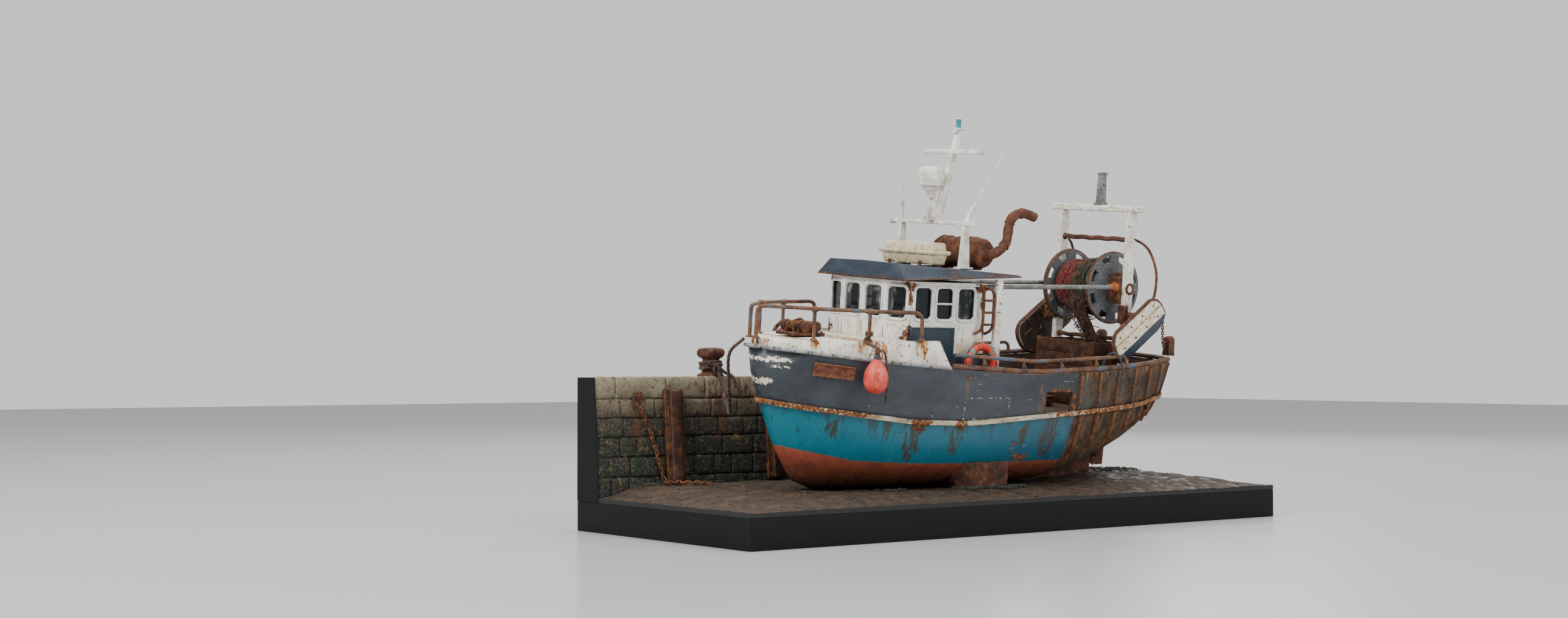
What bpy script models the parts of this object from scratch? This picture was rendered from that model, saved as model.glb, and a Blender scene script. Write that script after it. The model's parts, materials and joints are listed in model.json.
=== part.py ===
"""A weathered 1:35 model of a steel stern trawler, aground beside a stone quay on its plinth.

World frame: +X to the bow, +Y to port, +Z up, origin at the centre of the plinth's underside.
The boat has its own frame, an empty that carries its heel to port.  Lengths in this file are
millimetres, and mm() turns them into metres when a mesh is made.
"""
import math

import bmesh
import bpy
from mathutils import Matrix, Vector

# Driving dimensions of the model, in millimetres
PLINTH_LENGTH = 360.0
PLINTH_WIDTH = 149.0
PLINTH_THICK = 15.0
GROUND_EDGE = 17.5
WALL_TOP = 77.9
WALL_THICK_TOP = 15.8
WALL_THICK_FOOT = 20.5
WALL_AFT_END = -150.0

HEEL = math.radians(5.2)
BOAT_ORIGIN = (0.0, 4.0, 21.5)

GAP = 0.3
SEAT = 0.12
WIDEST_X = -5.0
DECK_Z = 41.5
BULWARK_THICK = 1.3
HOUSE_HALF = 32.0
HOUSE_FRONT_X = 59.7
HOUSE_AFT_X = 8.7
HOUSE_TOP = 107.7
HOUSE_WALL = 1.0
FOREDECK_AFT = 42.0
SIDE_DECK_END = 64.0
GANTRY_X = -101.0
GANTRY_HALF = 26.0
DRUM_Z = 107.0
DRUM_RADIUS = 19.8
DRUM_FLANGES = (-18.6, 14.6)
HUB_REACH = 2.0
RUDDER_X = -112.0
RUDDER_Z = 15.0
SHAFT_Z = 12.5
PROP_X = -107.2

# Profile of the hull on its centre line and its greatest half breadth, at each height
STEM = ((0.0, 90.0), (4.9, 103.3), (22.6, 114.1), (35.8, 119.8), (57.0, 128.7), (72.6, 133.5))
STERN = ((0.0, -40.0), (6.0, -62.0), (12.0, -82.0), (20.0, -103.0), (26.0, -116.0),
         (35.0, -132.0), (47.0, -143.0), (66.5, -151.0))
BREADTH = ((0.0, 8.0), (2.0, 17.0), (5.0, 26.0), (9.0, 33.0), (15.0, 38.5), (24.0, 43.0),
           (36.0, 46.0), (50.0, 48.0), (66.0, 49.0))
SHEER = ((-151.0, 66.5), (-122.0, 67.4), (-100.0, 66.0), (-73.0, 64.4), (-30.0, 62.7),
         (-12.0, 62.2), (43.0, 65.4), (91.0, 68.8), (120.0, 71.6), (134.0, 72.7))
KNUCKLE = ((-145.0, 48.6), (-118.0, 47.9), (-98.0, 45.2), (-49.0, 42.1), (-15.0, 40.2),
           (28.5, 37.6), (61.0, 38.4), (89.0, 41.4), (119.0, 44.6), (130.0, 46.6))
FORE_POWER, FORE_ROOT = 2.6, 1.6
AFT_POWER, AFT_ROOT = 3.6, 2.0
LEVELS = (0.0, 1.0, 2.5, 5.0, 8.5, 12.0, 16.0, 20.5, 25.5, 31.0, 36.5, 42.0, 48.0, 54.0, 60.0)
STATIONS = 16


def mm(value):
    """Turn millimetres into metres."""
    return value * 0.001


def lookup(table, value):
    """Read a table of (position, height) pairs at one position, straight between its points."""
    if value <= table[0][0]:
        return table[0][1]
    for (x0, y0), (x1, y1) in zip(table, table[1:]):
        if value <= x1:
            return y0 + (y1 - y0) * (value - x0) / (x1 - x0)
    return table[-1][1]


def clear_scene():
    """Remove every object that the file opened with."""
    for item in list(bpy.data.objects):
        bpy.data.objects.remove(item, do_unlink=True)


def paint(name, colour, roughness=0.6, metallic=0.0, alpha=1.0):
    """Make one Principled BSDF material."""
    material = bpy.data.materials.new(name)
    material.use_nodes = True
    shader = material.node_tree.nodes["Principled BSDF"]
    shader.inputs["Base Color"].default_value = (*colour, 1.0)
    shader.inputs["Roughness"].default_value = roughness
    shader.inputs["Metallic"].default_value = metallic
    shader.inputs["Alpha"].default_value = alpha
    material.diffuse_color = (*colour, alpha)
    return material


COLOURS = {
    "black_paint": (0.010, 0.010, 0.011),
    "mud": (0.085, 0.055, 0.035),
    "stone": (0.150, 0.120, 0.080),
    "timber": (0.050, 0.038, 0.026),
    "hull_paint": (0.060, 0.075, 0.090),
    "rust": (0.130, 0.045, 0.018),
    "aged_white": (0.680, 0.640, 0.540),
    "roof_paint": (0.040, 0.065, 0.095),
    "drum_grey": (0.110, 0.115, 0.120),
    "net_brown": (0.070, 0.040, 0.028),
    "orange_red": (0.600, 0.060, 0.020),
    "board_blue": (0.010, 0.030, 0.050),
    "rope": (0.070, 0.035, 0.024),
    "cable": (0.020, 0.024, 0.030),
    "glass": (0.300, 0.380, 0.420),
    "lamp_glass": (0.020, 0.250, 0.280),
    "steel_grey": (0.200, 0.200, 0.190),
    "bronze": (0.100, 0.035, 0.020),
}


def finish(item, name, colour, parent=None, roughness=0.6, metallic=0.0, alpha=1.0):
    """Name an object, give it its own material and hang it on its parent."""
    item.name = name
    item.data.name = name
    item.data.materials.clear()
    item.data.materials.append(paint(name + "_finish", COLOURS[colour], roughness, metallic, alpha))
    item.parent = parent
    return item


def from_bmesh(mesh_data):
    """Put a bmesh into a new object with its faces pointing out."""
    bmesh.ops.remove_doubles(mesh_data, verts=mesh_data.verts, dist=1e-6)
    bmesh.ops.recalc_face_normals(mesh_data, faces=mesh_data.faces)
    mesh = bpy.data.meshes.new("shape")
    mesh_data.to_mesh(mesh)
    mesh_data.free()
    item = bpy.data.objects.new("shape", mesh)
    bpy.context.scene.collection.objects.link(item)
    return item


def cap_across(work, row):
    """Close a ring that mirrors itself, with strips from its port points to its starboard ones."""
    half = len(row) // 2
    work.faces.new((row[0], row[1], row[-1]))
    for i in range(1, half - 1):
        work.faces.new((row[i], row[i + 1], row[-i - 1], row[-i]))
    work.faces.new((row[half - 1], row[half], row[half + 1]))


def from_rings(rings, closed=False, mirrored=False):
    """Skin closed rings of points; the ends are capped unless the rings close on themselves."""
    work = bmesh.new()
    rows = [[work.verts.new([mm(c) for c in point]) for point in ring] for ring in rings]
    count = len(rows[0])
    pairs = list(zip(rows, rows[1:]))
    if closed:
        pairs.append((rows[-1], rows[0]))
    for low, high in pairs:
        for i in range(count):
            j = (i + 1) % count
            work.faces.new((low[i], low[j], high[j], high[i]))
    if mirrored:
        cap_across(work, rows[0])
        cap_across(work, rows[-1])
    elif not closed:
        work.faces.new(rows[0])
        work.faces.new(rows[-1])
    return from_bmesh(work)


def box(centre, size, turn=None):
    """Make a box from its centre and size, turned about its centre by a matrix."""
    work = bmesh.new()
    bmesh.ops.create_cube(work, size=1.0)
    bmesh.ops.scale(work, vec=[mm(s) for s in size], verts=work.verts)
    if turn is not None:
        bmesh.ops.transform(work, matrix=turn.to_4x4(), verts=work.verts)
    bmesh.ops.translate(work, vec=[mm(c) for c in centre], verts=work.verts)
    return from_bmesh(work)


def prism(outline, low, high, axis="Z"):
    """Extrude a plane outline between two positions on an axis."""
    if axis == "Z":
        return from_rings([[(a, b, low) for a, b in outline], [(a, b, high) for a, b in outline]])
    if axis == "Y":
        return from_rings([[(a, low, b) for a, b in outline], [(a, high, b) for a, b in outline]])
    return from_rings([[(low, a, b) for a, b in outline], [(high, a, b) for a, b in outline]])


def smooth(item, angle=40.0):
    """Shade a round piece smooth, sharp over an angle."""
    item.data.shade_smooth()
    item.data.set_sharp_from_angle(angle=math.radians(angle))
    return item


def tube(points, radius, sides=8, end_radius=None):
    """Sweep a round section along a path, turning as little as it can."""
    path = [Vector(p) for p in points]
    last = len(path) - 1
    tangents = []
    for i in range(last + 1):
        before = path[max(i - 1, 0)]
        after = path[min(i + 1, last)]
        tangents.append((after - before).normalized())
    side = tangents[0].orthogonal().normalized()
    rings = []
    for i, (point, along) in enumerate(zip(path, tangents)):
        side = (side - along * side.dot(along)).normalized()
        across = along.cross(side)
        here = radius if end_radius is None else radius + (end_radius - radius) * i / last
        ring = []
        for k in range(sides):
            turn = 2.0 * math.pi * k / sides
            ring.append(point + (side * math.cos(turn) + across * math.sin(turn)) * here)
        rings.append(ring)
    return smooth(from_rings(rings))


def lathe(profile, centre, axis="Z", sides=16):
    """Turn a profile of (radius, position) pairs about an axis through a centre."""
    rings = []
    for radius, place in profile:
        ring = []
        for k in range(sides):
            turn = 2.0 * math.pi * k / sides
            a, b = radius * math.cos(turn), radius * math.sin(turn)
            offset = {"Z": (a, b, place), "Y": (b, place, a), "X": (place, a, b)}[axis]
            ring.append([c + o for c, o in zip(centre, offset)])
        rings.append(ring)
    return smooth(from_rings(rings))


def torus(centre, major, minor, normal, major_sides=20, minor_sides=8):
    """Make a ring of round section about a normal direction."""
    turn = Vector((0, 0, 1)).rotation_difference(Vector(normal)).to_matrix()
    rings = []
    for i in range(major_sides):
        a = 2.0 * math.pi * i / major_sides
        ring = []
        for k in range(minor_sides):
            b = 2.0 * math.pi * k / minor_sides
            reach = major + minor * math.cos(b)
            local = Vector((reach * math.cos(a), reach * math.sin(a), minor * math.sin(b)))
            ring.append(Vector(centre) + turn @ local)
        rings.append(ring)
    return smooth(from_rings(rings, closed=True), 60.0)


def weld(mesh):
    """Merge the points that a Boolean leaves on top of each other."""
    work = bmesh.new()
    work.from_mesh(mesh)
    bmesh.ops.remove_doubles(work, verts=work.verts, dist=2e-6)
    bmesh.ops.dissolve_degenerate(work, edges=work.edges, dist=1e-6)
    work.to_mesh(mesh)
    work.free()


def combine(base, others, operation="UNION"):
    """Apply Boolean modifiers with each other object and remove those objects."""
    for other in others:
        modifier = base.modifiers.new(operation.lower(), "BOOLEAN")
        modifier.operation = operation
        modifier.solver = "EXACT"
        modifier.object = other
    bpy.context.view_layer.update()
    graph = bpy.context.evaluated_depsgraph_get()
    mesh = bpy.data.meshes.new_from_object(base.evaluated_get(graph))
    base.modifiers.clear()
    base.data = mesh
    weld(mesh)
    for other in others:
        bpy.data.objects.remove(other, do_unlink=True)
    return base


def fuse(parts):
    """Join overlapping solids into one."""
    return combine(parts[0], parts[1:])


def cut(base, cutters):
    """Take solids away from one."""
    return combine(base, cutters, "DIFFERENCE")


def spline(points, steps):
    """Read points from a smooth curve through the given ones."""
    path = [Vector(p) for p in points]
    path = [path[0] * 2 - path[1]] + path + [path[-1] * 2 - path[-2]]
    out = []
    for i in range(1, len(path) - 2):
        p0, p1, p2, p3 = path[i - 1:i + 3]
        for k in range(steps):
            t = k / steps
            out.append(0.5 * (2 * p1 + (p2 - p0) * t + (2 * p0 - 5 * p1 + 4 * p2 - p3) * t * t
                              + (3 * p1 - p0 - 3 * p2 + p3) * t ** 3))
    out.append(path[-2])
    return out


def resample(points, pitch):
    """Space points evenly along a path."""
    path = [Vector(p) for p in points]
    lengths = [0.0]
    for a, b in zip(path, path[1:]):
        lengths.append(lengths[-1] + (b - a).length)
    count = max(2, round(lengths[-1] / pitch))
    out = []
    index = 0
    for k in range(count + 1):
        goal = lengths[-1] * k / count
        while index < len(lengths) - 2 and lengths[index + 1] < goal:
            index += 1
        span = lengths[index + 1] - lengths[index]
        out.append(path[index].lerp(path[index + 1], (goal - lengths[index]) / span))
    return out


def cord(name, route, radius, colour, parent=None):
    """Lay a round cord with filled ends along a smooth curve through its route."""
    points = resample(spline(route, 12), radius * 4.5)
    data = bpy.data.curves.new(name, "CURVE")
    data.dimensions = "3D"
    data.bevel_depth = mm(radius)
    data.bevel_resolution = 2
    data.use_fill_caps = True
    line = data.splines.new("POLY")
    line.points.add(len(points) - 1)
    for slot, point in zip(line.points, points):
        slot.co = (mm(point.x), mm(point.y), mm(point.z), 1.0)
    item = bpy.data.objects.new(name, data)
    bpy.context.scene.collection.objects.link(item)
    item.data.materials.append(paint(name + "_finish", COLOURS[colour], 0.8))
    item.parent = parent
    return item


def boat_to_world(point):
    """Turn a point in the boat's frame into the world's, in millimetres."""
    return Matrix.Rotation(-HEEL, 3, "X") @ Vector(point) + Vector(BOAT_ORIGIN)


def half_breadth(x, z):
    """Half breadth of the hull at a place and a height."""
    stem = lookup(STEM, z)
    stern = lookup(STERN, z)
    widest = lookup(BREADTH, z)
    if x >= WIDEST_X:
        reach = min(1.0, (x - WIDEST_X) / (stem - WIDEST_X))
        return widest * (1.0 - reach ** FORE_POWER) ** (1.0 / FORE_ROOT)
    reach = min(1.0, (WIDEST_X - x) / (WIDEST_X - stern))
    return widest * (1.0 - reach ** AFT_POWER) ** (1.0 / AFT_ROOT)


def station_xs(z, inset=0.0):
    """Positions of the stations from the stem aft at one height."""
    stem = lookup(STEM, z) - inset
    stern = lookup(STERN, z) + inset
    places = []
    for i in range(STATIONS):
        angle = 0.5 * math.pi * i / (STATIONS - 1)
        places.append(WIDEST_X + (stem - WIDEST_X) * math.cos(angle))
    for i in range(1, STATIONS):
        angle = 0.5 * math.pi * i / (STATIONS - 1)
        places.append(WIDEST_X - (WIDEST_X - stern) * math.sin(angle))
    return places


def level_ring(z, follow_sheer=False, inset=0.0, lift=0.0):
    """One closed ring of the hull's outline, both sides, from the stem round to the stem."""
    xs = station_xs(z, inset=inset)
    port = []
    for x in xs:
        y = max(0.0, half_breadth(x, z) - inset)
        height = lookup(SHEER, x) + lift if follow_sheer else z + lift
        port.append((x, y, height))
    port[0] = (port[0][0], 0.0, port[0][2])
    port[-1] = (port[-1][0], 0.0, port[-1][2])
    starboard = [(x, -y, height) for x, y, height in port[-2:0:-1]]
    return port + starboard


def house_outline(grow=0.0, foot=0.0):
    """Plan of the wheelhouse: four flat facets across the front, straight sides and back."""
    half = HOUSE_HALF + grow
    return [
        (HOUSE_AFT_X - grow, -half), (HOUSE_FRONT_X + grow * 0.6, -half),
        (63.5 + grow, -16.6 - grow * 0.4), (63.9 + grow, 0.0), (63.5 + grow, 16.6 + grow * 0.4),
        (HOUSE_FRONT_X + grow * 0.6, half), (HOUSE_AFT_X - grow, half),
    ]


def surface_normal(x, z):
    """Point on the port side of the hull and the direction square to its skin."""
    step = 0.5
    y = half_breadth(x, z)
    along = (half_breadth(x + step, z) - half_breadth(x - step, z)) / (2.0 * step)
    up = (half_breadth(x, z + step) - half_breadth(x, z - step)) / (2.0 * step)
    return Vector((x, y, z)), Vector((-along, 1.0, -up)).normalized()


UPPER_RIBS = (-47.7, -62.2, -76.8, -91.4, -106.0, -119.5, -131.5, -141.0)
LOWER_RIBS = ((-50.5, 20.0), (-63.8, 23.0), (-78.2, 27.0), (-91.8, 30.5), (-104.0, 33.0), (-113.0, 35.0),
              (-121.5, 37.0))
RIB_PROUD, RIB_SUNK, RIB_WIDTH = 0.9, 0.8, 1.3


def build_rib(x, low, high, side):
    """One frame bar on the hull's skin, from a low to a high place."""
    rings = []
    steps = max(2, round((high - low) / 5.0))
    for i in range(steps + 1):
        point, out = surface_normal(x, low + (high - low) * i / steps)
        across = out.cross(Vector((0.0, 0.0, 1.0))).normalized() * RIB_WIDTH / 2
        ring = [point - out * RIB_SUNK - across, point - out * RIB_SUNK + across,
                point + out * RIB_PROUD + across, point + out * RIB_PROUD - across]
        rings.append([(p.x, side * p.y, p.z) for p in ring])
    return from_rings(rings)


def build_ribs():
    """The bars of the rusted after plating, above and below the knuckle."""
    ribs = []
    for side in (1, -1):
        for x in UPPER_RIBS:
            ribs.append(build_rib(x, lookup(KNUCKLE, x) + 1.6, lookup(SHEER, x) - 0.6, side))
        for x, low in LOWER_RIBS:
            ribs.append(build_rib(x, low, lookup(KNUCKLE, x) - 1.6, side))
    return ribs


def build_hull(boat):
    """The decked hull, with its bulwark, deck well, freeing ports and the ribs of its after plating."""
    rings = [level_ring(z) for z in LEVELS]
    rings.append(level_ring(66.0, follow_sheer=True))
    hull = from_rings(rings, mirrored=True)
    well_rings = [level_ring(z, inset=BULWARK_THICK) for z in (DECK_Z, 47.0, 56.0, 66.0)]
    well_rings.append([(x, y, 90.0) for x, y, _ in well_rings[-1]])
    well = cut(from_rings(well_rings), [box((FOREDECK_AFT + 60.0, 0.0, 66.0), (120.0, 120.0, 80.0))])
    casing = prism(house_outline(GAP), DECK_Z - 0.01, 90.0)
    ports = [box((-32.5, side * 48.0, 47.6), (19.0, 12.0, 11.0)) for side in (1, -1)]
    cut(hull, [well, casing] + ports)
    fuse([hull] + build_ribs())
    smooth(hull, 30.0)
    return finish(hull, "hull", "hull_paint", boat)


def hull_band(z_of_x, count):
    """Places of a band that follows the hull's side, port side from the bow aft."""
    rings = []
    for i in range(count + 1):
        angle = math.pi * i / count
        z = z_of_x(0.0)
        x = 0.0
        for _ in range(6):
            stem = lookup(STEM, z)
            stern = lookup(STERN, z)
            reach = math.cos(angle)
            x = WIDEST_X + (stem - WIDEST_X) * reach if reach > 0 else WIDEST_X + (WIDEST_X - stern) * reach
            z = z_of_x(x)
        rings.append((x, z))
    return rings


def surface_frame(x, z):
    """Point on the port side of the hull and the level direction that points out of it."""
    step = 0.5
    stem = lookup(STEM, z)
    stern = lookup(STERN, z)
    if x > stem - 0.05:
        return Vector((stem, 0.0, z)), Vector((1.0, 0.0, 0.0))
    if x < stern + 0.05:
        return Vector((stern, 0.0, z)), Vector((-1.0, 0.0, 0.0))
    y0 = half_breadth(max(x - step, stern), z)
    y1 = half_breadth(min(x + step, stem), z)
    span = min(x + step, stem) - max(x - step, stern)
    slope = (y1 - y0) / span
    out = Vector((-slope, 1.0, 0.0)).normalized()
    return Vector((x, half_breadth(x, z), z)), out


def build_band(name, z_of_x, thick, height, colour, boat, clear=0.55, count=44):
    """A closed band round the whole hull, both sides, proud of the plating."""
    port = []
    for x, z in hull_band(z_of_x, count):
        point, out = surface_frame(x, z)
        upper, _ = surface_frame(x, z + height / 2)
        lower, _ = surface_frame(x, z - height / 2)
        port.append([lower + out * clear, upper + out * clear, upper + out * thick, lower + out * thick])
    starboard = [[Vector((p.x, -p.y, p.z)) for p in ring] for ring in port[-2:0:-1]]
    for ring in (port[0], port[-1]):
        for point in ring:
            point.y = 0.0
    band = from_rings(port + starboard, closed=True)
    return finish(smooth(band, 30.0), name, colour, boat)


def build_strake(boat):
    """The rubbing strake at the hull's knuckle."""
    return build_band("rubbing_strake", lambda x: lookup(KNUCKLE, x), 1.9, 2.4, "aged_white", boat)


def build_gunwale(boat):
    """The rounded cap along the top of the bulwark, aft of the raised bow."""
    points = []
    xs = [x for x in station_xs(66.0) if x < FOREDECK_AFT - 2.0]
    xs.insert(0, FOREDECK_AFT - 1.0)
    for x in xs:
        y = half_breadth(x, 66.0) - 0.5
        points.append((x, max(0.0, y), lookup(SHEER, x) + 1.4))
    port = points[:-1]
    stern = (lookup(STERN, 66.0) + 0.5, 0.0, lookup(SHEER, -151.0) + 1.4)
    route = port + [stern] + [(x, -y, z) for x, y, z in reversed(port)]
    rail = tube(resample(route, 7.0), 1.3, sides=8)
    return finish(rail, "gunwale_rail", "rust", boat)


def build_foredeck(boat):
    """The raised white bow block: its sides are the bow bulwark and its top is the foredeck."""
    lower, upper = [], []
    xs = [x for x in station_xs(66.0) if x > FOREDECK_AFT + 9.0]
    xs.append(FOREDECK_AFT + 8.0)
    for x in xs:
        y = max(0.0, half_breadth(x, 66.0) - 0.9)
        top = 76.3 + (79.0 - 76.3) * (132.0 - x) / 82.0
        lower.append((x - 0.6, y, lookup(SHEER, x) + 0.35))
        upper.append((x - 0.9, max(0.0, y - 0.4), top))
    aft_low = (FOREDECK_AFT, half_breadth(FOREDECK_AFT, 66.0) - 0.9, lookup(SHEER, FOREDECK_AFT) + 0.35)
    lower[-1] = aft_low
    upper[-1] = (FOREDECK_AFT + 7.5, upper[-1][1], 79.0)

    def both(points, inset=0.0):
        port = [(x, max(0.0, y - inset), z) for x, y, z in points]
        return port + [(x, -y, z) for x, y, z in reversed(port[1:])]

    block = from_rings([both(lower), both(upper)])
    inside = from_rings([both([(x, y, 50.0) for x, y, _ in upper], 1.5),
                         both([(x, y, 100.0) for x, y, _ in upper], 1.5)])
    cut(inside, [box((SIDE_DECK_END + 50.0, 0.0, 75.0), (100.0, 120.0, 60.0))])
    side_decks = box((FOREDECK_AFT, 0.0, 75.0), (16.2, 88.0, 50.0))
    cut(block, [inside, side_decks, prism(house_outline(GAP), 50.0, 100.0)])
    return finish(block, "raised_bow", "aged_white", boat)


def build_keel(boat):
    """The deadwood under the after body, with the stern tube's boss."""
    deadwood = prism([(-24.0, -1.2), (-104.5, -1.2), (-104.5, 21.0), (-60.0, 21.0), (-24.0, 8.0)],
                     -2.0, 2.0, "Y")
    boss = lathe(((1.0, -100.0), (2.6, -99.0), (2.6, -104.5), (1.2, -104.8)), (0.0, 0.0, SHAFT_Z), "X", 12)
    fuse([deadwood, boss])
    hull_shape = from_rings([level_ring(z, inset=-SEAT, lift=-SEAT) for z in LEVELS[:10]])
    cut(deadwood, [hull_shape])
    return finish(deadwood, "keel", "rust", boat)


LEG_TOP, LEG_FOOT = 16.8, -1.6
LEG_ROOT_Y, LEG_OUT_Y = 24.0, 40.3


def leg_shape(side, grow=0.0):
    """A docking leg's outer shape, wider at the top and cut back at its forward corner."""
    top = [(-6.5, LEG_ROOT_Y), (-6.5, LEG_OUT_Y), (21.8, LEG_OUT_Y), (31.0, 31.0), (31.0, LEG_ROOT_Y)]
    foot = [(-7.5, LEG_ROOT_Y), (-7.5, LEG_OUT_Y - 0.8), (17.0, LEG_OUT_Y - 0.8), (20.0, LEG_OUT_Y - 3.83),
            (20.0, LEG_ROOT_Y)]
    rings = []
    for z, outline in ((LEG_FOOT - grow, foot), (LEG_TOP + grow, top)):
        middle_x = sum(x for x, _ in outline) / len(outline)
        middle_y = sum(y for _, y in outline) / len(outline)
        rings.append([(x + math.copysign(grow, x - middle_x), side * (y + math.copysign(grow, y - middle_y)), z)
                      for x, y in outline])
    return from_rings(rings)


def build_bilge_keel(side, name, boat):
    """A rusted docking leg under the bilge; the boat leans on the port one."""
    leg = leg_shape(side)
    cut(leg, [from_rings([level_ring(z, inset=-SEAT, lift=-SEAT) for z in LEVELS[:10]])])
    return finish(leg, name, "rust", boat)


WALL_SIDE_Y, WALL_SIDE_RUN = -8.0, 40.0


def ground_height(x, y):
    """Height of the mud bed above the floor."""
    edge = min(PLINTH_LENGTH / 2 - abs(x), PLINTH_WIDTH / 2 - y)
    if x < WALL_AFT_END:
        edge = min(edge, PLINTH_WIDTH / 2 + y)
    shelf = min(1.0, max(0.0, edge / 30.0))
    shelf = shelf * shelf * (3.0 - 2.0 * shelf)
    inland = min(1.0, max(0.0, (WALL_SIDE_Y - y) / WALL_SIDE_RUN))
    rise = (3.6 + 1.9 * inland) * shelf
    bank = 4.2 * math.exp(-(((x + 118.0) / 42.0) ** 2) - ((y - 2.0) / 38.0) ** 2)
    ripple = 0.3 * math.sin(x * 0.21 + y * 0.13) * math.sin(y * 0.17 - x * 0.06)
    return GROUND_EDGE + rise + bank + ripple * shelf


def build_plinth():
    """The black slab under everything."""
    slab = box((0.0, 0.0, PLINTH_THICK / 2), (PLINTH_LENGTH, PLINTH_WIDTH, PLINTH_THICK))
    return finish(slab, "plinth", "black_paint", None, 0.8)


def build_ground():
    """The mud bed, cleared round the hull's bottom, the keel and the legs that sink into it."""
    columns, rows = 36, 16
    y_low = -PLINTH_WIDTH / 2
    work = bmesh.new()
    grid = []
    for i in range(columns + 1):
        x = -PLINTH_LENGTH / 2 + PLINTH_LENGTH * i / columns
        line = []
        for j in range(rows + 1):
            y = y_low + (PLINTH_WIDTH / 2 - y_low) * j / rows
            line.append((x, y, ground_height(x, y)))
        grid.append(line)
    top = [[work.verts.new([mm(c) for c in p]) for p in line] for line in grid]
    base = [[work.verts.new((mm(p[0]), mm(p[1]), mm(PLINTH_THICK + 0.05))) for p in line] for line in grid]
    for i in range(columns):
        for j in range(rows):
            work.faces.new((top[i][j], top[i + 1][j], top[i + 1][j + 1], top[i][j + 1]))
    rim = [(i, 0) for i in range(columns)] + [(columns, j) for j in range(rows)]
    rim += [(i, rows) for i in range(columns, 0, -1)] + [(0, j) for j in range(rows, 0, -1)]
    for (i, j), (k, m) in zip(rim, rim[1:] + rim[:1]):
        work.faces.new((base[i][j], base[k][m], top[k][m], top[i][j]))
    work.faces.new([base[i][j] for i, j in rim])
    used = {base[i][j] for i, j in rim}
    bmesh.ops.delete(work, geom=[v for line in base for v in line if v not in used], context="VERTS")
    ground = from_bmesh(work)
    turn = Matrix.Rotation(-HEEL, 3, "X")
    keel_hole = box(boat_to_world((-64.5, 0.0, 3.0)), (82.0, 4.6, 9.0), turn)
    rings = [level_ring(z, inset=-GAP) for z in LEVELS[:8]]
    rings[0] = [(x, y, z - GAP) for x, y, z in rings[0]]
    bottom = from_rings(rings)
    to_world = Matrix.Translation([mm(c) for c in BOAT_ORIGIN]) @ Matrix.Rotation(-HEEL, 4, "X")
    bottom.data.transform(to_world)
    leg_room = leg_shape(1, 2 * GAP)
    leg_room.data.transform(to_world)
    low, high = PLINTH_THICK - 1.0, PLINTH_THICK + 20.0
    wall_room = prism([(y_low - 2.0, low), (wall_face(low) + GAP, low), (wall_face(high) + GAP, high),
                       (y_low - 2.0, high)], WALL_AFT_END - GAP, PLINTH_LENGTH / 2 + 1.0, "X")
    cut(ground, [wall_room, bottom, keel_hole, leg_room])
    smooth(ground, 50.0)
    return finish(ground, "ground", "mud", None, 0.95)


def build_wall():
    """The stone quay wall with its battered face."""
    back = -PLINTH_WIDTH / 2
    low = PLINTH_THICK + 0.05
    section = [(back, low), (back + WALL_THICK_FOOT, low), (back + WALL_THICK_TOP, WALL_TOP), (back, WALL_TOP)]
    wall = prism(section, WALL_AFT_END, PLINTH_LENGTH / 2, "X")
    return finish(wall, "quay_wall", "stone", None, 0.95)


def wall_face(z):
    """Position of the wall's face at a height."""
    share = (z - PLINTH_THICK) / (WALL_TOP - PLINTH_THICK)
    return -PLINTH_WIDTH / 2 + WALL_THICK_FOOT + (WALL_THICK_TOP - WALL_THICK_FOOT) * share


FENDER_XS = (133.5, 69.0, 4.5, -60.0, -124.5)


def build_fenders():
    """Timber fender posts against the wall's face."""
    for number, x in enumerate(FENDER_XS, start=1):
        low, high = 20.6, 72.0
        near, far = 0.25, 5.2
        section_low = [(x - 6.0, wall_face(low) + near), (x + 6.0, wall_face(low) + near),
                       (x + 5.4, wall_face(low) + far), (x - 5.4, wall_face(low) + far)]
        section_high = [(x - 6.0, wall_face(high) + near), (x + 6.0, wall_face(high) + near),
                        (x + 5.4, wall_face(high) + far), (x - 5.4, wall_face(high) + far)]
        post = from_rings([[(a, b, low + 3.4) for a, b in section_low], [(a, b, high) for a, b in section_high]])
        finish(post, f"fender_post_{number}", "timber", None, 0.9)


BOLLARD_X, BOLLARD_Y = 103.0, -66.3


def build_bollard():
    """The mooring bollard on the wall, with a round cap."""
    profile = ((6.4, WALL_TOP + 0.1), (6.4, WALL_TOP + 1.2), (4.6, WALL_TOP + 2.0), (4.2, 86.5), (4.6, 88.0),
               (7.2, 89.5), (7.4, 91.0), (6.0, 92.6), (2.5, 93.4))
    post = lathe(profile, (BOLLARD_X, BOLLARD_Y, 0.0), "Z", 16)
    return finish(post, "bollard", "rust", None)


ROPE_RADIUS = 0.9
ROPE_START = (134.0, -5.0, 75.6)
ROPE_ROUTE = (
    (131.5, -9.5, 90.0), (127.6, -15.5, 76.0), (121.0, -24.0, 64.2), (114.0, -33.5, 59.4),
    (108.5, -43.0, 61.5), (105.0, -52.0, 70.0), (103.3, -58.4, 80.5), (103.0, -58.3, 82.2),
)


def build_mooring():
    """The slack bow line and its turns on the bollard."""
    turns = fuse([torus((BOLLARD_X, BOLLARD_Y, 82.2), 5.6, 1.0, (0, 0, 1), 18, 6),
                  torus((BOLLARD_X, BOLLARD_Y, 83.9), 5.6, 1.0, (0.05, 0, 1), 18, 6)])
    finish(turns, "mooring_turns", "rope", None, 0.9)
    cord("mooring_rope", [boat_to_world(ROPE_START)] + [Vector(p) for p in ROPE_ROUTE], ROPE_RADIUS, "rope")


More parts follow.
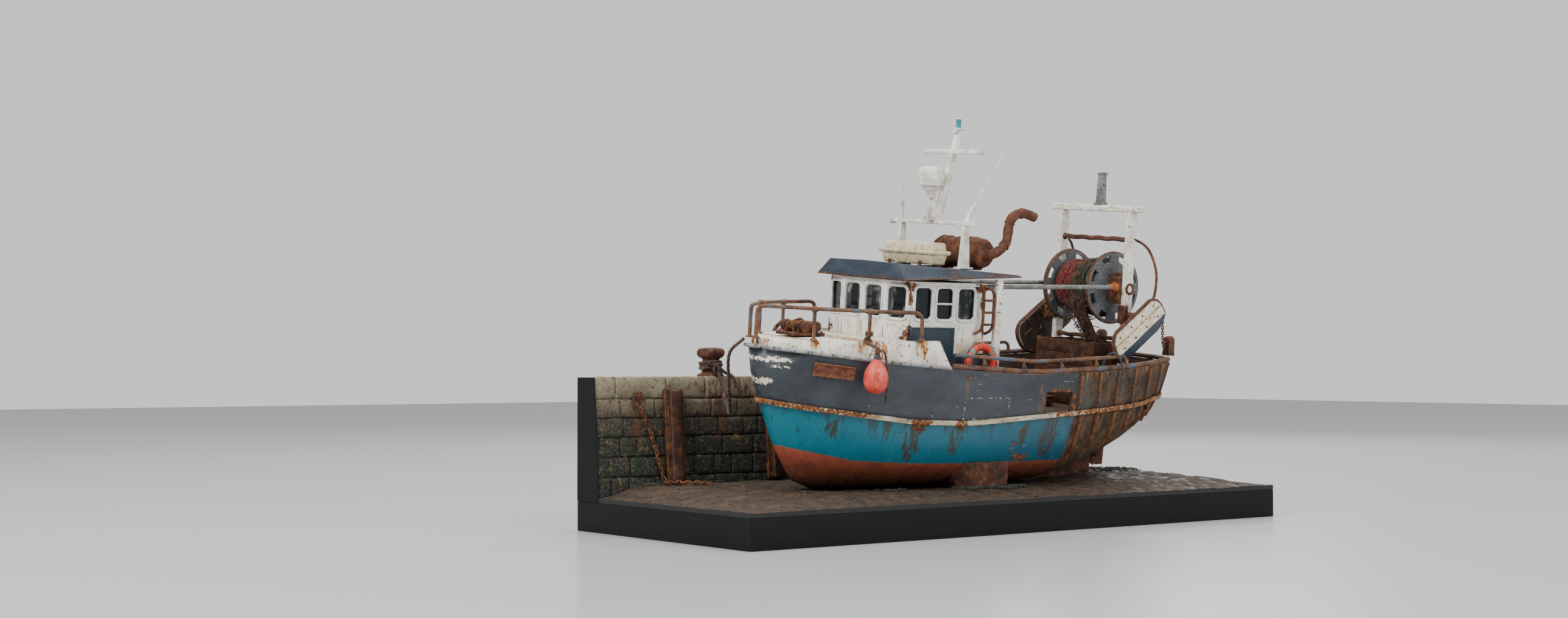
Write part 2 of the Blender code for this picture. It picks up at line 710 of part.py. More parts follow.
CHAIN_RADIUS = 1.1
CHAIN_ROUTE = ((154.7, 63.2), (151.0, 56.0), (148.4, 49.4), (146.0, 42.0), (143.6, 33.7), (142.2, 28.6))
CHAIN_TAIL = ((141.2, -51.0), (139.2, -46.5), (136.0, -42.0), (131.0, -38.5), (124.0, -37.0))


def build_wall_chain():
    """The rusted ring on the wall and the chain that hangs from it."""
    ring = torus((154.7, wall_face(66.0) + 1.5, 66.0), 3.0, 0.8, (0.15, 1, 0.1), 16, 6)
    eye = box((154.7, wall_face(68.6) + 0.95, 68.6), (2.2, 1.4, 2.2))
    route = [(x, wall_face(z) + 1.7, z) for x, z in CHAIN_ROUTE]
    route += [(x, y, ground_height(x, y) + CHAIN_RADIUS + 0.6) for x, y in CHAIN_TAIL]
    strand = tube(spline(route, 3), CHAIN_RADIUS, 6)
    item = fuse([ring, eye, strand])
    return finish(item, "wall_chain", "rust", None)


def window_outline(y_low, y_high, z_low, z_high, corner=2.0):
    """A window's outline with cut corners."""
    return [
        (y_low + corner, z_low), (y_high - corner, z_low), (y_high, z_low + corner),
        (y_high, z_high - corner), (y_high - corner, z_high), (y_low + corner, z_high),
        (y_low, z_high - corner), (y_low, z_low + corner),
    ]


WINDOW_LOW, WINDOW_HIGH = 88.8, 105.0
WINDOW_MARGIN = 2.0
SIDE_WINDOWS = ((45.3, 56.3), (31.0, 42.0), (16.3, 27.7))


def facet_cutters():
    """Cutters for the windows in the four front facets."""
    outline = house_outline()
    cutters = []
    for start, end in zip(outline[1:5], outline[2:6]):
        a, b = Vector((start[0], start[1], 0.0)), Vector((end[0], end[1], 0.0))
        along = (b - a).normalized()
        out = along.cross(Vector((0, 0, 1)))
        length = (b - a).length
        shape = window_outline(WINDOW_MARGIN, length - WINDOW_MARGIN, WINDOW_LOW, WINDOW_HIGH)
        near = [a + along * s + out * 3.0 + Vector((0, 0, z)) for s, z in shape]
        far = [a + along * s - out * 3.0 + Vector((0, 0, z)) for s, z in shape]
        cutters.append(from_rings([near, far]))
    return cutters


def build_wheelhouse(boat):
    """The hollow wheelhouse walls with their windows and after doorway cut."""
    walls = prism(house_outline(), DECK_Z + 0.25, HOUSE_TOP)
    inside = prism(house_outline(-HOUSE_WALL), DECK_Z - 1.0, HOUSE_TOP + 1.0)
    cutters = [inside] + facet_cutters()
    for low, high in SIDE_WINDOWS:
        shape = window_outline(low, high, WINDOW_LOW, WINDOW_HIGH)
        cutters.append(prism(shape, -HOUSE_HALF - 3.0, -HOUSE_HALF + 3.0, "Y"))
        cutters.append(prism(shape, HOUSE_HALF - 3.0, HOUSE_HALF + 3.0, "Y"))
    cutters.append(box((HOUSE_AFT_X, -14.0, DECK_Z + 31.0), (6.0, 15.0, 54.0)))
    cutters.append(box((HOUSE_AFT_X, 14.0, 95.0), (6.0, 18.0, 16.0)))
    cut(walls, cutters)
    return finish(walls, "wheelhouse", "aged_white", boat)


def build_glass(boat):
    """One bent pane that lines the windows from inside."""
    outer = house_outline(-HOUSE_WALL - 0.15)[0:7]
    inner = house_outline(-HOUSE_WALL - 0.75)[0:7]
    outer[0] = (12.0, outer[0][1])
    outer[-1] = (12.0, outer[-1][1])
    inner[0] = (12.0, inner[0][1])
    inner[-1] = (12.0, inner[-1][1])
    pane = prism(outer + inner[::-1], WINDOW_LOW - 1.5, WINDOW_HIGH + 1.5)
    return finish(pane, "wheelhouse_glass", "glass", boat, 0.1, 0.0, 0.35)


def build_roof(boat):
    """The wheelhouse roof: sloped edges, deep at the front and thin over the after deck."""
    lower = [(-13.4, -36.0, 111.5), (66.5, -36.0, 108.0), (67.5, 0.0, 108.0), (66.5, 36.0, 108.0),
             (-13.4, 36.0, 111.5)]
    upper = [(-13.0, -33.0, 112.8), (64.5, -28.0, 116.4), (65.3, 0.0, 117.0), (64.5, 28.0, 116.4),
             (-13.0, 33.0, 112.8)]
    roof = from_rings([lower, upper])
    return finish(roof, "wheelhouse_roof", "roof_paint", boat)


def roof_top(x):
    """Height of the roof's upper face."""
    return 112.8 + (116.4 - 112.8) * (x + 13.0) / 77.5


def build_aft_posts(boat):
    """White posts from the deck to the roof's after corners."""
    for side, name in ((1, "roof_post_port"), (-1, "roof_post_starboard")):
        post = box((2.0, side * 34.2, 76.0), (4.2, 2.4, 68.2))
        finish(post, name, "aged_white", boat)


def build_ladder(boat):
    """The rusted ladder that stands off the house side."""
    parts = []
    for x in (12.6, 5.6):
        route = [(x + 2.0, HOUSE_HALF + 0.85, 104.0), (x, HOUSE_HALF + 2.6, 101.5), (x, HOUSE_HALF + 2.9, 96.0),
                 (x, HOUSE_HALF + 2.9, 87.0), (x + 0.6, HOUSE_HALF + 2.2, 83.6), (x + 2.4, HOUSE_HALF + 0.85, 82.2)]
        parts.append(tube(spline(route, 3), 0.75, 6))
    for z in (99.5, 93.2, 87.0):
        parts.append(tube([(12.6, HOUSE_HALF + 2.9, z), (5.6, HOUSE_HALF + 2.9, z)], 0.6, 6))
    return finish(fuse(parts), "ladder", "rust", boat)


def build_lifebuoy(boat):
    """The orange-red ring against the house side."""
    ring = torus((14.5, HOUSE_HALF + 5.6, 67.1), 8.6, 2.1, (0.0, 1.0, 0.06), 24, 8)
    return finish(ring, "lifebuoy", "orange_red", boat, 0.5)


def build_boards(boat):
    """The blank number board on the house and the blank name plates on the bow."""
    board = box((44.4, HOUSE_HALF + 0.7, 76.6), (29.5, 0.9, 16.5))
    finish(board, "number_board", "board_blue", boat)
    for side, name in ((1, "name_plate_port"), (-1, "name_plate_starboard")):
        rings = []
        for x, low, high in ((94.4, 58.6, 65.2), (99.9, 59.0, 65.7), (105.6, 59.5, 66.3), (111.4, 60.0, 66.9)):
            point_low, out_low = surface_frame(x, low)
            point_high, out_high = surface_frame(x, high)
            ring = [point_low + out_low * 0.15, point_high + out_high * 0.15,
                    point_high + out_high * 1.3, point_low + out_low * 1.3]
            rings.append([(p.x, side * p.y, p.z) for p in ring])
        finish(from_rings(rings), name, "rust", boat)


RAFT_X, RAFT_Y, RAFT_HALF = 30.5, -0.8, 20.6


def build_liferaft(boat):
    """The liferaft canister across the roof, with its rim."""
    base = roof_top(RAFT_X) + 1.3
    low, high = RAFT_Y - RAFT_HALF, RAFT_Y + RAFT_HALF
    shapes = (((4.2, 0.0), (5.7, 5.6)), ((6.4, 5.5), (6.4, 6.9)), ((5.6, 6.8), (4.0, 11.0)))
    parts = []
    for (foot, z_foot), (head, z_head) in shapes:
        outline = [(RAFT_X - foot, base + z_foot), (RAFT_X + foot, base + z_foot),
                   (RAFT_X + head, base + z_head), (RAFT_X - head, base + z_head)]
        over = 1.0 if foot == head else 0.0
        parts.append(prism(outline, low - over, high + over, "Y"))
    feet = [box((RAFT_X, RAFT_Y + y, base), (8.0, 2.2, 1.2)) for y in (-12.0, 12.0)]
    return finish(fuse(parts + feet), "liferaft", "aged_white", boat)


SILENCER_X, SILENCER_Z = 4.0, 123.0


def build_exhaust(boat):
    """The rusted silencer across the roof and its swan-neck pipe."""
    profile = ((3.0, -11.5), (6.8, -11.0), (7.8, -9.5), (7.8, -5.6), (8.2, -5.2), (8.2, -2.0), (7.8, -1.6),
               (7.8, 15.6), (8.2, 16.0), (8.2, 18.4), (7.8, 18.8), (7.8, 22.0), (6.8, 23.6), (4.2, 24.4))
    body = lathe(profile, (SILENCER_X, 0.0, SILENCER_Z), "Y", 16)
    route = [(6.0, 22.0, 122.6), (2.5, 26.0, 122.4), (-3.5, 27.0, 125.2), (-9.2, 26.5, 131.0), (-9.3, 26.0, 138.8),
             (-13.4, 26.0, 143.8), (-20.0, 26.0, 144.8), (-28.0, 26.0, 143.2)]
    pipe = tube(spline(route, 3), 2.6, 10)
    saddles = [box((SILENCER_X, y, 115.7), (9.0, 4.0, 3.2)) for y in (-5.0, 15.0)]
    return finish(fuse([body, pipe] + saddles), "exhaust", "rust", boat)


AERIALS = (
    ((20.0, -25.0, 138.0), (20.1, -25.0, 147.0), (19.7, -25.0, 166.5)),
    ((19.4, 25.0, 138.0), (14.8, 25.0, 146.0), (-4.7, 25.0, 176.1)),
)


def build_masts(boat):
    """The goal-post mast with its two aerials, the raked mast with its arm, the radar and the lamp."""
    parts = []
    for side in (1, -1):
        low = roof_top(19.0) + 0.6
        ring_low = [(x, side * y, low) for x, y in ((16.0, 23.4), (22.2, 23.4), (22.2, 26.6), (16.0, 26.6))]
        ring_high = [(x, side * y, 137.2) for x, y in ((17.6, 24.0), (20.8, 24.0), (20.8, 26.0), (17.6, 26.0))]
        parts.append(from_rings([ring_low, ring_high]))
    parts.append(box((19.4, 0.0, 137.8), (3.4, 67.6, 2.2)))
    for base_point, sleeve_end, tip in AERIALS:
        sleeve = tube([base_point, sleeve_end], 1.1, 8, 0.9)
        start = Vector(base_point).lerp(Vector(sleeve_end), 0.7)
        whip = tube([start, tip], 0.5, 6, 0.3)
        parts += [sleeve, whip]
    finish(fuse(parts), "goal_post", "aged_white", boat)

    foot = [(15.0, -2.0, 139.2), (19.6, -2.0, 139.2), (19.6, 2.0, 139.2), (15.0, 2.0, 139.2)]
    head = [(3.4, -1.5, 187.0), (6.6, -1.5, 187.0), (6.6, 1.5, 187.0), (3.4, 1.5, 187.0)]
    mast = from_rings([foot, head])
    arm = box((8.0, 0.0, 175.2), (3.0, 46.0, 2.4))
    cap = box((5.6, 0.0, 187.2), (5.6, 4.2, 1.2))
    finish(fuse([mast, arm, cap]), "mast", "aged_white", boat)

    lamp = lathe(((1.3, 188.1), (1.3, 192.2), (0.9, 192.8)), (5.8, 0.0, 0.0), "Z", 12)
    finish(lamp, "mast_lamp", "lamp_glass", boat, 0.2)

    tiers = ((1.6, 150.4), (1.7, 152.4), (2.3, 152.5), (2.3, 154.4), (4.2, 154.6), (4.2, 156.6), (6.7, 156.8),
             (7.0, 157.4), (6.9, 163.4), (6.2, 165.6), (4.4, 166.6))
    dome = lathe(tiers, (22.6, 0.0, 0.0), "Z", 16)
    plate = [[(x, y, z) for x, y in ((near, -1.3), (far, -1.3), (far, 1.3), (near, 1.3))]
             for near, far, z in ((20.0, 22.6, 139.3), (16.6, 20.6, 157.2))]
    finish(fuse([dome, from_rings(plate)]), "radar", "aged_white", boat)


def raised_top(x):
    """Height of the raised bow's top."""
    return 76.3 + (79.0 - 76.3) * (132.0 - x) / 82.0


RAIL_POSTS = ((111.8, 22.5), (87.5, 35.4))


def build_bow_rails(boat):
    """The tubular rails round the bow, each ending in a down-turn."""
    port = [(131.0, 3.2), (122.0, 12.5), RAIL_POSTS[0], (99.6, 30.2), RAIL_POSTS[1], (74.0, 40.0), (62.5, 43.0)]
    for side, name in ((1, "bow_rail_port"), (-1, "bow_rail_starboard")):
        route = [(132.2, side * 2.6, raised_top(131.0) + 0.3)]
        route.append((132.0, side * 2.8, 88.5))
        route += [(x, side * y, 92.6) for x, y in port]
        route += [(60.8, side * 43.4, 91.0), (60.4, side * 43.5, raised_top(60.4) + 0.3)]
        parts = [tube(route, 1.1, 8)]
        for x, y in RAIL_POSTS:
            parts.append(tube([(x, side * y, raised_top(x) + 0.3), (x, side * y, 92.4)], 1.0, 8))
        finish(fuse(parts), name, "rust", boat)


WINDLASS_X = 100.5


def build_windlass(boat):
    """The rusted windlass on the foredeck."""
    low = raised_top(90.0) + 0.2
    bed = box((WINDLASS_X, -3.0, low + 0.8), (20.0, 15.0, 1.6))
    cheeks = [box((WINDLASS_X, y, low + 3.0), (13.0, 1.6, 5.0)) for y in (-8.0, 2.0)]
    profile = ((1.0, -12.0), (2.6, -11.6), (2.6, -9.6), (1.8, -9.4), (1.8, 3.6), (2.6, 3.8), (2.6, 5.8), (1.0, 6.2))
    barrels = [lathe(profile, (WINDLASS_X + x, 0.0, low + 4.6), "Y", 12) for x in (-3.6, 3.6)]
    return finish(fuse([bed] + cheeks + barrels), "windlass", "rust", boat)


def build_low_rails(boat):
    """The low rail on short stanchions along each bulwark."""
    for side, name in ((1, "low_rail_port"), (-1, "low_rail_starboard")):
        xs = [40.0, 22.0, -5.0, -32.0, -58.0, -80.0]
        route = []
        for x in xs:
            route.append((x, side * (half_breadth(x, 66.0) - 0.6), lookup(SHEER, x) + 7.0))
        end = (-82.6, side * (half_breadth(-82.6, 66.0) - 0.6), lookup(SHEER, -82.6) + 3.0)
        parts = [tube(route + [(-82.2, end[1], end[2] + 2.6), end], 1.0, 8)]
        for x in xs[1:5]:
            y = side * (half_breadth(x, 66.0) - 0.6)
            parts.append(tube([(x, y, lookup(SHEER, x) + 3.0), (x, y, lookup(SHEER, x) + 6.8)], 0.8, 6))
        finish(fuse(parts), name, "rust", boat)


def build_gantry(boat):
    """The gantry: legs, top beam, cross tubes, post stub and bent pipes in one weldment."""
    parts = []
    for side in (1, -1):
        parts.append(box((GANTRY_X, side * GANTRY_HALF, 95.4), (5.6, 3.4, 107.4)))
    parts.append(box((GANTRY_X, 0.0, 150.6), (4.6, 68.0, 3.6)))
    parts.append(tube([(GANTRY_X, -GANTRY_HALF, 134.0), (GANTRY_X, GANTRY_HALF, 134.0)], 1.4, 8))
    parts.append(tube([(GANTRY_X, -GANTRY_HALF, 79.0), (GANTRY_X, GANTRY_HALF, 79.0)], 1.2, 8))
    parts.append(box((GANTRY_X, 2.0, 161.0), (4.4, 4.6, 19.0)))
    for side, flange in ((1, DRUM_FLANGES[1]), (-1, -DRUM_FLANGES[0])):
        inner, outer = flange + HUB_REACH + 0.8, GANTRY_HALF - 1.4
        parts.append(box((GANTRY_X + 1.0, side * (inner + outer) / 2.0, DRUM_Z), (9.0, outer - inner, 13.0)))
        parts.append(box((GANTRY_X + 0.5, side * (GANTRY_HALF + 5.35), 90.5), (5.0, 9.3, 8.0)))
        route = [(GANTRY_X - 1.0, side * 27.0, 134.6), (-109.0, side * 28.5, 131.8), (-113.5, side * 30.0, 127.0),
                 (-117.6, side * 31.0, 117.5), (-117.6, side * 31.5, 108.0), (-115.4, side * 31.6, 99.5)]
        parts.append(tube(spline(route, 3), 0.75, 6))
    gantry = fuse(parts)
    bore = lathe(((1.6, -30.0), (1.6, 30.0)), (GANTRY_X, 0.0, DRUM_Z), "Y", 16)
    cut(gantry, [bore])
    return finish(gantry, "gantry", "aged_white", boat)


def build_drum(boat):
    """The net drum: slotted flanges, core and shaft, turning on the gantry's bearings."""
    axis = bpy.data.objects.new("drum_axis", None)
    bpy.context.scene.collection.objects.link(axis)
    axis.parent = boat
    axis.location = (mm(GANTRY_X), 0.0, mm(DRUM_Z))
    profile = [(1.45, -27.0)]
    for middle, way in ((DRUM_FLANGES[0], 1), (DRUM_FLANGES[1], -1)):
        half = [(1.45, -HUB_REACH), (5.0, -1.8), (5.0, -1.0), (DRUM_RADIUS, -0.8), (DRUM_RADIUS, 0.8), (5.0, 1.0)]
        profile += [(radius, middle + way * place) for radius, place in half[::way]]
    profile.append((1.45, 27.0))
    drum = lathe(profile, (0.0, 0.0, 0.0), "Y", 32)
    slots = []
    for k in range(8):
        angle = 2.0 * math.pi * (k + 0.5) / 8
        turn = Matrix.Rotation(angle, 3, "Y")
        place = turn @ Vector((0.0, 0.0, 16.2))
        slots.append(box(place, (4.4, 46.0, 3.6), turn))
    cut(drum, slots)
    finish(drum, "net_drum", "drum_grey", axis, 0.6, 0.3)
    lumps = ((5.3, -17.2), (12.0, -16.9), (12.6, -8.5), (13.4, -3.0), (14.4, 2.4), (15.0, 8.4), (14.2, 12.9),
             (5.3, 13.2))
    wound = lathe(lumps, (0.0, 0.0, 0.0), "Y", 20)
    bore = lathe(((5.3, -40.0), (5.3, 40.0)), (0.0, 0.0, 0.0), "Y", 20)
    cut(wound, [bore])
    finish(wound, "wound_net", "net_brown", axis, 0.95)


def build_net_tail(boat):
    """The tail of the net, hanging from the drum into the deck pound."""
    rings = []
    for x, y, z, a, b in ((-84.6, 2.6, 104.0, 2.0, 7.0), (-85.8, 4.0, 96.0, 2.4, 6.8), (-90.0, 8.4, 84.0, 3.0, 5.2),
                          (-94.0, 13.4, 74.0, 3.6, 5.0), (-96.5, 14.2, 64.0, 5.0, 5.8)):
        ring = []
        for k in range(10):
            turn = 2.0 * math.pi * k / 10
            ring.append((x + a * math.cos(turn), y + b * math.sin(turn), z))
        rings.append(ring)
    return finish(smooth(from_rings(rings), 60.0), "net_tail", "net_brown", boat, 0.95)


def build_stays(boat):
    """Struts from the back of the wheelhouse roof to the drum's bearings."""
    for side, name in ((1, "stay_port"), (-1, "stay_starboard")):
        strut = tube([(8.2, side * 23.0, 105.6), (-95.1, side * 23.0, 107.6)], 1.3, 8)
        finish(strut, name, "steel_grey", boat)


DOOR_CENTRE = (-100.5, 37.6, 84.6)
DOOR_LENGTH, DOOR_WIDTH, DOOR_THICK = 42.5, 19.6, 2.6
DOOR_BEND_AT, DOOR_BEND = -2.6, 0.55
DOOR_ROWS = (-9.8, -9.4, -7.6, -5.2, -2.6, 1.0, 5.2, 7.8, 9.4, 9.8)


def build_doors(boat):
    """The oval trawl doors, one on each quarter, with the lower strip bent inboard."""
    tilt = Matrix.Rotation(math.radians(36.0), 3, "Y")
    for side, name in ((1, "trawl_door_port"), (-1, "trawl_door_starboard")):
        rings = []
        for b in DOOR_ROWS:
            share = min(1.0, abs(b) / (DOOR_WIDTH / 2))
            reach = DOOR_LENGTH / 2 * (0.62 + 0.38 * (1.0 - share ** 2.6) ** 0.5)
            inboard = max(0.0, DOOR_BEND_AT - b) * DOOR_BEND
            ring = []
            for a, y in ((-reach, -1.0), (reach, -1.0), (reach, 1.0), (-reach, 1.0)):
                local = tilt @ Vector((a, 0.0, b))
                ring.append((DOOR_CENTRE[0] + local.x, side * (DOOR_CENTRE[1] - inboard + y * DOOR_THICK / 2),
                             DOOR_CENTRE[2] + local.z))
            rings.append(ring)
        finish(from_rings(rings), name, "aged_white", boat)


def build_pound(boat):
    """The open rusted pound on the after deck."""
    outer = box((-95.0, 0.0, 59.4), (27.0, 44.0, 35.2))
    inner = box((-95.0, 0.0, 63.0), (24.6, 41.6, 38.0))
    pound = cut(outer, [inner])
    return finish(pound, "deck_pound", "rust", boat)


def build_quarter_posts(boat):
    """The square bitts on the quarters, each with a cross pin, standing over the gunwale rail."""
    x, y = -137.0, 26.0
    for side, name in ((1, "quarter_bitt_port"), (-1, "quarter_bitt_starboard")):
        rings = []
        for z, half in ((70.6, 2.6), (72.6, 2.3), (79.2, 2.3), (80.6, 1.9), (81.4, 1.0)):
            rings.append([(x + a * half, side * y + b * half, z) for a, b in ((-1, -1), (1, -1), (1, 1), (-1, 1))])
        pin = tube([(x + 5.0, side * y, 77.8), (x - 3.6, side * y, 77.8)], 0.9, 8)
        finish(fuse([from_rings(rings), pin]), name, "rust", boat)


QUARTER_CORD = (
    (-66.8, 44.2, 56.0), (-67.0, 44.0, 65.0), (-68.6, 44.8, 71.0), (-70.8, 47.2, 73.6), (-73.6, 49.6, 71.4),
    (-76.0, 49.6, 66.5), (-77.0, 49.1, 60.0), (-77.2, 48.8, 54.0),
)


def build_quarter_cord():
    """A loose cord end laid over the low rail on the port quarter."""
    cord("quarter_cord", [boat_to_world(p) for p in QUARTER_CORD], 0.55, "cable")


SHEER_TURN = 75.0


def build_buoys(boat):
    """The red buoys on short ropes outside the bow."""
    reach = 8.0
    post = RAIL_POSTS[1]
    profile = ((1.2, 10.6), (1.9, 8.9), (3.4, 7.0), (5.3, 3.8), (6.1, 0.0), (5.9, -2.8), (4.7, -5.5),
               (2.5, -7.2), (0.8, -7.7))
    for side, name, x, z in ((1, "buoy_port", 86.2, 60.6), (-1, "buoy_starboard", 86.0, 43.0)):
        point, out = surface_frame(x, z)
        centre = Vector((point.x, side * point.y, z)) + Vector((out.x, side * out.y, 0.0)) * reach
        body = lathe(profile, tuple(centre), "Z", 14)
        clear = 2.0 * math.sqrt(0.5)
        end = Vector((post[0] + clear, side * (post[1] + clear), raised_top(post[0]) + 3.4))
        top = centre + Vector((0.0, 0.0, 9.8))
        way = [top.lerp(end, 0.55) + Vector((0.8, side * 1.6, 2.0))]
        if side < 0:
            lip = surface_frame(end.x, SHEER_TURN)[0].y + 2.6
            way = [Vector((top.x, side * lip, 68.0)), Vector((end.x, side * (lip - 0.3), end.z - 2.4))]
        lanyard = tube(spline([top] + way + [end], 4), 0.7, 6)
        finish(fuse([body, lanyard]), name, "orange_red", boat, 0.4)


def build_rudder(boat):
    """The rudder on its stock."""
    axis = bpy.data.objects.new("rudder_axis", None)
    bpy.context.scene.collection.objects.link(axis)
    axis.parent = boat
    axis.location = (mm(RUDDER_X), 0.0, mm(RUDDER_Z))
    blade = prism([(1.8, 7.7), (-5.0, 7.7), (-4.0, -8.2), (1.6, -8.2)], -0.8, 0.8, "Y")
    stock = lathe(((1.1, 6.5), (1.1, 8.5)), (0.0, 0.0, 0.0), "Z", 12)
    finish(fuse([blade, stock]), "rudder", "rust", axis)


def build_propeller(boat):
    """The propeller and its short shaft in the stern tube."""
    axis = bpy.data.objects.new("shaft_axis", None)
    bpy.context.scene.collection.objects.link(axis)
    axis.parent = boat
    axis.location = (mm(PROP_X), 0.0, mm(SHAFT_Z))
    hub = lathe(((0.9, 2.0), (1.9, 1.7), (1.9, -1.5), (0.8, -2.2)), (0.0, 0.0, 0.0), "X", 12)
    parts = [hub]
    for k in range(4):
        turn = Matrix.Rotation(2.0 * math.pi * k / 4 + 0.4, 3, "X")
        pitch = Matrix.Rotation(math.radians(32.0), 3, "Z")
        outline = [(-1.0, 1.0), (-1.8, 3.2), (-2.0, 5.0), (-0.9, 6.2), (1.0, 6.2), (2.0, 4.8), (1.8, 2.8),
                   (1.0, 1.0)]
        near = [turn @ (pitch @ Vector((a, 0.0, 0.0)) + Vector((0.0, -0.3, b))) for a, b in outline]
        far = [turn @ (pitch @ Vector((a, 0.0, 0.0)) + Vector((0.0, 0.3, b))) for a, b in outline]
        parts.append(from_rings([near, far]))
    finish(fuse(parts), "propeller", "bronze", axis, 0.4, 0.7)


def main():
    """Build the whole model."""
    clear_scene()
    boat = bpy.data.objects.new("boat_frame", None)
    bpy.context.scene.collection.objects.link(boat)
    boat.location = [mm(c) for c in BOAT_ORIGIN]
    boat.rotation_euler = (-HEEL, 0.0, 0.0)
    build_plinth()
    build_ground()
    build_wall()
    build_fenders()
    build_bollard()
    build_mooring()
    build_wall_chain()
    build_quarter_cord()
    for builder in (build_hull, build_strake, build_gunwale, build_foredeck, build_keel, build_wheelhouse,
                    build_glass, build_roof, build_aft_posts, build_ladder, build_lifebuoy, build_boards,
                    build_liferaft, build_exhaust, build_masts, build_bow_rails, build_windlass, build_low_rails,
                    build_gantry, build_drum, build_net_tail, build_stays, build_doors, build_pound,
                    build_quarter_posts, build_buoys, build_rudder, build_propeller):
        builder(boat)
    for side, name in ((1, "bilge_leg_port"), (-1, "bilge_leg_starboard")):
        build_bilge_keel(side, name, boat)


if __name__ == "__main__":
    main()
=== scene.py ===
"""The looks of a weathered scale model of a steel stern trawler, aground beside a stone quay.

Every length in this file is in millimetres until a mesh is handed over.  The boat has its own
frame, which carries its heel to port; the quay, the mud and the plinth stand in the world's.
"""
from __future__ import annotations

import json
import logging
import math
import random
from dataclasses import dataclass, field
from enum import Enum
from typing import Callable, Iterable, Sequence

import bmesh
import bpy
from mathutils import Matrix, Vector, noise

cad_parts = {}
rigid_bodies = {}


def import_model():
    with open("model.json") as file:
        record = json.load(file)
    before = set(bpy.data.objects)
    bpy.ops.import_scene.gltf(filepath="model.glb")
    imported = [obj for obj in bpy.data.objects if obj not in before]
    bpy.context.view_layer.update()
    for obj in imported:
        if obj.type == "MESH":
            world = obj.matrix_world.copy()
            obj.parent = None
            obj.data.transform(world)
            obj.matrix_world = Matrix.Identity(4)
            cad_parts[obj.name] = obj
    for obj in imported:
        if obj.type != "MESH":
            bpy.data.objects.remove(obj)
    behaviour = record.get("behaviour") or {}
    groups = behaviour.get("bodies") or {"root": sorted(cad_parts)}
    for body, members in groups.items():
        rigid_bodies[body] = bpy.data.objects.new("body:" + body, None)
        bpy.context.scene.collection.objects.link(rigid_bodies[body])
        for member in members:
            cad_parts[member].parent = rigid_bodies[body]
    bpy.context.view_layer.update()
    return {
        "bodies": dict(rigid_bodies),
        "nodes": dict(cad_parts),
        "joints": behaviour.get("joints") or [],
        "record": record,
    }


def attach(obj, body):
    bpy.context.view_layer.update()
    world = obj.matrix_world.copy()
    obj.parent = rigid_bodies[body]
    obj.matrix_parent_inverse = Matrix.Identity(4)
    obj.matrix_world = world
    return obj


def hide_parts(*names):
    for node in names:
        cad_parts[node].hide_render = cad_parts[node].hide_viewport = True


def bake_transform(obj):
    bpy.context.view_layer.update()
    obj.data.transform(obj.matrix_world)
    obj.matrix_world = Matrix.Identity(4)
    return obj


LOG = logging.getLogger("trawler")
Point = Sequence[float]
MM = 0.001
HEEL = math.radians(5.2)
BOAT_ORIGIN = (0.0, 4.0, 21.5)


class Space(Enum):
    """The frame that a piece is drawn in."""

    WORLD = "world"
    BOAT = "boat"

    def matrix(self) -> Matrix:
        """Return the matrix from this frame's millimetres to the world's metres."""
        if self is Space.WORLD:
            return Matrix.Scale(MM, 4)
        move = Matrix.Translation(Vector(BOAT_ORIGIN) * MM)
        return move @ Matrix.Rotation(-HEEL, 4, "X") @ Matrix.Scale(MM, 4)

    def from_world(self, point: Point) -> Vector:
        """Return a world point in millimetres in this frame."""
        return self.matrix().inverted() @ (Vector(point) * MM)


def linear(colour: str) -> tuple[float, float, float, float]:
    """Turn an sRGB hex value into linear light.

    Args:
        colour: Six hex digits, with or without a leading hash.

    Returns:
        Red, green, blue and a full alpha.
    """
    digits = colour.lstrip("#")
    channels = []
    for start in (0, 2, 4):
        value = int(digits[start:start + 2], 16) / 255.0
        channels.append(value / 12.92 if value <= 0.04045 else ((value + 0.055) / 1.055) ** 2.4)
    return (channels[0], channels[1], channels[2], 1.0)


def lookup(table: Sequence[tuple[float, float]], place: float) -> float:
    """Read a table of (place, value) pairs, straight between its points."""
    if place <= table[0][0]:
        return table[0][1]
    for (x0, y0), (x1, y1) in zip(table, table[1:]):
        if place <= x1:
            return y0 + (y1 - y0) * (place - x0) / (x1 - x0)
    return table[-1][1]


class Kind(Enum):
    """Kinds of shader node that the finishes use."""

    COORDS = "ShaderNodeTexCoord"
    MAPPING = "ShaderNodeMapping"
    NOISE = "ShaderNodeTexNoise"
    CELLS = "ShaderNodeTexVoronoi"
    WAVE = "ShaderNodeTexWave"
    RAMP = "ShaderNodeValToRGB"
    RANGE = "ShaderNodeMapRange"
    MATH = "ShaderNodeMath"
    VECTOR = "ShaderNodeVectorMath"
    MIX = "ShaderNodeMix"
    BUMP = "ShaderNodeBump"
    BEVEL = "ShaderNodeBevel"
    SPLIT = "ShaderNodeSeparateXYZ"
    JOIN = "ShaderNodeCombineXYZ"
    GEOMETRY = "ShaderNodeNewGeometry"
    ATTRIBUTE = "ShaderNodeAttribute"
    ROTATE = "ShaderNodeVectorRotate"


Socket = bpy.types.NodeSocket
Value = float | Socket
HEIGHT_SPAN = 100.0


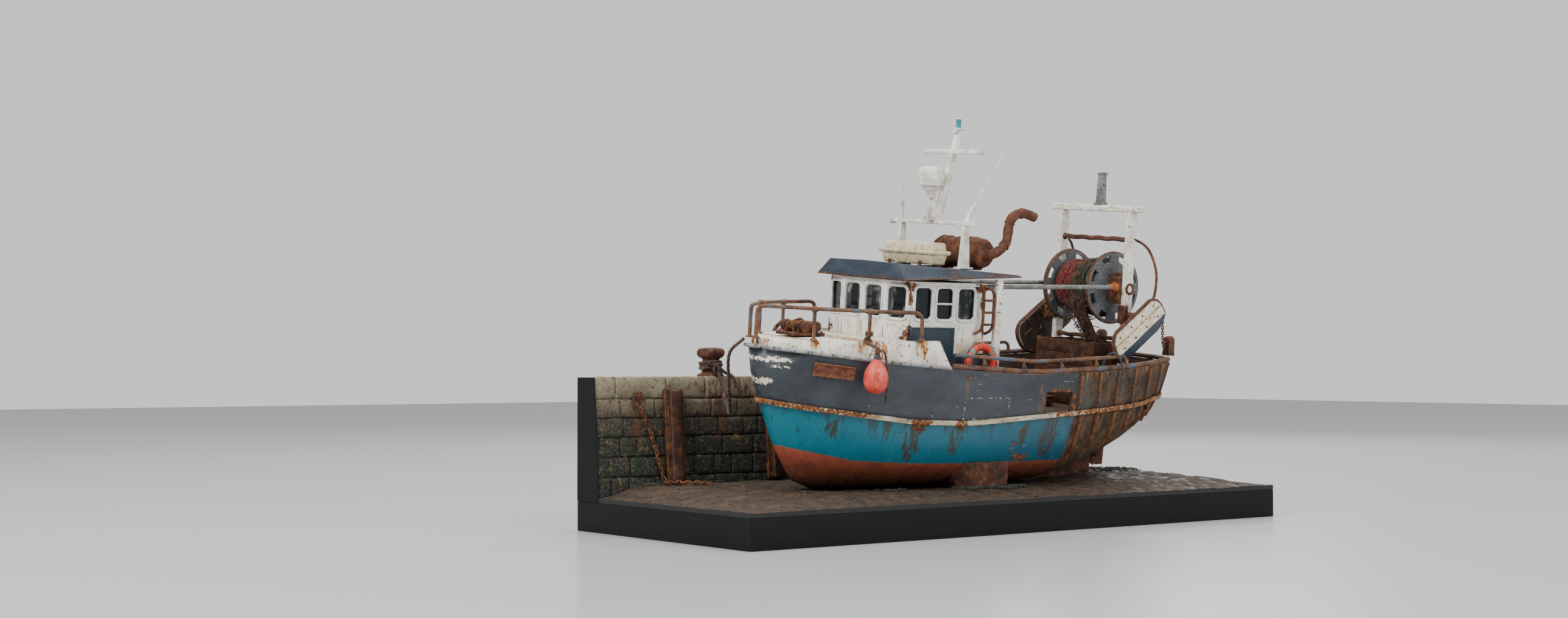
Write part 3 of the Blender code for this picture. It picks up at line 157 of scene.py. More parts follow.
class Surface:
    """One node material, put together from masks and layers of colour."""

    def __init__(self, name: str, space: Space = Space.BOAT) -> None:
        """Start a material whose coordinates are millimetres in a frame.

        Args:
            name: The material's name.
            space: The frame of its coordinates.
        """
        self.material = bpy.data.materials.new(name)
        self.material.use_nodes = True
        self.tree = self.material.node_tree
        self.shader = self.tree.nodes["Principled BSDF"]
        coords = self.add(Kind.COORDS, {}, out="Object")
        turn = HEEL if space is Space.BOAT else 0.0
        origin = Matrix.Rotation(turn, 3, "X") @ Vector(BOAT_ORIGIN) if turn else Vector()
        self.place = self.add(Kind.MAPPING, {
            "Vector": coords, "Scale": (1000.0,) * 3, "Rotation": (turn, 0.0, 0.0),
            "Location": tuple(-origin)})
        split = self.add(Kind.SPLIT, {0: self.place}, out=None)
        self.x, self.y, self.z = split.outputs
        self.space = space

    def add(self, kind: Kind, inputs: dict, out: int | str | None = 0, stops: Sequence = (),
            **settings: object) -> Socket | bpy.types.Node:
        """Add one node with its settings and links.

        Args:
            kind: The kind of node.
            inputs: A value or a socket for each named or numbered input.
            out: The output to hand back, or None for the node itself.
            stops: (place, hex colour or level) pairs of a colour ramp.
            **settings: Properties of the node.

        Returns:
            The socket, or the node.
        """
        node = self.tree.nodes.new(kind.value)
        for key, value in settings.items():
            setattr(node, key, value)
        if stops:
            elements = node.color_ramp.elements
            while len(elements) < len(stops):
                elements.new(1.0)
            for element, (place, shade) in zip(elements, stops):
                element.position = place
                element.color = linear(shade) if isinstance(shade, str) else (shade, shade, shade, 1.0)
        for key, value in inputs.items():
            if isinstance(value, Socket):
                self.tree.links.new(value, node.inputs[key])
            elif value is not None:
                node.inputs[key].default_value = value
        return node if out is None else node.outputs[out]

    def calc(self, operation: str, *values: Value, clamp: bool = False) -> Socket:
        """Work out one step of arithmetic on values or sockets."""
        return self.add(Kind.MATH, dict(enumerate(values)), operation=operation, use_clamp=clamp)

    def step(self, value: Socket, low: float, high: float, top: float = 1.0) -> Socket:
        """Rise softly from 0 at low to top at high, or fall where high is the lower."""
        if low > high:
            return self.calc("SUBTRACT", top, self.step(value, high, low, top))
        return self.add(Kind.RANGE, {"Value": value, "From Min": low, "From Max": high, "To Max": top},
                        interpolation_type="SMOOTHSTEP")

    def both(self, *masks: Socket) -> Socket:
        """Multiply masks together."""
        result = masks[0]
        for mask in masks[1:]:
            result = self.calc("MULTIPLY", result, mask)
        return result

    def either(self, *masks: Socket) -> Socket:
        """Take the greatest of some masks."""
        result = masks[0]
        for mask in masks[1:]:
            result = self.calc("MAXIMUM", result, mask)
        return result

    def along(self, table: Sequence[tuple[float, float]]) -> Socket:
        """Read a table of (x, height) pairs at the surface's own x.

        Args:
            table: Pairs in rising x, in millimetres.

        Returns:
            A socket with the height in millimetres.
        """
        low, high = table[0][0], table[-1][0]
        share = self.add(Kind.RANGE, {"Value": self.x, "From Min": low, "From Max": high})
        stops = [((x - low) / (high - low), value / HEIGHT_SPAN) for x, value in table]
        level = self.add(Kind.RAMP, {0: share}, stops=stops)
        return self.calc("MULTIPLY", level, HEIGHT_SPAN)

    def grain(self, size: float, stretch: Point = (1.0, 1.0, 1.0), seed: int = 0,
              detail: float = 4.0, rough: float = 0.55) -> Socket:
        """Give a soft noise between 0 and 1.

        Args:
            size: The size of its lumps, in millimetres.
            stretch: How many times longer they are along each axis.
            seed: Which part of the noise is used.
            detail: How many finer layers it has.
            rough: How strong those are.

        Returns:
            The noise's socket.
        """
        shift = (seed * 37.7, seed * 11.3, seed * 23.9)
        spot = self.add(Kind.MAPPING, {"Vector": self.place, "Location": shift,
                                       "Scale": tuple(1.0 / s for s in stretch)})
        return self.add(Kind.NOISE, {"Vector": spot, "Scale": 1.0 / size, "Detail": detail,
                                     "Roughness": rough})

    def mottle(self, size: float, low: float, high: float, stretch: Point = (1.0, 1.0, 1.0),
               seed: int = 0, detail: float = 4.0, rough: float = 0.55) -> Socket:
        """Turn a noise into patches that start at low and are full at high."""
        return self.step(self.grain(size, stretch, seed, detail, rough), low, high)

    def runs(self, top: Value, reach: float, pitch: float, low: float = 0.5, high: float = 0.62,
             seed: int = 0) -> Socket:
        """Draw drips that start at a height and fade out below it.

        Args:
            top: The height that they start at.
            reach: How far the longest run.
            pitch: The breadth of a drip.
            low: The noise level where a drip starts.
            high: The noise level where it is full.
            seed: Which drips.

        Returns:
            A mask of the drips.
        """
        drop = self.calc("SUBTRACT", top, self.z)
        wander = self.grain(pitch, (1.0, 1.0, 14.0), seed, 3.0, 0.6)
        fade = self.calc("MULTIPLY", self.add(Kind.RANGE, {"Value": drop, "From Max": reach}), 0.34)
        streak = self.step(self.calc("SUBTRACT", wander, fade), low, high)
        return self.both(streak, self.step(drop, -0.6, 0.3), self.step(drop, reach, reach * 0.55))

    def blots(self, spots: Sequence[tuple[float, float, float, float]], fuzz: float = 1.6,
              seed: int = 0) -> Socket:
        """Draw ragged patches at given places on the side of the boat.

        Args:
            spots: (x, z, breadth, height) of each patch.
            fuzz: How ragged their edges are, in millimetres.
            seed: Which ragged edge.

        Returns:
            A mask of the patches.
        """
        wobble = self.add(Kind.NOISE, {"Vector": self.place, "Scale": 0.45 + 0.03 * seed,
                                       "Detail": 4.0, "Roughness": 0.65}, out="Color")
        moved = self.add(Kind.VECTOR, {0: wobble, 1: (-0.5,) * 3}, operation="ADD")
        moved = self.add(Kind.VECTOR, {0: moved, 1: (fuzz * 3.0,) * 3, 2: self.place},
                         operation="MULTIPLY_ADD")
        masks = []
        for x, z, breadth, height in spots:
            away = self.add(Kind.VECTOR, {0: moved, 1: (-x, 0.0, -z)}, operation="ADD")
            away = self.add(Kind.VECTOR, {0: away, 1: (2.0 / breadth, 0.0, 2.0 / height)},
                            operation="MULTIPLY")
            reach = self.add(Kind.VECTOR, {0: away}, out="Value", operation="LENGTH")
            masks.append(self.step(reach, 1.08, 0.86))
        return self.either(*masks)

    def facing(self, axis: int) -> Socket:
        """Give one part of the surface's true direction, in the frame of the material."""
        normal = self.add(Kind.GEOMETRY, {}, out="True Normal")
        if self.space is Space.BOAT:
            normal = self.add(Kind.ROTATE, {"Vector": normal, "Angle": HEEL},
                              rotation_type="X_AXIS")
        return self.add(Kind.SPLIT, {0: normal}, out=None).outputs[axis]

    def edges(self, reach: float, low: float = 0.04, high: float = 0.3) -> Socket:
        """Find the edges of the shape, for wear.

        Args:
            reach: How far the wear goes in from an edge, in millimetres.
            low: The bend where it starts.
            high: The bend where it is full.

        Returns:
            A mask of the edges.
        """
        soft = self.add(Kind.BEVEL, {"Radius": reach * MM}, samples=4)
        plain = self.add(Kind.GEOMETRY, {}, out="Normal")
        same = self.add(Kind.VECTOR, {0: soft, 1: plain}, out="Value", operation="DOT_PRODUCT")
        return self.step(self.calc("SUBTRACT", 1.0, same), low, high)

    def cover(self, base: str | Socket, layers: Iterable[tuple[Socket, str | Socket]]) -> Socket:
        """Lay colours over each other.

        Args:
            base: The lowest colour.
            layers: (mask, colour) pairs from the lowest up.

        Returns:
            The colour that shows.
        """
        shown = linear(base) if isinstance(base, str) else base
        for mask, colour in layers:
            top = linear(colour) if isinstance(colour, str) else colour
            shown = self.add(Kind.MIX, {0: mask, 6: shown, 7: top}, out=2, data_type="RGBA")
        return shown

    def level(self, base: Value, layers: Iterable[tuple[Socket, Value]]) -> Value:
        """Lay numbers over each other, as cover does with colours."""
        shown = base
        for mask, value in layers:
            shown = self.add(Kind.MIX, {0: mask, 2: shown, 3: value})
        return shown

    def tones(self, value: Socket, stops: Sequence[tuple[float, str]]) -> Socket:
        """Turn a number into colours along a ramp."""
        return self.add(Kind.RAMP, {0: value}, stops=stops)

    def dress(self, colour: Socket, roughness: Value, relief: Sequence[tuple[Socket, float]] = (),
              **sockets: Value) -> bpy.types.Material:
        """Link the finished layers to the shader.

        Args:
            colour: The base colour.
            roughness: A number or a socket.
            relief: (height, its depth in millimetres) pairs.
            **sockets: Other inputs of the shader, with _ for a space.

        Returns:
            The material.
        """
        self.tree.links.new(colour, self.shader.inputs["Base Color"])
        normal = None
        for height, depth in relief:
            normal = self.add(Kind.BUMP, {"Height": height, "Distance": depth * MM, "Strength": 1.0,
                                          "Normal": normal})
        if normal is not None:
            self.tree.links.new(normal, self.shader.inputs["Normal"])
        for name, value in {"Roughness": roughness, **sockets}.items():
            target = self.shader.inputs[name.replace("_", " ")]
            if isinstance(value, Socket):
                self.tree.links.new(value, target)
            else:
                target.default_value = value
        return self.material


class Form:
    """A shape under construction, in millimetres, made with bmesh operators."""

    def __init__(self) -> None:
        """Start with nothing."""
        self.work = bmesh.new()

    def _bevel(self, edges: Sequence, amount: float, segments: int) -> None:
        """Round some edges."""
        bmesh.ops.bevel(self.work, geom=list(edges), offset=amount, segments=segments,
                        profile=0.5, affect="EDGES", clamp_overlap=True, material=-1)

    def block(self, centre: Point, size: Point, bevel: float = 0.25, segments: int = 2,
              turn: Matrix | None = None, taper: Point = (1.0, 1.0)) -> Form:
        """Add a block with rounded edges.

        Args:
            centre: Its centre.
            size: Its three sizes.
            bevel: The radius of its edges.
            segments: How many faces round an edge.
            turn: How it is turned about its centre.
            taper: How its top's x and y sizes compare with its foot's.

        Returns:
            This form.
        """
        part = Form()
        bmesh.ops.create_cube(part.work, size=1.0)
        for vert in part.work.verts:
            if vert.co.z > 0:
                vert.co.x *= taper[0]
                vert.co.y *= taper[1]
        bmesh.ops.scale(part.work, vec=size, verts=part.work.verts)
        if bevel:
            part._bevel(part.work.edges, min(bevel, min(size) * 0.45), segments)
        return self.join(part.placed(centre, turn))

    def prism(self, outline: Sequence[Point], low: float, high: float, axis: str = "Z",
              bevel: float = 0.0, segments: int = 2) -> Form:
        """Extrude a flat outline along an axis and round its rims.

        Args:
            outline: Corners as pairs, across the axis.
            low: Where it starts on the axis.
            high: Where it ends.
            axis: X, Y or Z.
            bevel: The radius of the rims.
            segments: How many faces round a rim.

        Returns:
            This form.
        """
        part = Form()
        places = {"Z": lambda a, b: (a, b, low), "Y": lambda a, b: (a, low, b),
                  "X": lambda a, b: (low, a, b)}
        verts = [part.work.verts.new(places[axis](a, b)) for a, b in outline]
        face = part.work.faces.new(verts)
        grown = bmesh.ops.extrude_face_region(part.work, geom=[face])["geom"]
        reach = {"X": Vector((1, 0, 0)), "Y": Vector((0, 1, 0)), "Z": Vector((0, 0, 1))}[axis]
        moved = [item for item in grown if isinstance(item, bmesh.types.BMVert)]
        bmesh.ops.translate(part.work, vec=reach * (high - low), verts=moved)
        bmesh.ops.recalc_face_normals(part.work, faces=part.work.faces)
        if bevel:
            part._bevel(part.work.edges, bevel, segments)
        return self.join(part)

    def turned(self, profile: Sequence[tuple[float, float]], centre: Point, axis: Point = (0, 0, 1),
               steps: int = 24, smooth_steps: int = 0) -> Form:
        """Spin a profile of (radius, place) pairs about an axis through a centre.

        Args:
            profile: The profile, from one end to the other.
            centre: A point on the axis.
            axis: The axis's direction.
            steps: How many sides it has.
            smooth_steps: How many points to put between each two of the profile.

        Returns:
            This form.
        """
        part = Form()
        if smooth_steps:
            points = curve([(r, 0.0, z) for r, z in profile], smooth_steps)
            profile = [(max(p.x, 0.0), p.z) for p in points]
        verts = [part.work.verts.new((r, 0.0, z)) for r, z in profile]
        edges = [part.work.edges.new(pair) for pair in zip(verts, verts[1:])]
        bmesh.ops.spin(part.work, geom=verts + edges, cent=(0, 0, 0), axis=(0, 0, 1), dvec=(0, 0, 0),
                       angle=2.0 * math.pi, steps=steps, use_merge=True, use_duplicate=False)
        bmesh.ops.remove_doubles(part.work, verts=part.work.verts, dist=1e-4)
        holes = [edge for edge in part.work.edges if edge.is_boundary]
        if holes and profile[0] != profile[-1]:
            bmesh.ops.holes_fill(part.work, edges=holes, sides=0)
        bmesh.ops.recalc_face_normals(part.work, faces=part.work.faces)
        turn = Vector((0, 0, 1)).rotation_difference(Vector(axis)).to_matrix()
        return self.join(part.placed(centre, turn))

    def ring(self, centre: Point, major: float, minor: float, axis: Point = (0, 0, 1),
             steps: int = 32, sides: int = 10, squash: float = 1.0) -> Form:
        """Spin a round section into a ring."""
        section = []
        for k in range(sides + 1):
            angle = 2.0 * math.pi * k / sides
            section.append((major + minor * math.cos(angle), minor * squash * math.sin(angle)))
        section[-1] = section[0]
        return self.turned(section, centre, axis, steps)

    def rod(self, path: Sequence[Point], radius: float, sides: int = 8,
            radii: Callable[[float], float] | None = None, flat: float = 1.0, lobes: int = 0,
            twist: float = 0.0) -> Form:
        """Draw a section along a path.

        Args:
            path: The centre line.
            radius: The section's radius.
            sides: How many sides it has.
            radii: The radius at a share of the path, in place of one radius.
            flat: The section's second size as a share of the first.
            lobes: How many strands show in the section.
            twist: How far the section turns in each millimetre, in radians.

        Returns:
            This form.
        """
        part = Form()
        points = [Vector(p) for p in path]
        made = bmesh.ops.create_circle(part.work, cap_ends=True, segments=sides, radius=1.0)
        ring = made["verts"]
        for k, vert in enumerate(ring):
            vert.co.y *= flat
            if lobes:
                vert.co *= 0.9 + 0.1 * math.cos(2.0 * math.pi * lobes * k / sides)
        edges = list({edge for vert in ring for edge in vert.link_edges})
        frames = path_frames(points)
        before = Matrix.Identity(4)
        gone = 0.0
        last = len(points) - 1
        for i, frame in enumerate(frames):
            if i:
                gone += (points[i] - points[i - 1]).length
                made = bmesh.ops.extrude_edge_only(part.work, edges=edges)["geom"]
                ring = [item for item in made if isinstance(item, bmesh.types.BMVert)]
                edges = [item for item in made if isinstance(item, bmesh.types.BMEdge)]
                edges = [edge for edge in edges if all(vert in ring for vert in edge.verts)]
            size = radii(i / last) if radii else radius
            now = frame @ Matrix.Rotation(twist * gone, 4, "Z") @ Matrix.Scale(size, 4)
            bmesh.ops.transform(part.work, matrix=now @ before.inverted(), verts=ring)
            before = now
        bmesh.ops.edgeloop_fill(part.work, edges=edges)
        bmesh.ops.recalc_face_normals(part.work, faces=part.work.faces)
        return self.join(part)

    def sheet(self, columns: int, rows: int, place: Callable[[float, float], Point],
              thick: float = 0.0) -> Form:
        """Bend a grid into a surface.

        Args:
            columns: Faces along the first share.
            rows: Faces along the second share.
            place: Where a pair of shares from 0 to 1 lies.
            thick: A thickness to give it, or 0 for none.

        Returns:
            This form.
        """
        part = Form()
        bmesh.ops.create_grid(part.work, x_segments=columns, y_segments=rows, size=0.5)
        for vert in part.work.verts:
            vert.co = Vector(place(vert.co.x + 0.5, vert.co.y + 0.5))
        if thick:
            bmesh.ops.solidify(part.work, geom=list(part.work.faces), thickness=thick)
            bmesh.ops.recalc_face_normals(part.work, faces=part.work.faces)
        return self.join(part)

    def placed(self, centre: Point, turn: Matrix | None = None) -> Form:
        """Turn this form about the origin and move it to a place."""
        matrix = Matrix.Translation(Vector(centre))
        if turn is not None:
            matrix = matrix @ turn.to_4x4()
        bmesh.ops.transform(self.work, matrix=matrix, verts=self.work.verts)
        return self

    def mirrored(self) -> Form:
        """Return a copy of this form on the other side of the boat."""
        other = Form().join(self, keep=True)
        bmesh.ops.scale(other.work, vec=(1.0, -1.0, 1.0), verts=other.work.verts)
        bmesh.ops.reverse_faces(other.work, faces=other.work.faces)
        return other

    def join(self, other: Form, keep: bool = False) -> Form:
        """Add another form's shape to this one."""
        mesh = bpy.data.meshes.new("part")
        other.work.to_mesh(mesh)
        self.work.from_mesh(mesh)
        bpy.data.meshes.remove(mesh)
        if not keep:
            other.work.free()
        return self

    def finer(self, edge: float) -> Form:
        """Cut edges until few are longer than a length."""
        for _ in range(6):
            long = [e for e in self.work.edges if e.calc_length() > edge]
            if not long:
                break
            bmesh.ops.subdivide_edges(self.work, edges=long, cuts=1, use_grid_fill=True)
        return self

    def roughen(self, amount: float, size: float, seed: int = 0) -> Form:
        """Push the surface in and out with a noise.

        Args:
            amount: The greatest push, in millimetres.
            size: The size of the lumps.
            seed: Which part of the noise.

        Returns:
            This form.
        """
        self.work.normal_update()
        shift = Vector((seed * 7.3, seed * 3.1, seed * 5.9))
        moves = [(v, v.normal * amount * noise.noise(v.co / size + shift)) for v in self.work.verts]
        for vert, move in moves:
            vert.co += move
        return self

    def make(self, name: str, material: bpy.types.Material, body: str = "model", slot: str = "",
             space: Space = Space.BOAT, replaces: Sequence[str] = (), angle: float = 35.0
             ) -> bpy.types.Object:
        """Finish the shape as a piece of the model.

        Args:
            name: The piece's name.
            material: Its finish.
            body: The body that it rides on.
            slot: The record's material slot; not used.
            space: The frame that it was drawn in.
            replaces: Nodes of the frame that it stands for.
            angle: Edges sharper than this stay sharp, in degrees.

        Returns:
            The piece.
        """
        mesh = bpy.data.meshes.new(name)
        bmesh.ops.transform(self.work, matrix=space.matrix(), verts=self.work.verts)
        self.work.to_mesh(mesh)
        self.work.free()
        mesh.shade_smooth()
        mesh.set_sharp_from_angle(angle=math.radians(angle))
        piece = bpy.data.objects.new(name, mesh)
        bpy.context.scene.collection.objects.link(piece)
        return enrol(piece, material, body, replaces)


def enrol(piece: bpy.types.Object, material: bpy.types.Material, body: str = "model",
          replaces: Sequence[str] = ()) -> bpy.types.Object:
    """Give a piece its finish, its body and the nodes that it stands for."""
    piece.data.materials.clear()
    piece.data.materials.append(material)
    if body:
        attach(piece, body)
    if replaces:
        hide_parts(*replaces)
    LOG.info("%s rides on %s", piece.name, body or "two bodies")
    return piece


def path_frames(points: Sequence[Vector]) -> list[Matrix]:
    """Give a frame at each point of a path, its Z along the path, turning as little as it can."""
    last = len(points) - 1
    side = None
    frames = []
    for i, point in enumerate(points):
        along = (points[min(i + 1, last)] - points[max(i - 1, 0)]).normalized()
        if side is None:
            side = along.orthogonal()
        side = (side - along * side.dot(along)).normalized()
        across = along.cross(side)
        frame = Matrix((side, across, along)).transposed().to_4x4()
        frames.append(Matrix.Translation(point) @ frame)
    return frames


def curve(points: Sequence[Point], steps: int) -> list[Vector]:
    """Read points from a smooth curve through the given ones."""
    path = [Vector(p) for p in points]
    path = [path[0] * 2 - path[1]] + path + [path[-1] * 2 - path[-2]]
    out = []
    for i in range(1, len(path) - 2):
        p0, p1, p2, p3 = path[i - 1:i + 3]
        for k in range(steps):
            t = k / steps
            out.append(0.5 * (2 * p1 + (p2 - p0) * t + (2 * p0 - 5 * p1 + 4 * p2 - p3) * t * t
                              + (3 * p1 - p0 - 3 * p2 + p3) * t ** 3))
    out.append(path[-2])
    return out


def even(points: Sequence[Point], pitch: float) -> list[Vector]:
    """Space points evenly along a path."""
    path = [Vector(p) for p in points]
    lengths = [0.0]
    for a, b in zip(path, path[1:]):
        lengths.append(lengths[-1] + (b - a).length)
    count = max(2, round(lengths[-1] / pitch))
    out = []
    index = 0
    for k in range(count + 1):
        goal = lengths[-1] * k / count
        while index < len(lengths) - 2 and lengths[index + 1] < goal:
            index += 1
        span = lengths[index + 1] - lengths[index]
        out.append(path[index].lerp(path[index + 1], (goal - lengths[index]) / span))
    return out


def strands(name: str, lines: Sequence[Sequence[Point]], radius: float,
            material: bpy.types.Material, body: str = "model",
            space: Space = Space.BOAT, replaces: Sequence[str] = ()) -> bpy.types.Object:
    """Make many thin twines as one piece.

    Args:
        name: The piece's name.
        lines: The centre line of each twine.
        radius: Their radius.
        material: Their finish.
        body: The body that they ride on, or nothing for none.
        space: The frame that they were drawn in.
        replaces: Nodes of the frame that they stand for.

    Returns:
        The piece.
    """
    data = bpy.data.curves.new(name, "CURVE")
    data.dimensions = "3D"
    data.bevel_depth = radius
    data.bevel_resolution = 0
    data.use_fill_caps = True
    for line in lines:
        twine = data.splines.new("POLY")
        twine.points.add(len(line) - 1)
        for slot_point, point in zip(twine.points, line):
            slot_point.co = (*point, 1.0)
    holder = bpy.data.objects.new(name, data)
    mesh = bpy.data.meshes.new_from_object(holder)
    bpy.data.objects.remove(holder)
    mesh.transform(space.matrix())
    mesh.name = name
    piece = bpy.data.objects.new(name, mesh)
    bpy.context.scene.collection.objects.link(piece)
    return enrol(piece, material, body, replaces)


class Refit:
    """Finishes that keep a node's own shape."""

    def __init__(self, nodes: dict[str, bpy.types.Object]) -> None:
        """Hold the frame's nodes."""
        self.nodes = nodes

    def paint(self, name: str, material: bpy.types.Material) -> None:
        """Give a node its finish where its shape is already right."""
        mesh = self.nodes[name].data
        mesh.materials.clear()
        mesh.materials.append(material)
        LOG.info("%s keeps its shape", name)

    def round_off(self, name: str, material: bpy.types.Material, bevel: float, segments: int = 2,
                  slot: str = "", body: str = "model", angle: float = 28.0, rough: float = 0.0,
                  grain: float = 4.0, fine: float = 0.0, flat: float = 2.0) -> bpy.types.Object:
        """Replace a node by a copy of it with rounded edges.

        Args:
            name: The node's name.
            material: The copy's finish.
            bevel: The radius of its edges, in millimetres.
            segments: How many faces round an edge.
            slot: The record's material slot.
            body: The body that it rides on.
            angle: Edges sharper than this are rounded.
            rough: How far its surface is pushed in and out.
            grain: The size of those lumps.
            fine: The longest edge left before it is roughened.
            flat: Faces that meet within this angle become one, in degrees.

        Returns:
            The piece.
        """
        form = Form()
        form.work.from_mesh(self.nodes[name].data)
        bmesh.ops.scale(form.work, vec=(1000.0,) * 3, verts=form.work.verts)
        bmesh.ops.remove_doubles(form.work, verts=form.work.verts, dist=2e-3)
        if flat:
            bmesh.ops.dissolve_limit(form.work, angle_limit=math.radians(flat),
                                     verts=form.work.verts, edges=form.work.edges)
        sharp = [e for e in form.work.edges
                 if len(e.link_faces) == 2 and e.calc_face_angle(0.0) > math.radians(angle)]
        if bevel:
            form._bevel(sharp, bevel, segments)
        if fine:
            bmesh.ops.triangulate(form.work, faces=form.work.faces)
            form.finer(fine)
        if rough:
            form.roughen(rough, grain, len(name))
        return form.make(name + "_shape", material, body, slot, Space.WORLD, [name])


# Lines of the boat, as (x, height) pairs: where the paint changes and what the pieces follow
STEM = ((0.0, 90.0), (4.9, 103.3), (22.6, 114.1), (35.8, 119.8), (57.0, 128.7), (72.6, 133.5))
STERN = ((0.0, -40.0), (6.0, -62.0), (12.0, -82.0), (20.0, -103.0), (26.0, -116.0),
         (35.0, -132.0), (47.0, -143.0), (66.5, -151.0))
BREADTH = ((0.0, 8.0), (2.0, 17.0), (5.0, 26.0), (9.0, 33.0), (15.0, 38.5), (24.0, 43.0),
           (36.0, 46.0), (50.0, 48.0), (66.0, 49.0))
SHEER = ((-151.0, 66.5), (-122.0, 67.4), (-100.0, 66.0), (-73.0, 64.4), (-30.0, 62.7),
         (-12.0, 62.2), (43.0, 65.4), (91.0, 68.8), (120.0, 71.6), (134.0, 72.7))
KNUCKLE = ((-145.0, 48.6), (-118.0, 47.9), (-98.0, 45.2), (-49.0, 42.1), (-15.0, 40.2),
           (28.5, 37.6), (61.0, 38.4), (89.0, 41.4), (119.0, 44.6), (130.0, 46.6))
WATERLINE = ((-60.0, 16.2), (45.0, 16.4), (85.0, 17.6), (99.0, 20.3), (112.0, 22.7),
             (124.0, 24.2))
WIDEST_X, DECK_Z = -5.0, 41.5
FORE_POWER, FORE_ROOT = 2.6, 1.6
AFT_POWER, AFT_ROOT = 3.6, 2.0
PLATING_FROM = -45.0
UPPER_RIBS = (-47.7, -62.2, -76.8, -91.4, -106.0, -119.5, -131.5, -141.0)
LOWER_RIBS = (-50.5, -63.8, -78.2, -91.8, -104.0, -113.0, -121.5)
RAIL_STAINS = ((131.0, 77.0, 9.0, 8.0), (111.8, 77.0, 5.0, 8.0), (87.5, 76.0, 11.0, 12.0),
               (81.0, 72.0, 6.0, 14.0), (60.4, 77.0, 6.0, 11.0), (57.6, 73.0, 3.0, 12.0))


def half_breadth(x: float, z: float) -> float:
    """Give the hull's half breadth at a place and a height."""
    widest = lookup(BREADTH, z)
    if x >= WIDEST_X:
        reach = min(1.0, (x - WIDEST_X) / (lookup(STEM, z) - WIDEST_X))
        return widest * (1.0 - reach ** FORE_POWER) ** (1.0 / FORE_ROOT)
    reach = min(1.0, (WIDEST_X - x) / (WIDEST_X - lookup(STERN, z)))
    return widest * (1.0 - reach ** AFT_POWER) ** (1.0 / AFT_ROOT)


def hull_side(x: float, z: float, out: float = 0.0) -> Vector:
    """Give a point on the port side of the hull, moved out from its skin."""
    step = 0.5
    along = (half_breadth(x + step, z) - half_breadth(x - step, z)) / (2.0 * step)
    up = (half_breadth(x, z + step) - half_breadth(x, z - step)) / (2.0 * step)
    normal = Vector((-along, 1.0, -up)).normalized()
    return Vector((x, half_breadth(x, z), z)) + normal * out


@dataclass(frozen=True)
class RustedSteel:
    """Mild steel rusted in salt air: scaly lumps that run from near black to orange."""

    name: str = "rusted_steel"
    space: Space = Space.BOAT
    stops: tuple = ((0.25, "#1b110d"), (0.42, "#38221a"), (0.55, "#583120"), (0.68, "#7d4b28"),
                    (0.82, "#61544a"))
    scale: float = 5.0
    bright: str = "#9a632c"
    film: str = "#5d6266"
    film_from: float = 0.64
    rough: float = 0.84

    def build(self) -> bpy.types.Material:
        """Return the material: scale about 5 mm across, pitted at a third of a millimetre."""
        s = Surface(self.name, self.space)
        scale = s.grain(self.scale, seed=3, detail=7.0, rough=0.68)
        pits = s.grain(0.5, seed=5, detail=3.0)
        colour = s.add(Kind.RAMP, {0: scale}, stops=self.stops)
        wear = s.both(s.edges(0.9, 0.02, 0.22), s.mottle(2.2, 0.42, 0.6, seed=8))
        film = s.mottle(7.0, self.film_from, self.film_from + 0.08, seed=11, detail=6.0)
        colour = s.cover(colour, [(film, self.film), (wear, self.bright),
                                  (s.mottle(0.7, 0.62, 0.75, seed=2), "#2a1810")])
        return s.dress(colour, self.rough, [(scale, 0.5), (pits, 0.16)])


@dataclass(frozen=True)
class ChippedPaint:
    """Brushed enamel on steel or timber, chalked by the sun, with rust at its edges."""

    name: str
    light: str = "#f0ede3"
    dark: str = "#d2ccbb"
    streak: str = "#b08244"
    under: str = "#5a3a22"
    space: Space = Space.BOAT
    top: float = 200.0
    reach: float = 60.0
    stain: float = 0.55
    chips: float = 0.6
    wear: float = 0.7
    rough: float = 0.55
    brush: tuple = (1.0, 1.0, 7.0)
    spots: tuple = ()

    def build(self) -> bpy.types.Material:
        """Return the material, with chips about a millimetre across and ochre weeping."""
        s = Surface(self.name, self.space)
        chalk = s.mottle(6.0, 0.35, 0.7, seed=1, detail=5.0)
        weep = s.mottle(3.0, self.stain, self.stain + 0.2, (1.0, 1.0, 5.0), seed=4, detail=5.0)
        tide = s.runs(self.top, self.reach, 2.4, 0.5, 0.68, seed=6)
        flakes = s.grain(1.7, seed=9, detail=6.0, rough=0.7)
        chips = s.step(flakes, self.chips, self.chips + 0.04)
        rim = s.both(s.edges(0.8, 0.015, 0.2), s.step(flakes, self.chips - 0.22,
                                                      self.chips - 0.12, self.wear))
        bare = s.add(Kind.RAMP, {0: s.grain(1.2, seed=12)},
                     stops=((0.3, "#2f1a10"), (0.5, self.under), (0.7, self.streak)))
        halo = s.step(flakes, self.chips - 0.1, self.chips, 0.5)
        colour = s.cover(self.light, [(chalk, self.dark), (s.both(weep, halo), self.streak),
                                      (s.step(tide, 0.0, 1.0, 0.75), self.streak),
                                      (s.step(halo, 0.0, 1.0, 0.35), self.streak),
                                      (chips, bare), (rim, bare)])
        worn = s.either(chips, rim)
        if self.spots:
            feet = s.both(s.blots(self.spots, 1.8, 4),
                          s.mottle(1.6, 0.36, 0.56, (1.0, 1.0, 4.0), seed=14, detail=6.0))
            rust = s.add(Kind.RAMP, {0: s.grain(2.0, seed=15, detail=6.0)},
                         stops=((0.3, "#4a2613"), (0.48, "#92581f"), (0.66, "#d0994f")))
            colour = s.cover(colour, [(feet, rust)])
            worn = s.either(worn, feet)
        bristle = s.grain(0.45, self.brush, seed=7, detail=2.0)
        return s.dress(colour, s.level(self.rough, [(worn, 0.85), (weep, 0.7)]),
                       [(bristle, 0.05), (s.add(Kind.MATH, {0: 1.0, 1: worn},
                                                operation="SUBTRACT"), 0.12)])


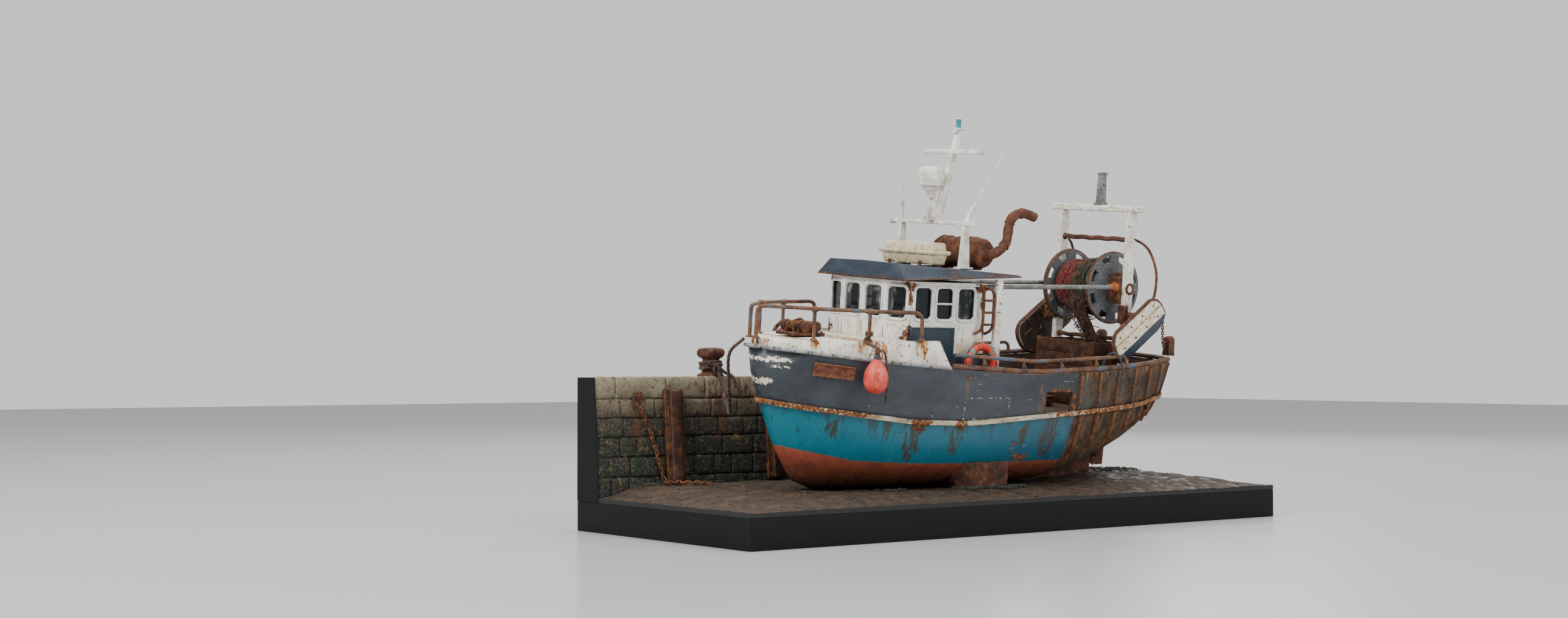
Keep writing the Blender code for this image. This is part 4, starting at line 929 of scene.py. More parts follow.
@dataclass(frozen=True)
class HullPaint:
    """The hull's paints on steel plate: slate above, turquoise below and red on the bottom."""

    name: str = "hull_enamels"
    slate: tuple = ("#20272d", "#2f373e", "#3f474d")
    sea: tuple = ("#1a5064", "#15667c", "#14798c")
    bottom: tuple = ("#3d2b1d", "#743c2b", "#ae5a47")
    weld: tuple = (17.0, 45.0, 14.5, 5.4)

    def build(self) -> bpy.types.Material:
        """Return the material; satin paint with rust, drips, scrapes and bare plate aft."""
        s = Surface(self.name)
        knuckle, sheer, water = s.along(KNUCKLE), s.along(SHEER), s.along(WATERLINE)
        rise = s.add(Kind.MATH, {0: s.z, 1: knuckle}, operation="SUBTRACT")
        above = s.step(rise, -0.2, 0.2)
        broad = s.grain(16.0, (2.5, 1.0, 1.0), seed=1, detail=5.0)
        fine = s.grain(2.6, (3.0, 1.0, 1.0), seed=2, detail=6.0, rough=0.65)
        scuff = s.mottle(0.5, 0.63, 0.7, (16.0, 1.0, 1.0), seed=3, detail=3.0)
        thin = s.both(scuff, s.mottle(14.0, 0.5, 0.62, seed=14))
        slate = s.add(Kind.RAMP, {0: broad}, stops=tuple(zip((0.3, 0.5, 0.72), self.slate)))
        sea = s.add(Kind.RAMP, {0: s.add(Kind.RANGE, {"Value": s.x, "From Min": -45.0,
                                                      "From Max": 120.0})},
                    stops=tuple(zip((0.0, 0.45, 1.0), self.sea)))
        sea = s.cover(sea, [(s.mottle(9.0, 0.5, 0.75, (1.0, 1.0, 3.0), seed=5), "#17697f"),
                            (thin, "#8fc0c2")])
        slate = s.cover(slate, [(s.step(s.x, 10.0, -45.0, 0.5), "#22282c"), (thin, "#8b949a"), (s.mottle(0.9, 0.7, 0.74, seed=21), "#2d2a28")])
        depth = s.add(Kind.RANGE, {"Value": s.z, "From Min": 1.0, "From Max": 23.0})
        level = s.level(depth, [(s.mottle(5.0, 0.4, 0.75, seed=6), s.add(
            Kind.MATH, {0: depth, 1: 0.22}, operation="SUBTRACT", use_clamp=True))])
        red = s.add(Kind.RAMP, {0: level}, stops=tuple(zip((0.08, 0.46, 0.92), self.bottom)))
        specks = s.step(s.add(Kind.CELLS, {"Vector": s.place, "Scale": 1.1}), 0.3, 0.2)
        specks = s.both(specks, s.step(s.z, 16.0, 7.0, 0.8), s.mottle(8.0, 0.42, 0.6, seed=7))
        red = s.cover(red, [(specks, "#b39a72")])
        line = s.add(Kind.MATH, {0: s.z, 1: water}, operation="SUBTRACT")
        line = s.add(Kind.MATH, {0: line, 1: s.add(Kind.MATH, {0: fine, 1: 1.4},
                                                   operation="MULTIPLY")}, operation="ADD")
        colour = s.cover(red, [(s.step(line, 0.5, 0.9), sea), (above, slate)])

        growth = s.runs(s.add(Kind.MATH, {0: knuckle, 1: 1.0}, operation="SUBTRACT"), 27.0, 3.6,
                        0.45, 0.6, seed=8)
        weeps = s.runs(s.add(Kind.MATH, {0: sheer, 1: 0.5}, operation="SUBTRACT"), 15.0, 2.2,
                       0.5, 0.64, seed=9)
        below = s.add(Kind.MATH, {0: 1.0, 1: above}, operation="SUBTRACT")
        drip_spots = s.both(s.blots(((58.5, 29.0, 10.0, 23.0), (34.0, 30.0, 8.0, 20.0),
                                     (-10.2, 29.5, 5.0, 14.0), (97.0, 34.0, 9.0, 12.0),
                                     (-29.0, 30.0, 12.0, 25.0), (74.0, 33.0, 3.0, 12.0)), 2.2),
                            s.mottle(1.6, 0.34, 0.6, (1.0, 1.0, 9.0), seed=10))
        rust = s.add(Kind.RAMP, {0: s.grain(2.4, seed=13, detail=6.0, rough=0.7)},
                     stops=((0.28, "#27160f"), (0.45, "#5a3420"), (0.58, "#8a5126"),
                            (0.7, "#b4752f")))
        patches = s.blots(((56.2, 36.2, 9.0, 6.0), (32.8, 36.4, 5.5, 4.0), (-10.5, 33.0, 3.2, 3.0),
                           (-6.0, 26.5, 3.0, 4.6), (-13.7, 19.0, 14.0, 3.6), (-6.5, 22.0, 2.0, 2.4),
                           (30.1, 61.4, 3.0, 3.2), (-33.5, 48.0, 25.0, 15.0), (2.0, 15.6, 12.0, 2.2),
                           (-40.0, 44.0, 22.0, 5.0)), 2.2, 1)
        patches = s.both(patches, s.mottle(1.8, 0.36, 0.5, seed=15, detail=6.0))
        run_port = s.both(s.blots(((31.4, 54.5, 3.0, 14.0), (-20.0, 50.0, 5.0, 20.0)), 2.4, 2),
                          s.mottle(1.4, 0.36, 0.64, (1.0, 1.0, 7.0), seed=16))
        white = s.both(s.blots(((125.6, 66.8, 11.0, 2.8), (124.0, 63.4, 7.0, 1.4),
                                (127.0, 55.6, 4.6, 3.2), (128.2, 51.8, 2.4, 2.4)), 1.8, 3),
                       s.mottle(2.4, 0.38, 0.44, (3.0, 1.0, 1.0), seed=17))
        stem = s.step(s.add(Kind.MATH, {0: s.x, 1: s.add(Kind.MATH, {0: s.z, 1: 0.415},
                                                         operation="MULTIPLY")},
                            operation="SUBTRACT"), 105.2, 107.4)
        stem = s.both(stem, s.mottle(3.0, 0.3, 0.52, seed=18))
        rim = s.both(s.edges(0.9, 0.03, 0.25), s.mottle(2.0, 0.36, 0.52, seed=19))
        seam = self.weld_line(s)
        colour = s.cover(colour, [
            (s.both(growth, below, s.step(s.z, 11.0, 17.0, 0.6)), "#2c3426"),
            (s.both(weeps, above, s.step(fine, 0.35, 0.7, 0.7)), "#5b4a39"),
            (s.step(drip_spots, 0.0, 1.0, 0.88), "#3f3420"), (s.step(run_port, 0.0, 1.0, 0.6),
                                                              "#6a5135"),
            (white, "#d9d3bd"), (patches, rust), (seam, "#aeb4b4"), (stem, rust), (rim, rust)])

        plate = s.add(Kind.MATH, {0: s.x, 1: s.add(Kind.MATH, {0: fine, 1: 5.0},
                                                   operation="MULTIPLY")}, operation="ADD")
        bare = s.step(plate, PLATING_FROM + 3.4, PLATING_FROM + 1.4)
        scale = s.grain(5.0, (1.0, 1.0, 1.6), seed=20, detail=8.0, rough=0.7)
        plating = s.add(Kind.RAMP, {0: scale}, stops=((0.3, "#1c130d"), (0.44, "#38281b"),
                                                      (0.56, "#533c28"), (0.68, "#6e4c2a"),
                                                      (0.8, "#625c51")))
        faded = s.both(s.step(s.x, -100.0, -55.0, 0.6), above, s.mottle(9.0, 0.42, 0.6, seed=22))
        plating = s.cover(plating, [
            (faded, "#4b4f50"), (s.both(weeps, above), "#8a6a3c"),
            (s.mottle(1.6, 0.64, 0.72, (1.0, 1.0, 2.0), seed=23, detail=6.0), "#97602a"),
            (s.edges(0.7, 0.03, 0.3), "#8d5a2b")])
        gap = s.level(self.rib_gap(s, LOWER_RIBS), [(above, self.rib_gap(s, UPPER_RIBS))])
        crest = s.both(s.step(gap, 1.05, 0.75), s.mottle(1.5, 0.34, 0.5, seed=33))
        # The dark band either side of each rib is painted shade beside the rib; the crest over the rib is
        # its own rust colour.
        plating = s.cover(plating, [(s.step(gap, 2.6, 0.9, 0.7), "#1d130d"), (crest, "#84502a")])
        colour = s.cover(colour, [(bare, plating)])

        up = s.facing(2)
        deck = s.both(s.step(up, 0.6, 0.9), s.step(s.z, 55.0, 50.0), s.step(s.z, 38.0, 40.0))
        side = s.add(Kind.MATH, {0: s.facing(1), 1: s.y}, operation="MULTIPLY")
        inner = s.both(s.step(side, -4.0, -12.0), s.step(s.z, 40.0, 41.0))
        ends = s.add(Kind.MATH, {0: s.facing(0), 1: s.x}, operation="MULTIPLY")
        inner = s.either(inner, s.both(s.step(ends, -4.0, -40.0), s.step(s.z, 41.0, 42.0)))
        plank = s.step(s.add(Kind.MATH, {0: s.add(Kind.MATH, {0: s.y, 1: 5.0}, operation="MODULO"),
                                         1: 0.0}, operation="ABSOLUTE"), 0.5, 0.2)
        boards = s.add(Kind.RAMP, {0: s.grain(2.0, (9.0, 1.0, 1.0), seed=24, detail=6.0)},
                       stops=((0.3, "#2c221a"), (0.55, "#54422f"), (0.75, "#7b6547")))
        boards = s.cover(boards, [(plank, "#15100c"), (s.mottle(11.0, 0.5, 0.62, seed=25),
                                                       "#4b2d1a")])
        lining = s.cover("#303a41", [(s.mottle(4.0, 0.45, 0.62, (1.0, 1.0, 3.0), seed=26), "#5b3a22"),
                                     (s.mottle(3.0, 0.6, 0.7, seed=27), "#7f5228")])
        colour = s.cover(colour, [(inner, lining), (deck, boards)])
        dull = s.either(patches, rim, bare, stem, inner, deck)
        rough = s.level(0.4, [(s.mottle(4.0, 0.4, 0.7, seed=28), 0.52), (dull, 0.84)])
        scaly = s.both(scale, s.either(bare, patches))
        skin = s.grain(0.9, (1.5, 1.0, 1.0), seed=29, detail=3.0)
        return s.dress(colour, rough, [(s.grain(13.0, seed=30, detail=1.0), 0.35), (scaly, 0.55),
                                       (skin, 0.07), (white, 0.08)])

    def rib_gap(self, s: Surface, ribs: Sequence[float]) -> Socket:
        """Return how far along the hull the nearest of some ribs is."""
        nearest = None
        for x in ribs:
            gap = s.add(Kind.MATH, {0: s.add(Kind.MATH, {0: s.x, 1: x}, operation="SUBTRACT")},
                        operation="ABSOLUTE")
            nearest = gap if nearest is None else s.add(Kind.MATH, {0: nearest, 1: gap},
                                                        operation="MINIMUM")
        return nearest

    def weld_line(self, s: Surface) -> Socket:
        """Return a mask of the dashed line round the doubler plate amidships."""
        x, z, half, rise = self.weld
        wide = s.add(Kind.MATH, {0: s.add(Kind.MATH, {0: s.x, 1: x}, operation="SUBTRACT")},
                     operation="ABSOLUTE")
        tall = s.add(Kind.MATH, {0: s.add(Kind.MATH, {0: s.z, 1: z}, operation="SUBTRACT")},
                     operation="ABSOLUTE")
        far = s.add(Kind.MATH, {0: s.add(Kind.MATH, {0: wide, 1: half}, operation="SUBTRACT"),
                                1: s.add(Kind.MATH, {0: tall, 1: rise}, operation="SUBTRACT")},
                    operation="MAXIMUM")
        line = s.step(s.add(Kind.MATH, {0: far}, operation="ABSOLUTE"), 0.42, 0.2)
        return s.both(line, s.mottle(1.5, 0.52, 0.6, seed=31, detail=2.0))


@dataclass(frozen=True)
class HousePaint:
    """White enamel on the wheelhouse, with a slate band at its foot and rust at its corners."""

    name: str = "house_enamel"
    band_top: float = 71.6

    def build(self) -> bpy.types.Material:
        """Return the material: clean white above, ochre weeping, brown-black seam stains."""
        s = Surface(self.name)
        chalk = s.mottle(5.0, 0.4, 0.72, seed=1, detail=5.0)
        weep = s.runs(107.0, 36.0, 2.0, 0.54, 0.7, seed=2)
        low = s.runs(85.4, 14.0, 1.6, 0.5, 0.66, seed=3)
        corner = s.both(s.blots(((58.8, 105.0, 4.4, 5.0), (59.0, 100.0, 2.0, 11.0),
                                 (58.6, 79.0, 4.2, 15.0), (13.0, 105.0, 9.0, 5.0),
                                 (10.6, 99.0, 2.4, 12.0), (9.6, 88.0, 2.0, 20.0)), 2.0),
                        s.mottle(1.8, 0.32, 0.42, (1.0, 1.0, 2.0), seed=4, detail=6.0))
        rust = s.add(Kind.RAMP, {0: s.grain(1.8, seed=5, detail=6.0)},
                     stops=((0.3, "#2e1a11"), (0.5, "#5f3520"), (0.7, "#a8672f")))
        band = s.step(s.add(Kind.MATH, {0: s.z, 1: s.grain(3.0, seed=6)}, operation="ADD"),
                      self.band_top + 0.9, self.band_top + 0.3)
        slate = s.add(Kind.RAMP, {0: s.grain(4.0, seed=7)},
                      stops=((0.35, "#22313c"), (0.6, "#33495a")))
        chips = s.mottle(1.5, 0.62, 0.66, seed=8, detail=6.0, rough=0.7)
        inside = s.cover("#8f9088", [(s.mottle(6.0, 0.4, 0.7, seed=9), "#6a6a62")])
        hidden = s.both(s.step(s.add(Kind.MATH, {0: s.y}, operation="ABSOLUTE"), 31.6, 31.4),
                        s.step(s.x, 59.0, 58.6), s.step(s.x, 9.0, 9.4))
        tint = s.both(s.mottle(5.0, 0.48, 0.66, (1.0, 1.0, 2.2), seed=11), s.step(s.z, 92.0, 86.0, 0.7))
        colour = s.cover("#eceae2", [
            (chalk, "#d5d2c6"), (tint, "#cdb98c"), (s.step(weep, 0.0, 1.0, 0.55), "#c39a5e"),
            (s.step(low, 0.0, 1.0, 0.6), "#a6763c"), (band, slate), (chips, rust),
            (corner, rust), (hidden, inside)])
        bristle = s.grain(0.5, (6.0, 6.0, 1.0), seed=10, detail=2.0)
        return s.dress(colour, s.level(0.42, [(chalk, 0.56), (s.either(chips, corner), 0.85)]),
                       [(bristle, 0.05), (corner, 0.15)])


@dataclass(frozen=True)
class StrakePaint:
    """Old white paint on the rubbing strake, rusted through at the bow and by the drips."""

    name: str = "strake_paint"

    def build(self) -> bpy.types.Material:
        """Return the material: cream paint, ochre film and lumps of rust."""
        s = Surface(self.name)
        rust = s.add(Kind.RAMP, {0: s.grain(1.6, seed=1, detail=7.0, rough=0.7)},
                     stops=((0.28, "#2d1a11"), (0.45, "#66371e"), (0.6, "#a9682b"),
                            (0.74, "#d09a4a")))
        bow = s.step(s.add(Kind.MATH, {0: s.x, 1: s.add(Kind.MATH, {0: s.grain(7.0, seed=2), 1: 60.0},
                                                        operation="MULTIPLY")},
                           operation="ADD"), 108.0, 134.0)
        aft = s.step(s.add(Kind.MATH, {0: s.x, 1: s.add(Kind.MATH, {0: s.grain(5.0, seed=3), 1: 22.0},
                                                        operation="MULTIPLY")},
                           operation="ADD"), -28.0, -38.0)
        spots = s.blots(((57.0, 37.4, 12.5, 8.0), (33.2, 37.2, 8.0, 6.5), (93.0, 41.8, 20.0, 5.0),
                         (-37.0, 41.2, 12.0, 6.0)), 2.0)
        flakes = s.mottle(2.4, 0.62, 0.67, (2.5, 1.0, 1.0), seed=4, detail=6.0, rough=0.68)
        lumps = s.mottle(1.3, 0.36, 0.46, seed=5, detail=5.0)
        bare = s.either(s.both(s.either(bow, aft, spots), lumps), s.both(flakes, lumps),
                        s.both(s.edges(0.5, 0.05, 0.25), s.mottle(1.2, 0.6, 0.68, seed=6)))
        cream = s.cover("#d2c9b3", [(s.mottle(3.0, 0.4, 0.7, (5.0, 1.0, 1.0), seed=7), "#a39373"),
                                    (s.mottle(2.0, 0.56, 0.7, (4.0, 1.0, 1.0), seed=8), "#8b6f48"),
                                    (s.mottle(6.0, 0.6, 0.66, (3.0, 1.0, 1.0), seed=9), "#46586a")])
        return s.dress(s.cover(cream, [(bare, rust)]), s.level(0.55, [(bare, 0.86)]),
                       [(s.grain(1.6, seed=1, detail=7.0, rough=0.7), 0.35)])


@dataclass(frozen=True)
class RoofPaint:
    """Dark blue-grey deck paint on the wheelhouse's roof, rusted along its lower rim."""

    name: str = "roof_enamel"

    def build(self) -> bpy.types.Material:
        """Return the material: slate blue with grey film and a ragged rust line."""
        s = Surface(self.name)
        under = s.add(Kind.RANGE, {"Value": s.x, "From Min": -13.4, "From Max": 66.5,
                                   "To Min": 111.5, "To Max": 108.0})
        rise = s.add(Kind.MATH, {0: s.z, 1: under}, operation="SUBTRACT")
        ragged = s.add(Kind.MATH, {0: rise, 1: s.add(Kind.MATH, {0: s.grain(2.0, seed=1, detail=6.0),
                                                                 1: 4.6}, operation="MULTIPLY")},
                       operation="SUBTRACT")
        rim = s.step(ragged, -1.2, -1.9)
        rust = s.add(Kind.RAMP, {0: s.grain(1.5, seed=2, detail=6.0)},
                     stops=((0.3, "#22130d"), (0.52, "#4c2a1b"), (0.72, "#8a5228")))
        film = s.mottle(6.0, 0.46, 0.7, (1.0, 3.0, 1.0), seed=3, detail=5.0)
        weep = s.both(s.blots(((31.0, 112.0, 5.0, 12.0), (3.0, 112.0, 12.0, 6.0)), 2.4),
                      s.mottle(1.2, 0.4, 0.6, seed=4))
        blue = s.cover("#1e2b38", [(film, "#2a3944"), (s.mottle(2.0, 0.6, 0.7, seed=5), "#1b232b"),
                                   (s.mottle(0.6, 0.68, 0.74, seed=6), "#8d8f8c")])
        bare = s.either(rim, weep, s.both(s.edges(0.7, 0.03, 0.2), s.mottle(1.4, 0.44, 0.56, seed=7)))
        return s.dress(s.cover(blue, [(bare, rust)]), s.level(0.5, [(film, 0.62), (bare, 0.86)]),
                       [(s.grain(0.8, seed=8), 0.07), (s.grain(1.5, seed=2, detail=6.0), 0.12)])


@dataclass(frozen=True)
class Moulded:
    """Moulded plastic or glass fibre, scuffed and stained."""

    name: str
    base: str
    light: str
    dark: str
    stain: str
    rough: float = 0.38
    space: Space = Space.BOAT
    amount: float = 0.6
    bands: tuple = ()
    band_at: tuple = (14.5, 67.1)

    def build(self) -> bpy.types.Material:
        """Return the material, with scuffs half a millimetre wide and grime in its hollows."""
        s = Surface(self.name, self.space)
        scuff = s.mottle(0.6, 0.6, 0.68, (1.0, 1.0, 6.0), seed=1, detail=4.0)
        colour = s.cover(self.base, [
            (s.mottle(5.0, 0.42, 0.7, seed=2), self.light), (s.mottle(3.0, 0.52, 0.7, seed=3), self.dark),
            (s.step(s.mottle(2.2, self.amount, self.amount + 0.08, (1.0, 1.0, 2.0), seed=4,
                             detail=6.0), 0.0, 1.0, 0.85), self.stain), (scuff, self.light)])
        if self.bands:
            x, z = self.band_at
            turn = s.add(Kind.MATH, {0: s.add(Kind.MATH, {0: s.z, 1: z}, operation="SUBTRACT"),
                                     1: s.add(Kind.MATH, {0: s.x, 1: x}, operation="SUBTRACT")},
                         operation="ARCTAN2")
            for angle in self.bands:
                away = s.add(Kind.MATH, {0: turn, 1: math.radians(angle)}, operation="SUBTRACT")
                away = s.add(Kind.MATH, {0: away, 1: math.pi, 2: -math.pi}, operation="WRAP")
                band = s.step(s.add(Kind.MATH, {0: away}, operation="ABSOLUTE"), 0.15, 0.12)
                tape = s.cover("#8d8b84", [(s.mottle(1.2, 0.5, 0.6, seed=5), "#5d5a54")])
                colour = s.cover(colour, [(band, tape)])
        return s.dress(colour, s.level(self.rough, [(scuff, 0.6)]),
                       [(s.grain(0.7, seed=6), 0.05), (s.grain(3.0, seed=7), 0.1)])


@dataclass(frozen=True)
class DrumGrey:
    """Dull grey paint, flecked, over cast flanges: thin rust on the rim and round the hub."""

    name: str = "drum_paint"
    centre: tuple = (-101.0, 107.0)
    rim: float = 19.8

    def build(self) -> bpy.types.Material:
        """Return the material: mid grey flecked at half a millimetre."""
        s = Surface(self.name)
        x, z = self.centre
        flat = s.add(Kind.VECTOR, {0: s.place, 1: (-x, 0.0, -z)}, operation="ADD")
        flat = s.add(Kind.VECTOR, {0: flat, 1: (1.0, 0.0, 1.0)}, operation="MULTIPLY")
        reach = s.add(Kind.VECTOR, {0: flat}, out="Value", operation="LENGTH")
        fleck = s.mottle(0.55, 0.55, 0.66, seed=1, detail=3.0)
        rust = s.add(Kind.RAMP, {0: s.grain(1.4, seed=2, detail=6.0)},
                     stops=((0.3, "#3a2014"), (0.52, "#7d4524"), (0.7, "#a9713c")))
        rim = s.both(s.step(reach, self.rim - 1.0, self.rim - 0.2), s.mottle(2.0, 0.4, 0.5, seed=3))
        hub = s.both(s.step(reach, 7.5, 4.5), s.mottle(2.0, 0.44, 0.56, seed=4))
        holes = s.both(s.edges(0.6, 0.05, 0.3), s.mottle(1.4, 0.5, 0.6, seed=5))
        colour = s.cover("#63666a", [(s.mottle(6.0, 0.4, 0.7, seed=6), "#4b4e52"),
                                     (fleck, "#8d9092"), (s.mottle(0.8, 0.64, 0.7, seed=7), "#2d2f31"),
                                     (s.either(rim, hub, holes), rust)])
        return s.dress(colour, 0.62, [(s.grain(0.55, seed=1), 0.08), (s.grain(5.0, seed=8), 0.12)],
                       Metallic=0.25)


@dataclass(frozen=True)
class Twine:
    """Twisted fibre, tarred and dirty, its lay showing as fine slanting ridges."""

    name: str
    dark: str
    mid: str
    light: str
    space: Space = Space.BOAT
    rough: float = 0.92
    pitch: float = 0.7
    bands: tuple = ()

    def build(self) -> bpy.types.Material:
        """Return the material; its colour changes across the boat where it has bands."""
        s = Surface(self.name, self.space)
        shade = s.grain(2.4, seed=1, detail=4.0)
        stops = ((0.3, self.dark), (0.5, self.mid), (0.72, self.light))
        colour = s.add(Kind.RAMP, {0: shade}, stops=stops)
        for low, high, dark, light in self.bands:
            other = s.add(Kind.RAMP, {0: s.grain(1.6, seed=3)}, stops=((0.3, dark), (0.66, light)))
            place = s.add(Kind.MATH, {0: s.y, 1: s.add(Kind.MATH, {0: shade, 1: 3.0},
                                                       operation="MULTIPLY")}, operation="ADD")
            colour = s.cover(colour, [(s.both(s.step(place, low, low + 1.6),
                                              s.step(place, high + 1.6, high)), other)])
        lay = s.add(Kind.WAVE, {"Vector": s.place, "Scale": 0.31 / self.pitch, "Distortion": 1.5},
                    bands_direction="DIAGONAL")
        return s.dress(colour, self.rough, [(lay, 0.12), (s.grain(0.35, seed=2), 0.1)],
                       Sheen_Weight=0.15)


@dataclass(frozen=True)
class QuayStone:
    """Rough granite blocks: pale and dry at the cope, wet and green-black at the foot."""

    name: str = "quay_stone"
    tones: tuple = ((18.0, "#0f0f0b"), (30.0, "#171a13"), (44.0, "#22211a"), (57.0, "#3a3329"),
                    (66.0, "#6a5f4c"), (76.0, "#8f866f"))

    def build(self) -> bpy.types.Material:
        """Return the material: crystals a millimetre across, weed below and rust weeping."""
        s = Surface(self.name, Space.WORLD)
        uneven = s.add(Kind.MATH, {0: s.grain(11.0, seed=1, detail=5.0), 1: 26.0},
                       operation="MULTIPLY")
        height = s.add(Kind.MATH, {0: s.add(Kind.MATH, {0: s.z, 1: uneven}, operation="ADD"),
                                   1: 13.0}, operation="SUBTRACT")
        low, high = self.tones[0][0], self.tones[-1][0]
        share = s.add(Kind.RANGE, {"Value": height, "From Min": low, "From Max": high})
        colour = s.add(Kind.RAMP, {0: share}, stops=tuple(((z - low) / (high - low), c)
                                                          for z, c in self.tones))
        crystal = s.grain(0.9, seed=2, detail=5.0, rough=0.7)
        crag = s.grain(3.2, seed=3, detail=6.0, rough=0.65)
        weed = s.both(s.mottle(5.0, 0.5, 0.6, seed=4, detail=6.0), s.step(s.z, 58.0, 40.0))
        weeps = s.both(s.blots(((155.0, 55.0, 7.0, 26.0), (103.0, 60.0, 6.0, 36.0),
                                (107.0, 72.0, 9.0, 10.0), (133.5, 50.0, 14.0, 50.0),
                                (86.0, 70.0, 7.0, 9.0), (122.0, 73.0, 3.0, 4.0)), 3.0),
                       s.mottle(1.8, 0.42, 0.6, (1.0, 1.0, 4.0), seed=5))
        wet = s.both(s.mottle(2.2, 0.56, 0.64, (1.0, 1.0, 2.6), seed=6, detail=5.0),
                     s.step(s.z, 52.0, 24.0))
        colour = s.cover(colour, [
            (s.step(crystal, 0.5, 0.72, 0.5), "#b0aa95"), (s.step(crag, 0.46, 0.3, 0.8), "#14130e"),
            (weed, "#24331f"), (s.mottle(4.0, 0.6, 0.7, seed=7), "#6f5836"),
            (s.step(weeps, 0.0, 1.0, 0.85), "#5a3218")])
        rough = s.level(0.88, [(s.step(s.z, 60.0, 20.0, 0.7), 0.6), (wet, 0.12)])
        return s.dress(colour, rough, [(crag, 0.9), (crystal, 0.35)])


@dataclass(frozen=True)
class Mud:
    """Tidal mud and shingle, damp, scattered with grit, weed and pale scum by the stern."""

    name: str = "mud_and_grit"
    edge: tuple = (180.0, 74.5)

    def build(self) -> bpy.types.Material:
        """Return the material: browns, with the slab's black paint along its cut edges."""
        s = Surface(self.name, Space.WORLD)
        lumps = s.grain(7.0, seed=1, detail=7.0, rough=0.62)
        grit = s.grain(0.9, seed=2, detail=4.0, rough=0.7)
        colour = s.add(Kind.RAMP, {0: lumps}, stops=((0.28, "#17100b"), (0.45, "#302216"),
                                                     (0.58, "#45311f"), (0.74, "#5a452c")))
        away = s.add(Kind.VECTOR, {0: s.place, 1: (112.0, -8.0, 0.0)}, operation="ADD")
        away = s.add(Kind.VECTOR, {0: away, 1: (1 / 34.0, 1 / 22.0, 0.0)}, operation="MULTIPLY")
        scum = s.both(s.step(s.add(Kind.VECTOR, {0: away}, out="Value", operation="LENGTH"), 1.1, 0.3),
                      s.mottle(3.0, 0.5, 0.6, seed=3, detail=6.0))
        stones = s.step(s.add(Kind.CELLS, {"Vector": s.place, "Scale": 0.55}), 0.34, 0.22)
        stones = s.both(stones, s.mottle(6.0, 0.52, 0.62, seed=4))
        colour = s.cover(colour, [
            (s.step(grit, 0.54, 0.72, 0.65), "#73644b"), (s.step(grit, 0.44, 0.3, 0.8), "#1d150f"),
            (s.mottle(9.0, 0.58, 0.68, seed=5, detail=5.0), "#2b2a1b"),
            (s.mottle(2.0, 0.66, 0.72, seed=6), "#583420"), (stones, "#575044"), (scum, "#77766f")])
        wet = s.mottle(6.0, 0.5, 0.62, seed=7, detail=5.0)
        side = s.step(s.facing(2), 0.35, 0.2)
        colour = s.cover(colour, [(side, "#101112")])
        rough = s.level(0.88, [(wet, 0.58), (side, 0.62)])
        return s.dress(colour, rough, [(lumps, 0.7), (grit, 0.4)])


@dataclass(frozen=True)
class WrinkleBlack:
    """Black wrinkle paint on the display slab, its grain a millimetre across."""

    name: str = "wrinkle_black"

    def build(self) -> bpy.types.Material:
        """Return the material: charcoal with a leathery relief and a few scuffs."""
        s = Surface(self.name, Space.WORLD)
        wrinkle = s.grain(1.0, (1.6, 1.6, 0.8), seed=1, detail=2.0)
        scuff = s.mottle(0.7, 0.66, 0.72, seed=2, detail=5.0)
        dust = s.both(s.mottle(9.0, 0.5, 0.75, seed=3), s.step(s.z, 0.0, 20.0, 0.6))
        colour = s.cover("#0f1011", [(dust, "#17181a"), (s.step(wrinkle, 0.4, 0.62, 0.7), "#151618"),
                                     (scuff, "#303233")])
        return s.dress(colour, 0.75, [(wrinkle, 0.3), (s.grain(0.4, seed=4), 0.06)],
                       Specular_IOR_Level=0.2)


@dataclass(frozen=True)
class Glazing:
    """Wheelhouse glass, greyed by salt round its rim."""

    name: str = "salted_glass"

    def build(self) -> bpy.types.Material:
        """Return the material: clear, with a thin film that dulls it in patches."""
        s = Surface(self.name)
        film = s.mottle(3.4, 0.56, 0.74, (1.0, 1.0, 3.0), seed=1, detail=2.0)
        colour = s.cover("#1b2327", [(film, "#8e9492")])
        clear = s.level(0.5, [(film, 0.7)])
        s.material.surface_render_method = "DITHERED"
        return s.dress(colour, s.level(0.06, [(film, 0.3)]), (), Alpha=clear, IOR=1.5)


@dataclass(frozen=True)
class LampGlass:
    """The teal glass of the masthead lamp, thick and a little dusty."""

    name: str = "teal_lamp_glass"

    def build(self) -> bpy.types.Material:
        """Return the material: deep teal, with a painted highlight of paler teal along the ribs."""
        s = Surface(self.name)
        ribs = s.add(Kind.WAVE, {"Vector": s.place, "Scale": 0.5}, bands_direction="Z")
        dust = s.mottle(1.0, 0.55, 0.7, seed=2)
        # The paler teal on the ribs is a painted highlight.
        colour = s.cover("#0e6f7c", [(s.step(ribs, 0.3, 0.8, 0.5), "#1fa3ae"), (dust, "#5f9197")])
        return s.dress(colour, s.level(0.12, [(dust, 0.4)]), [(ribs, 0.12)], Coat_Weight=0.6)


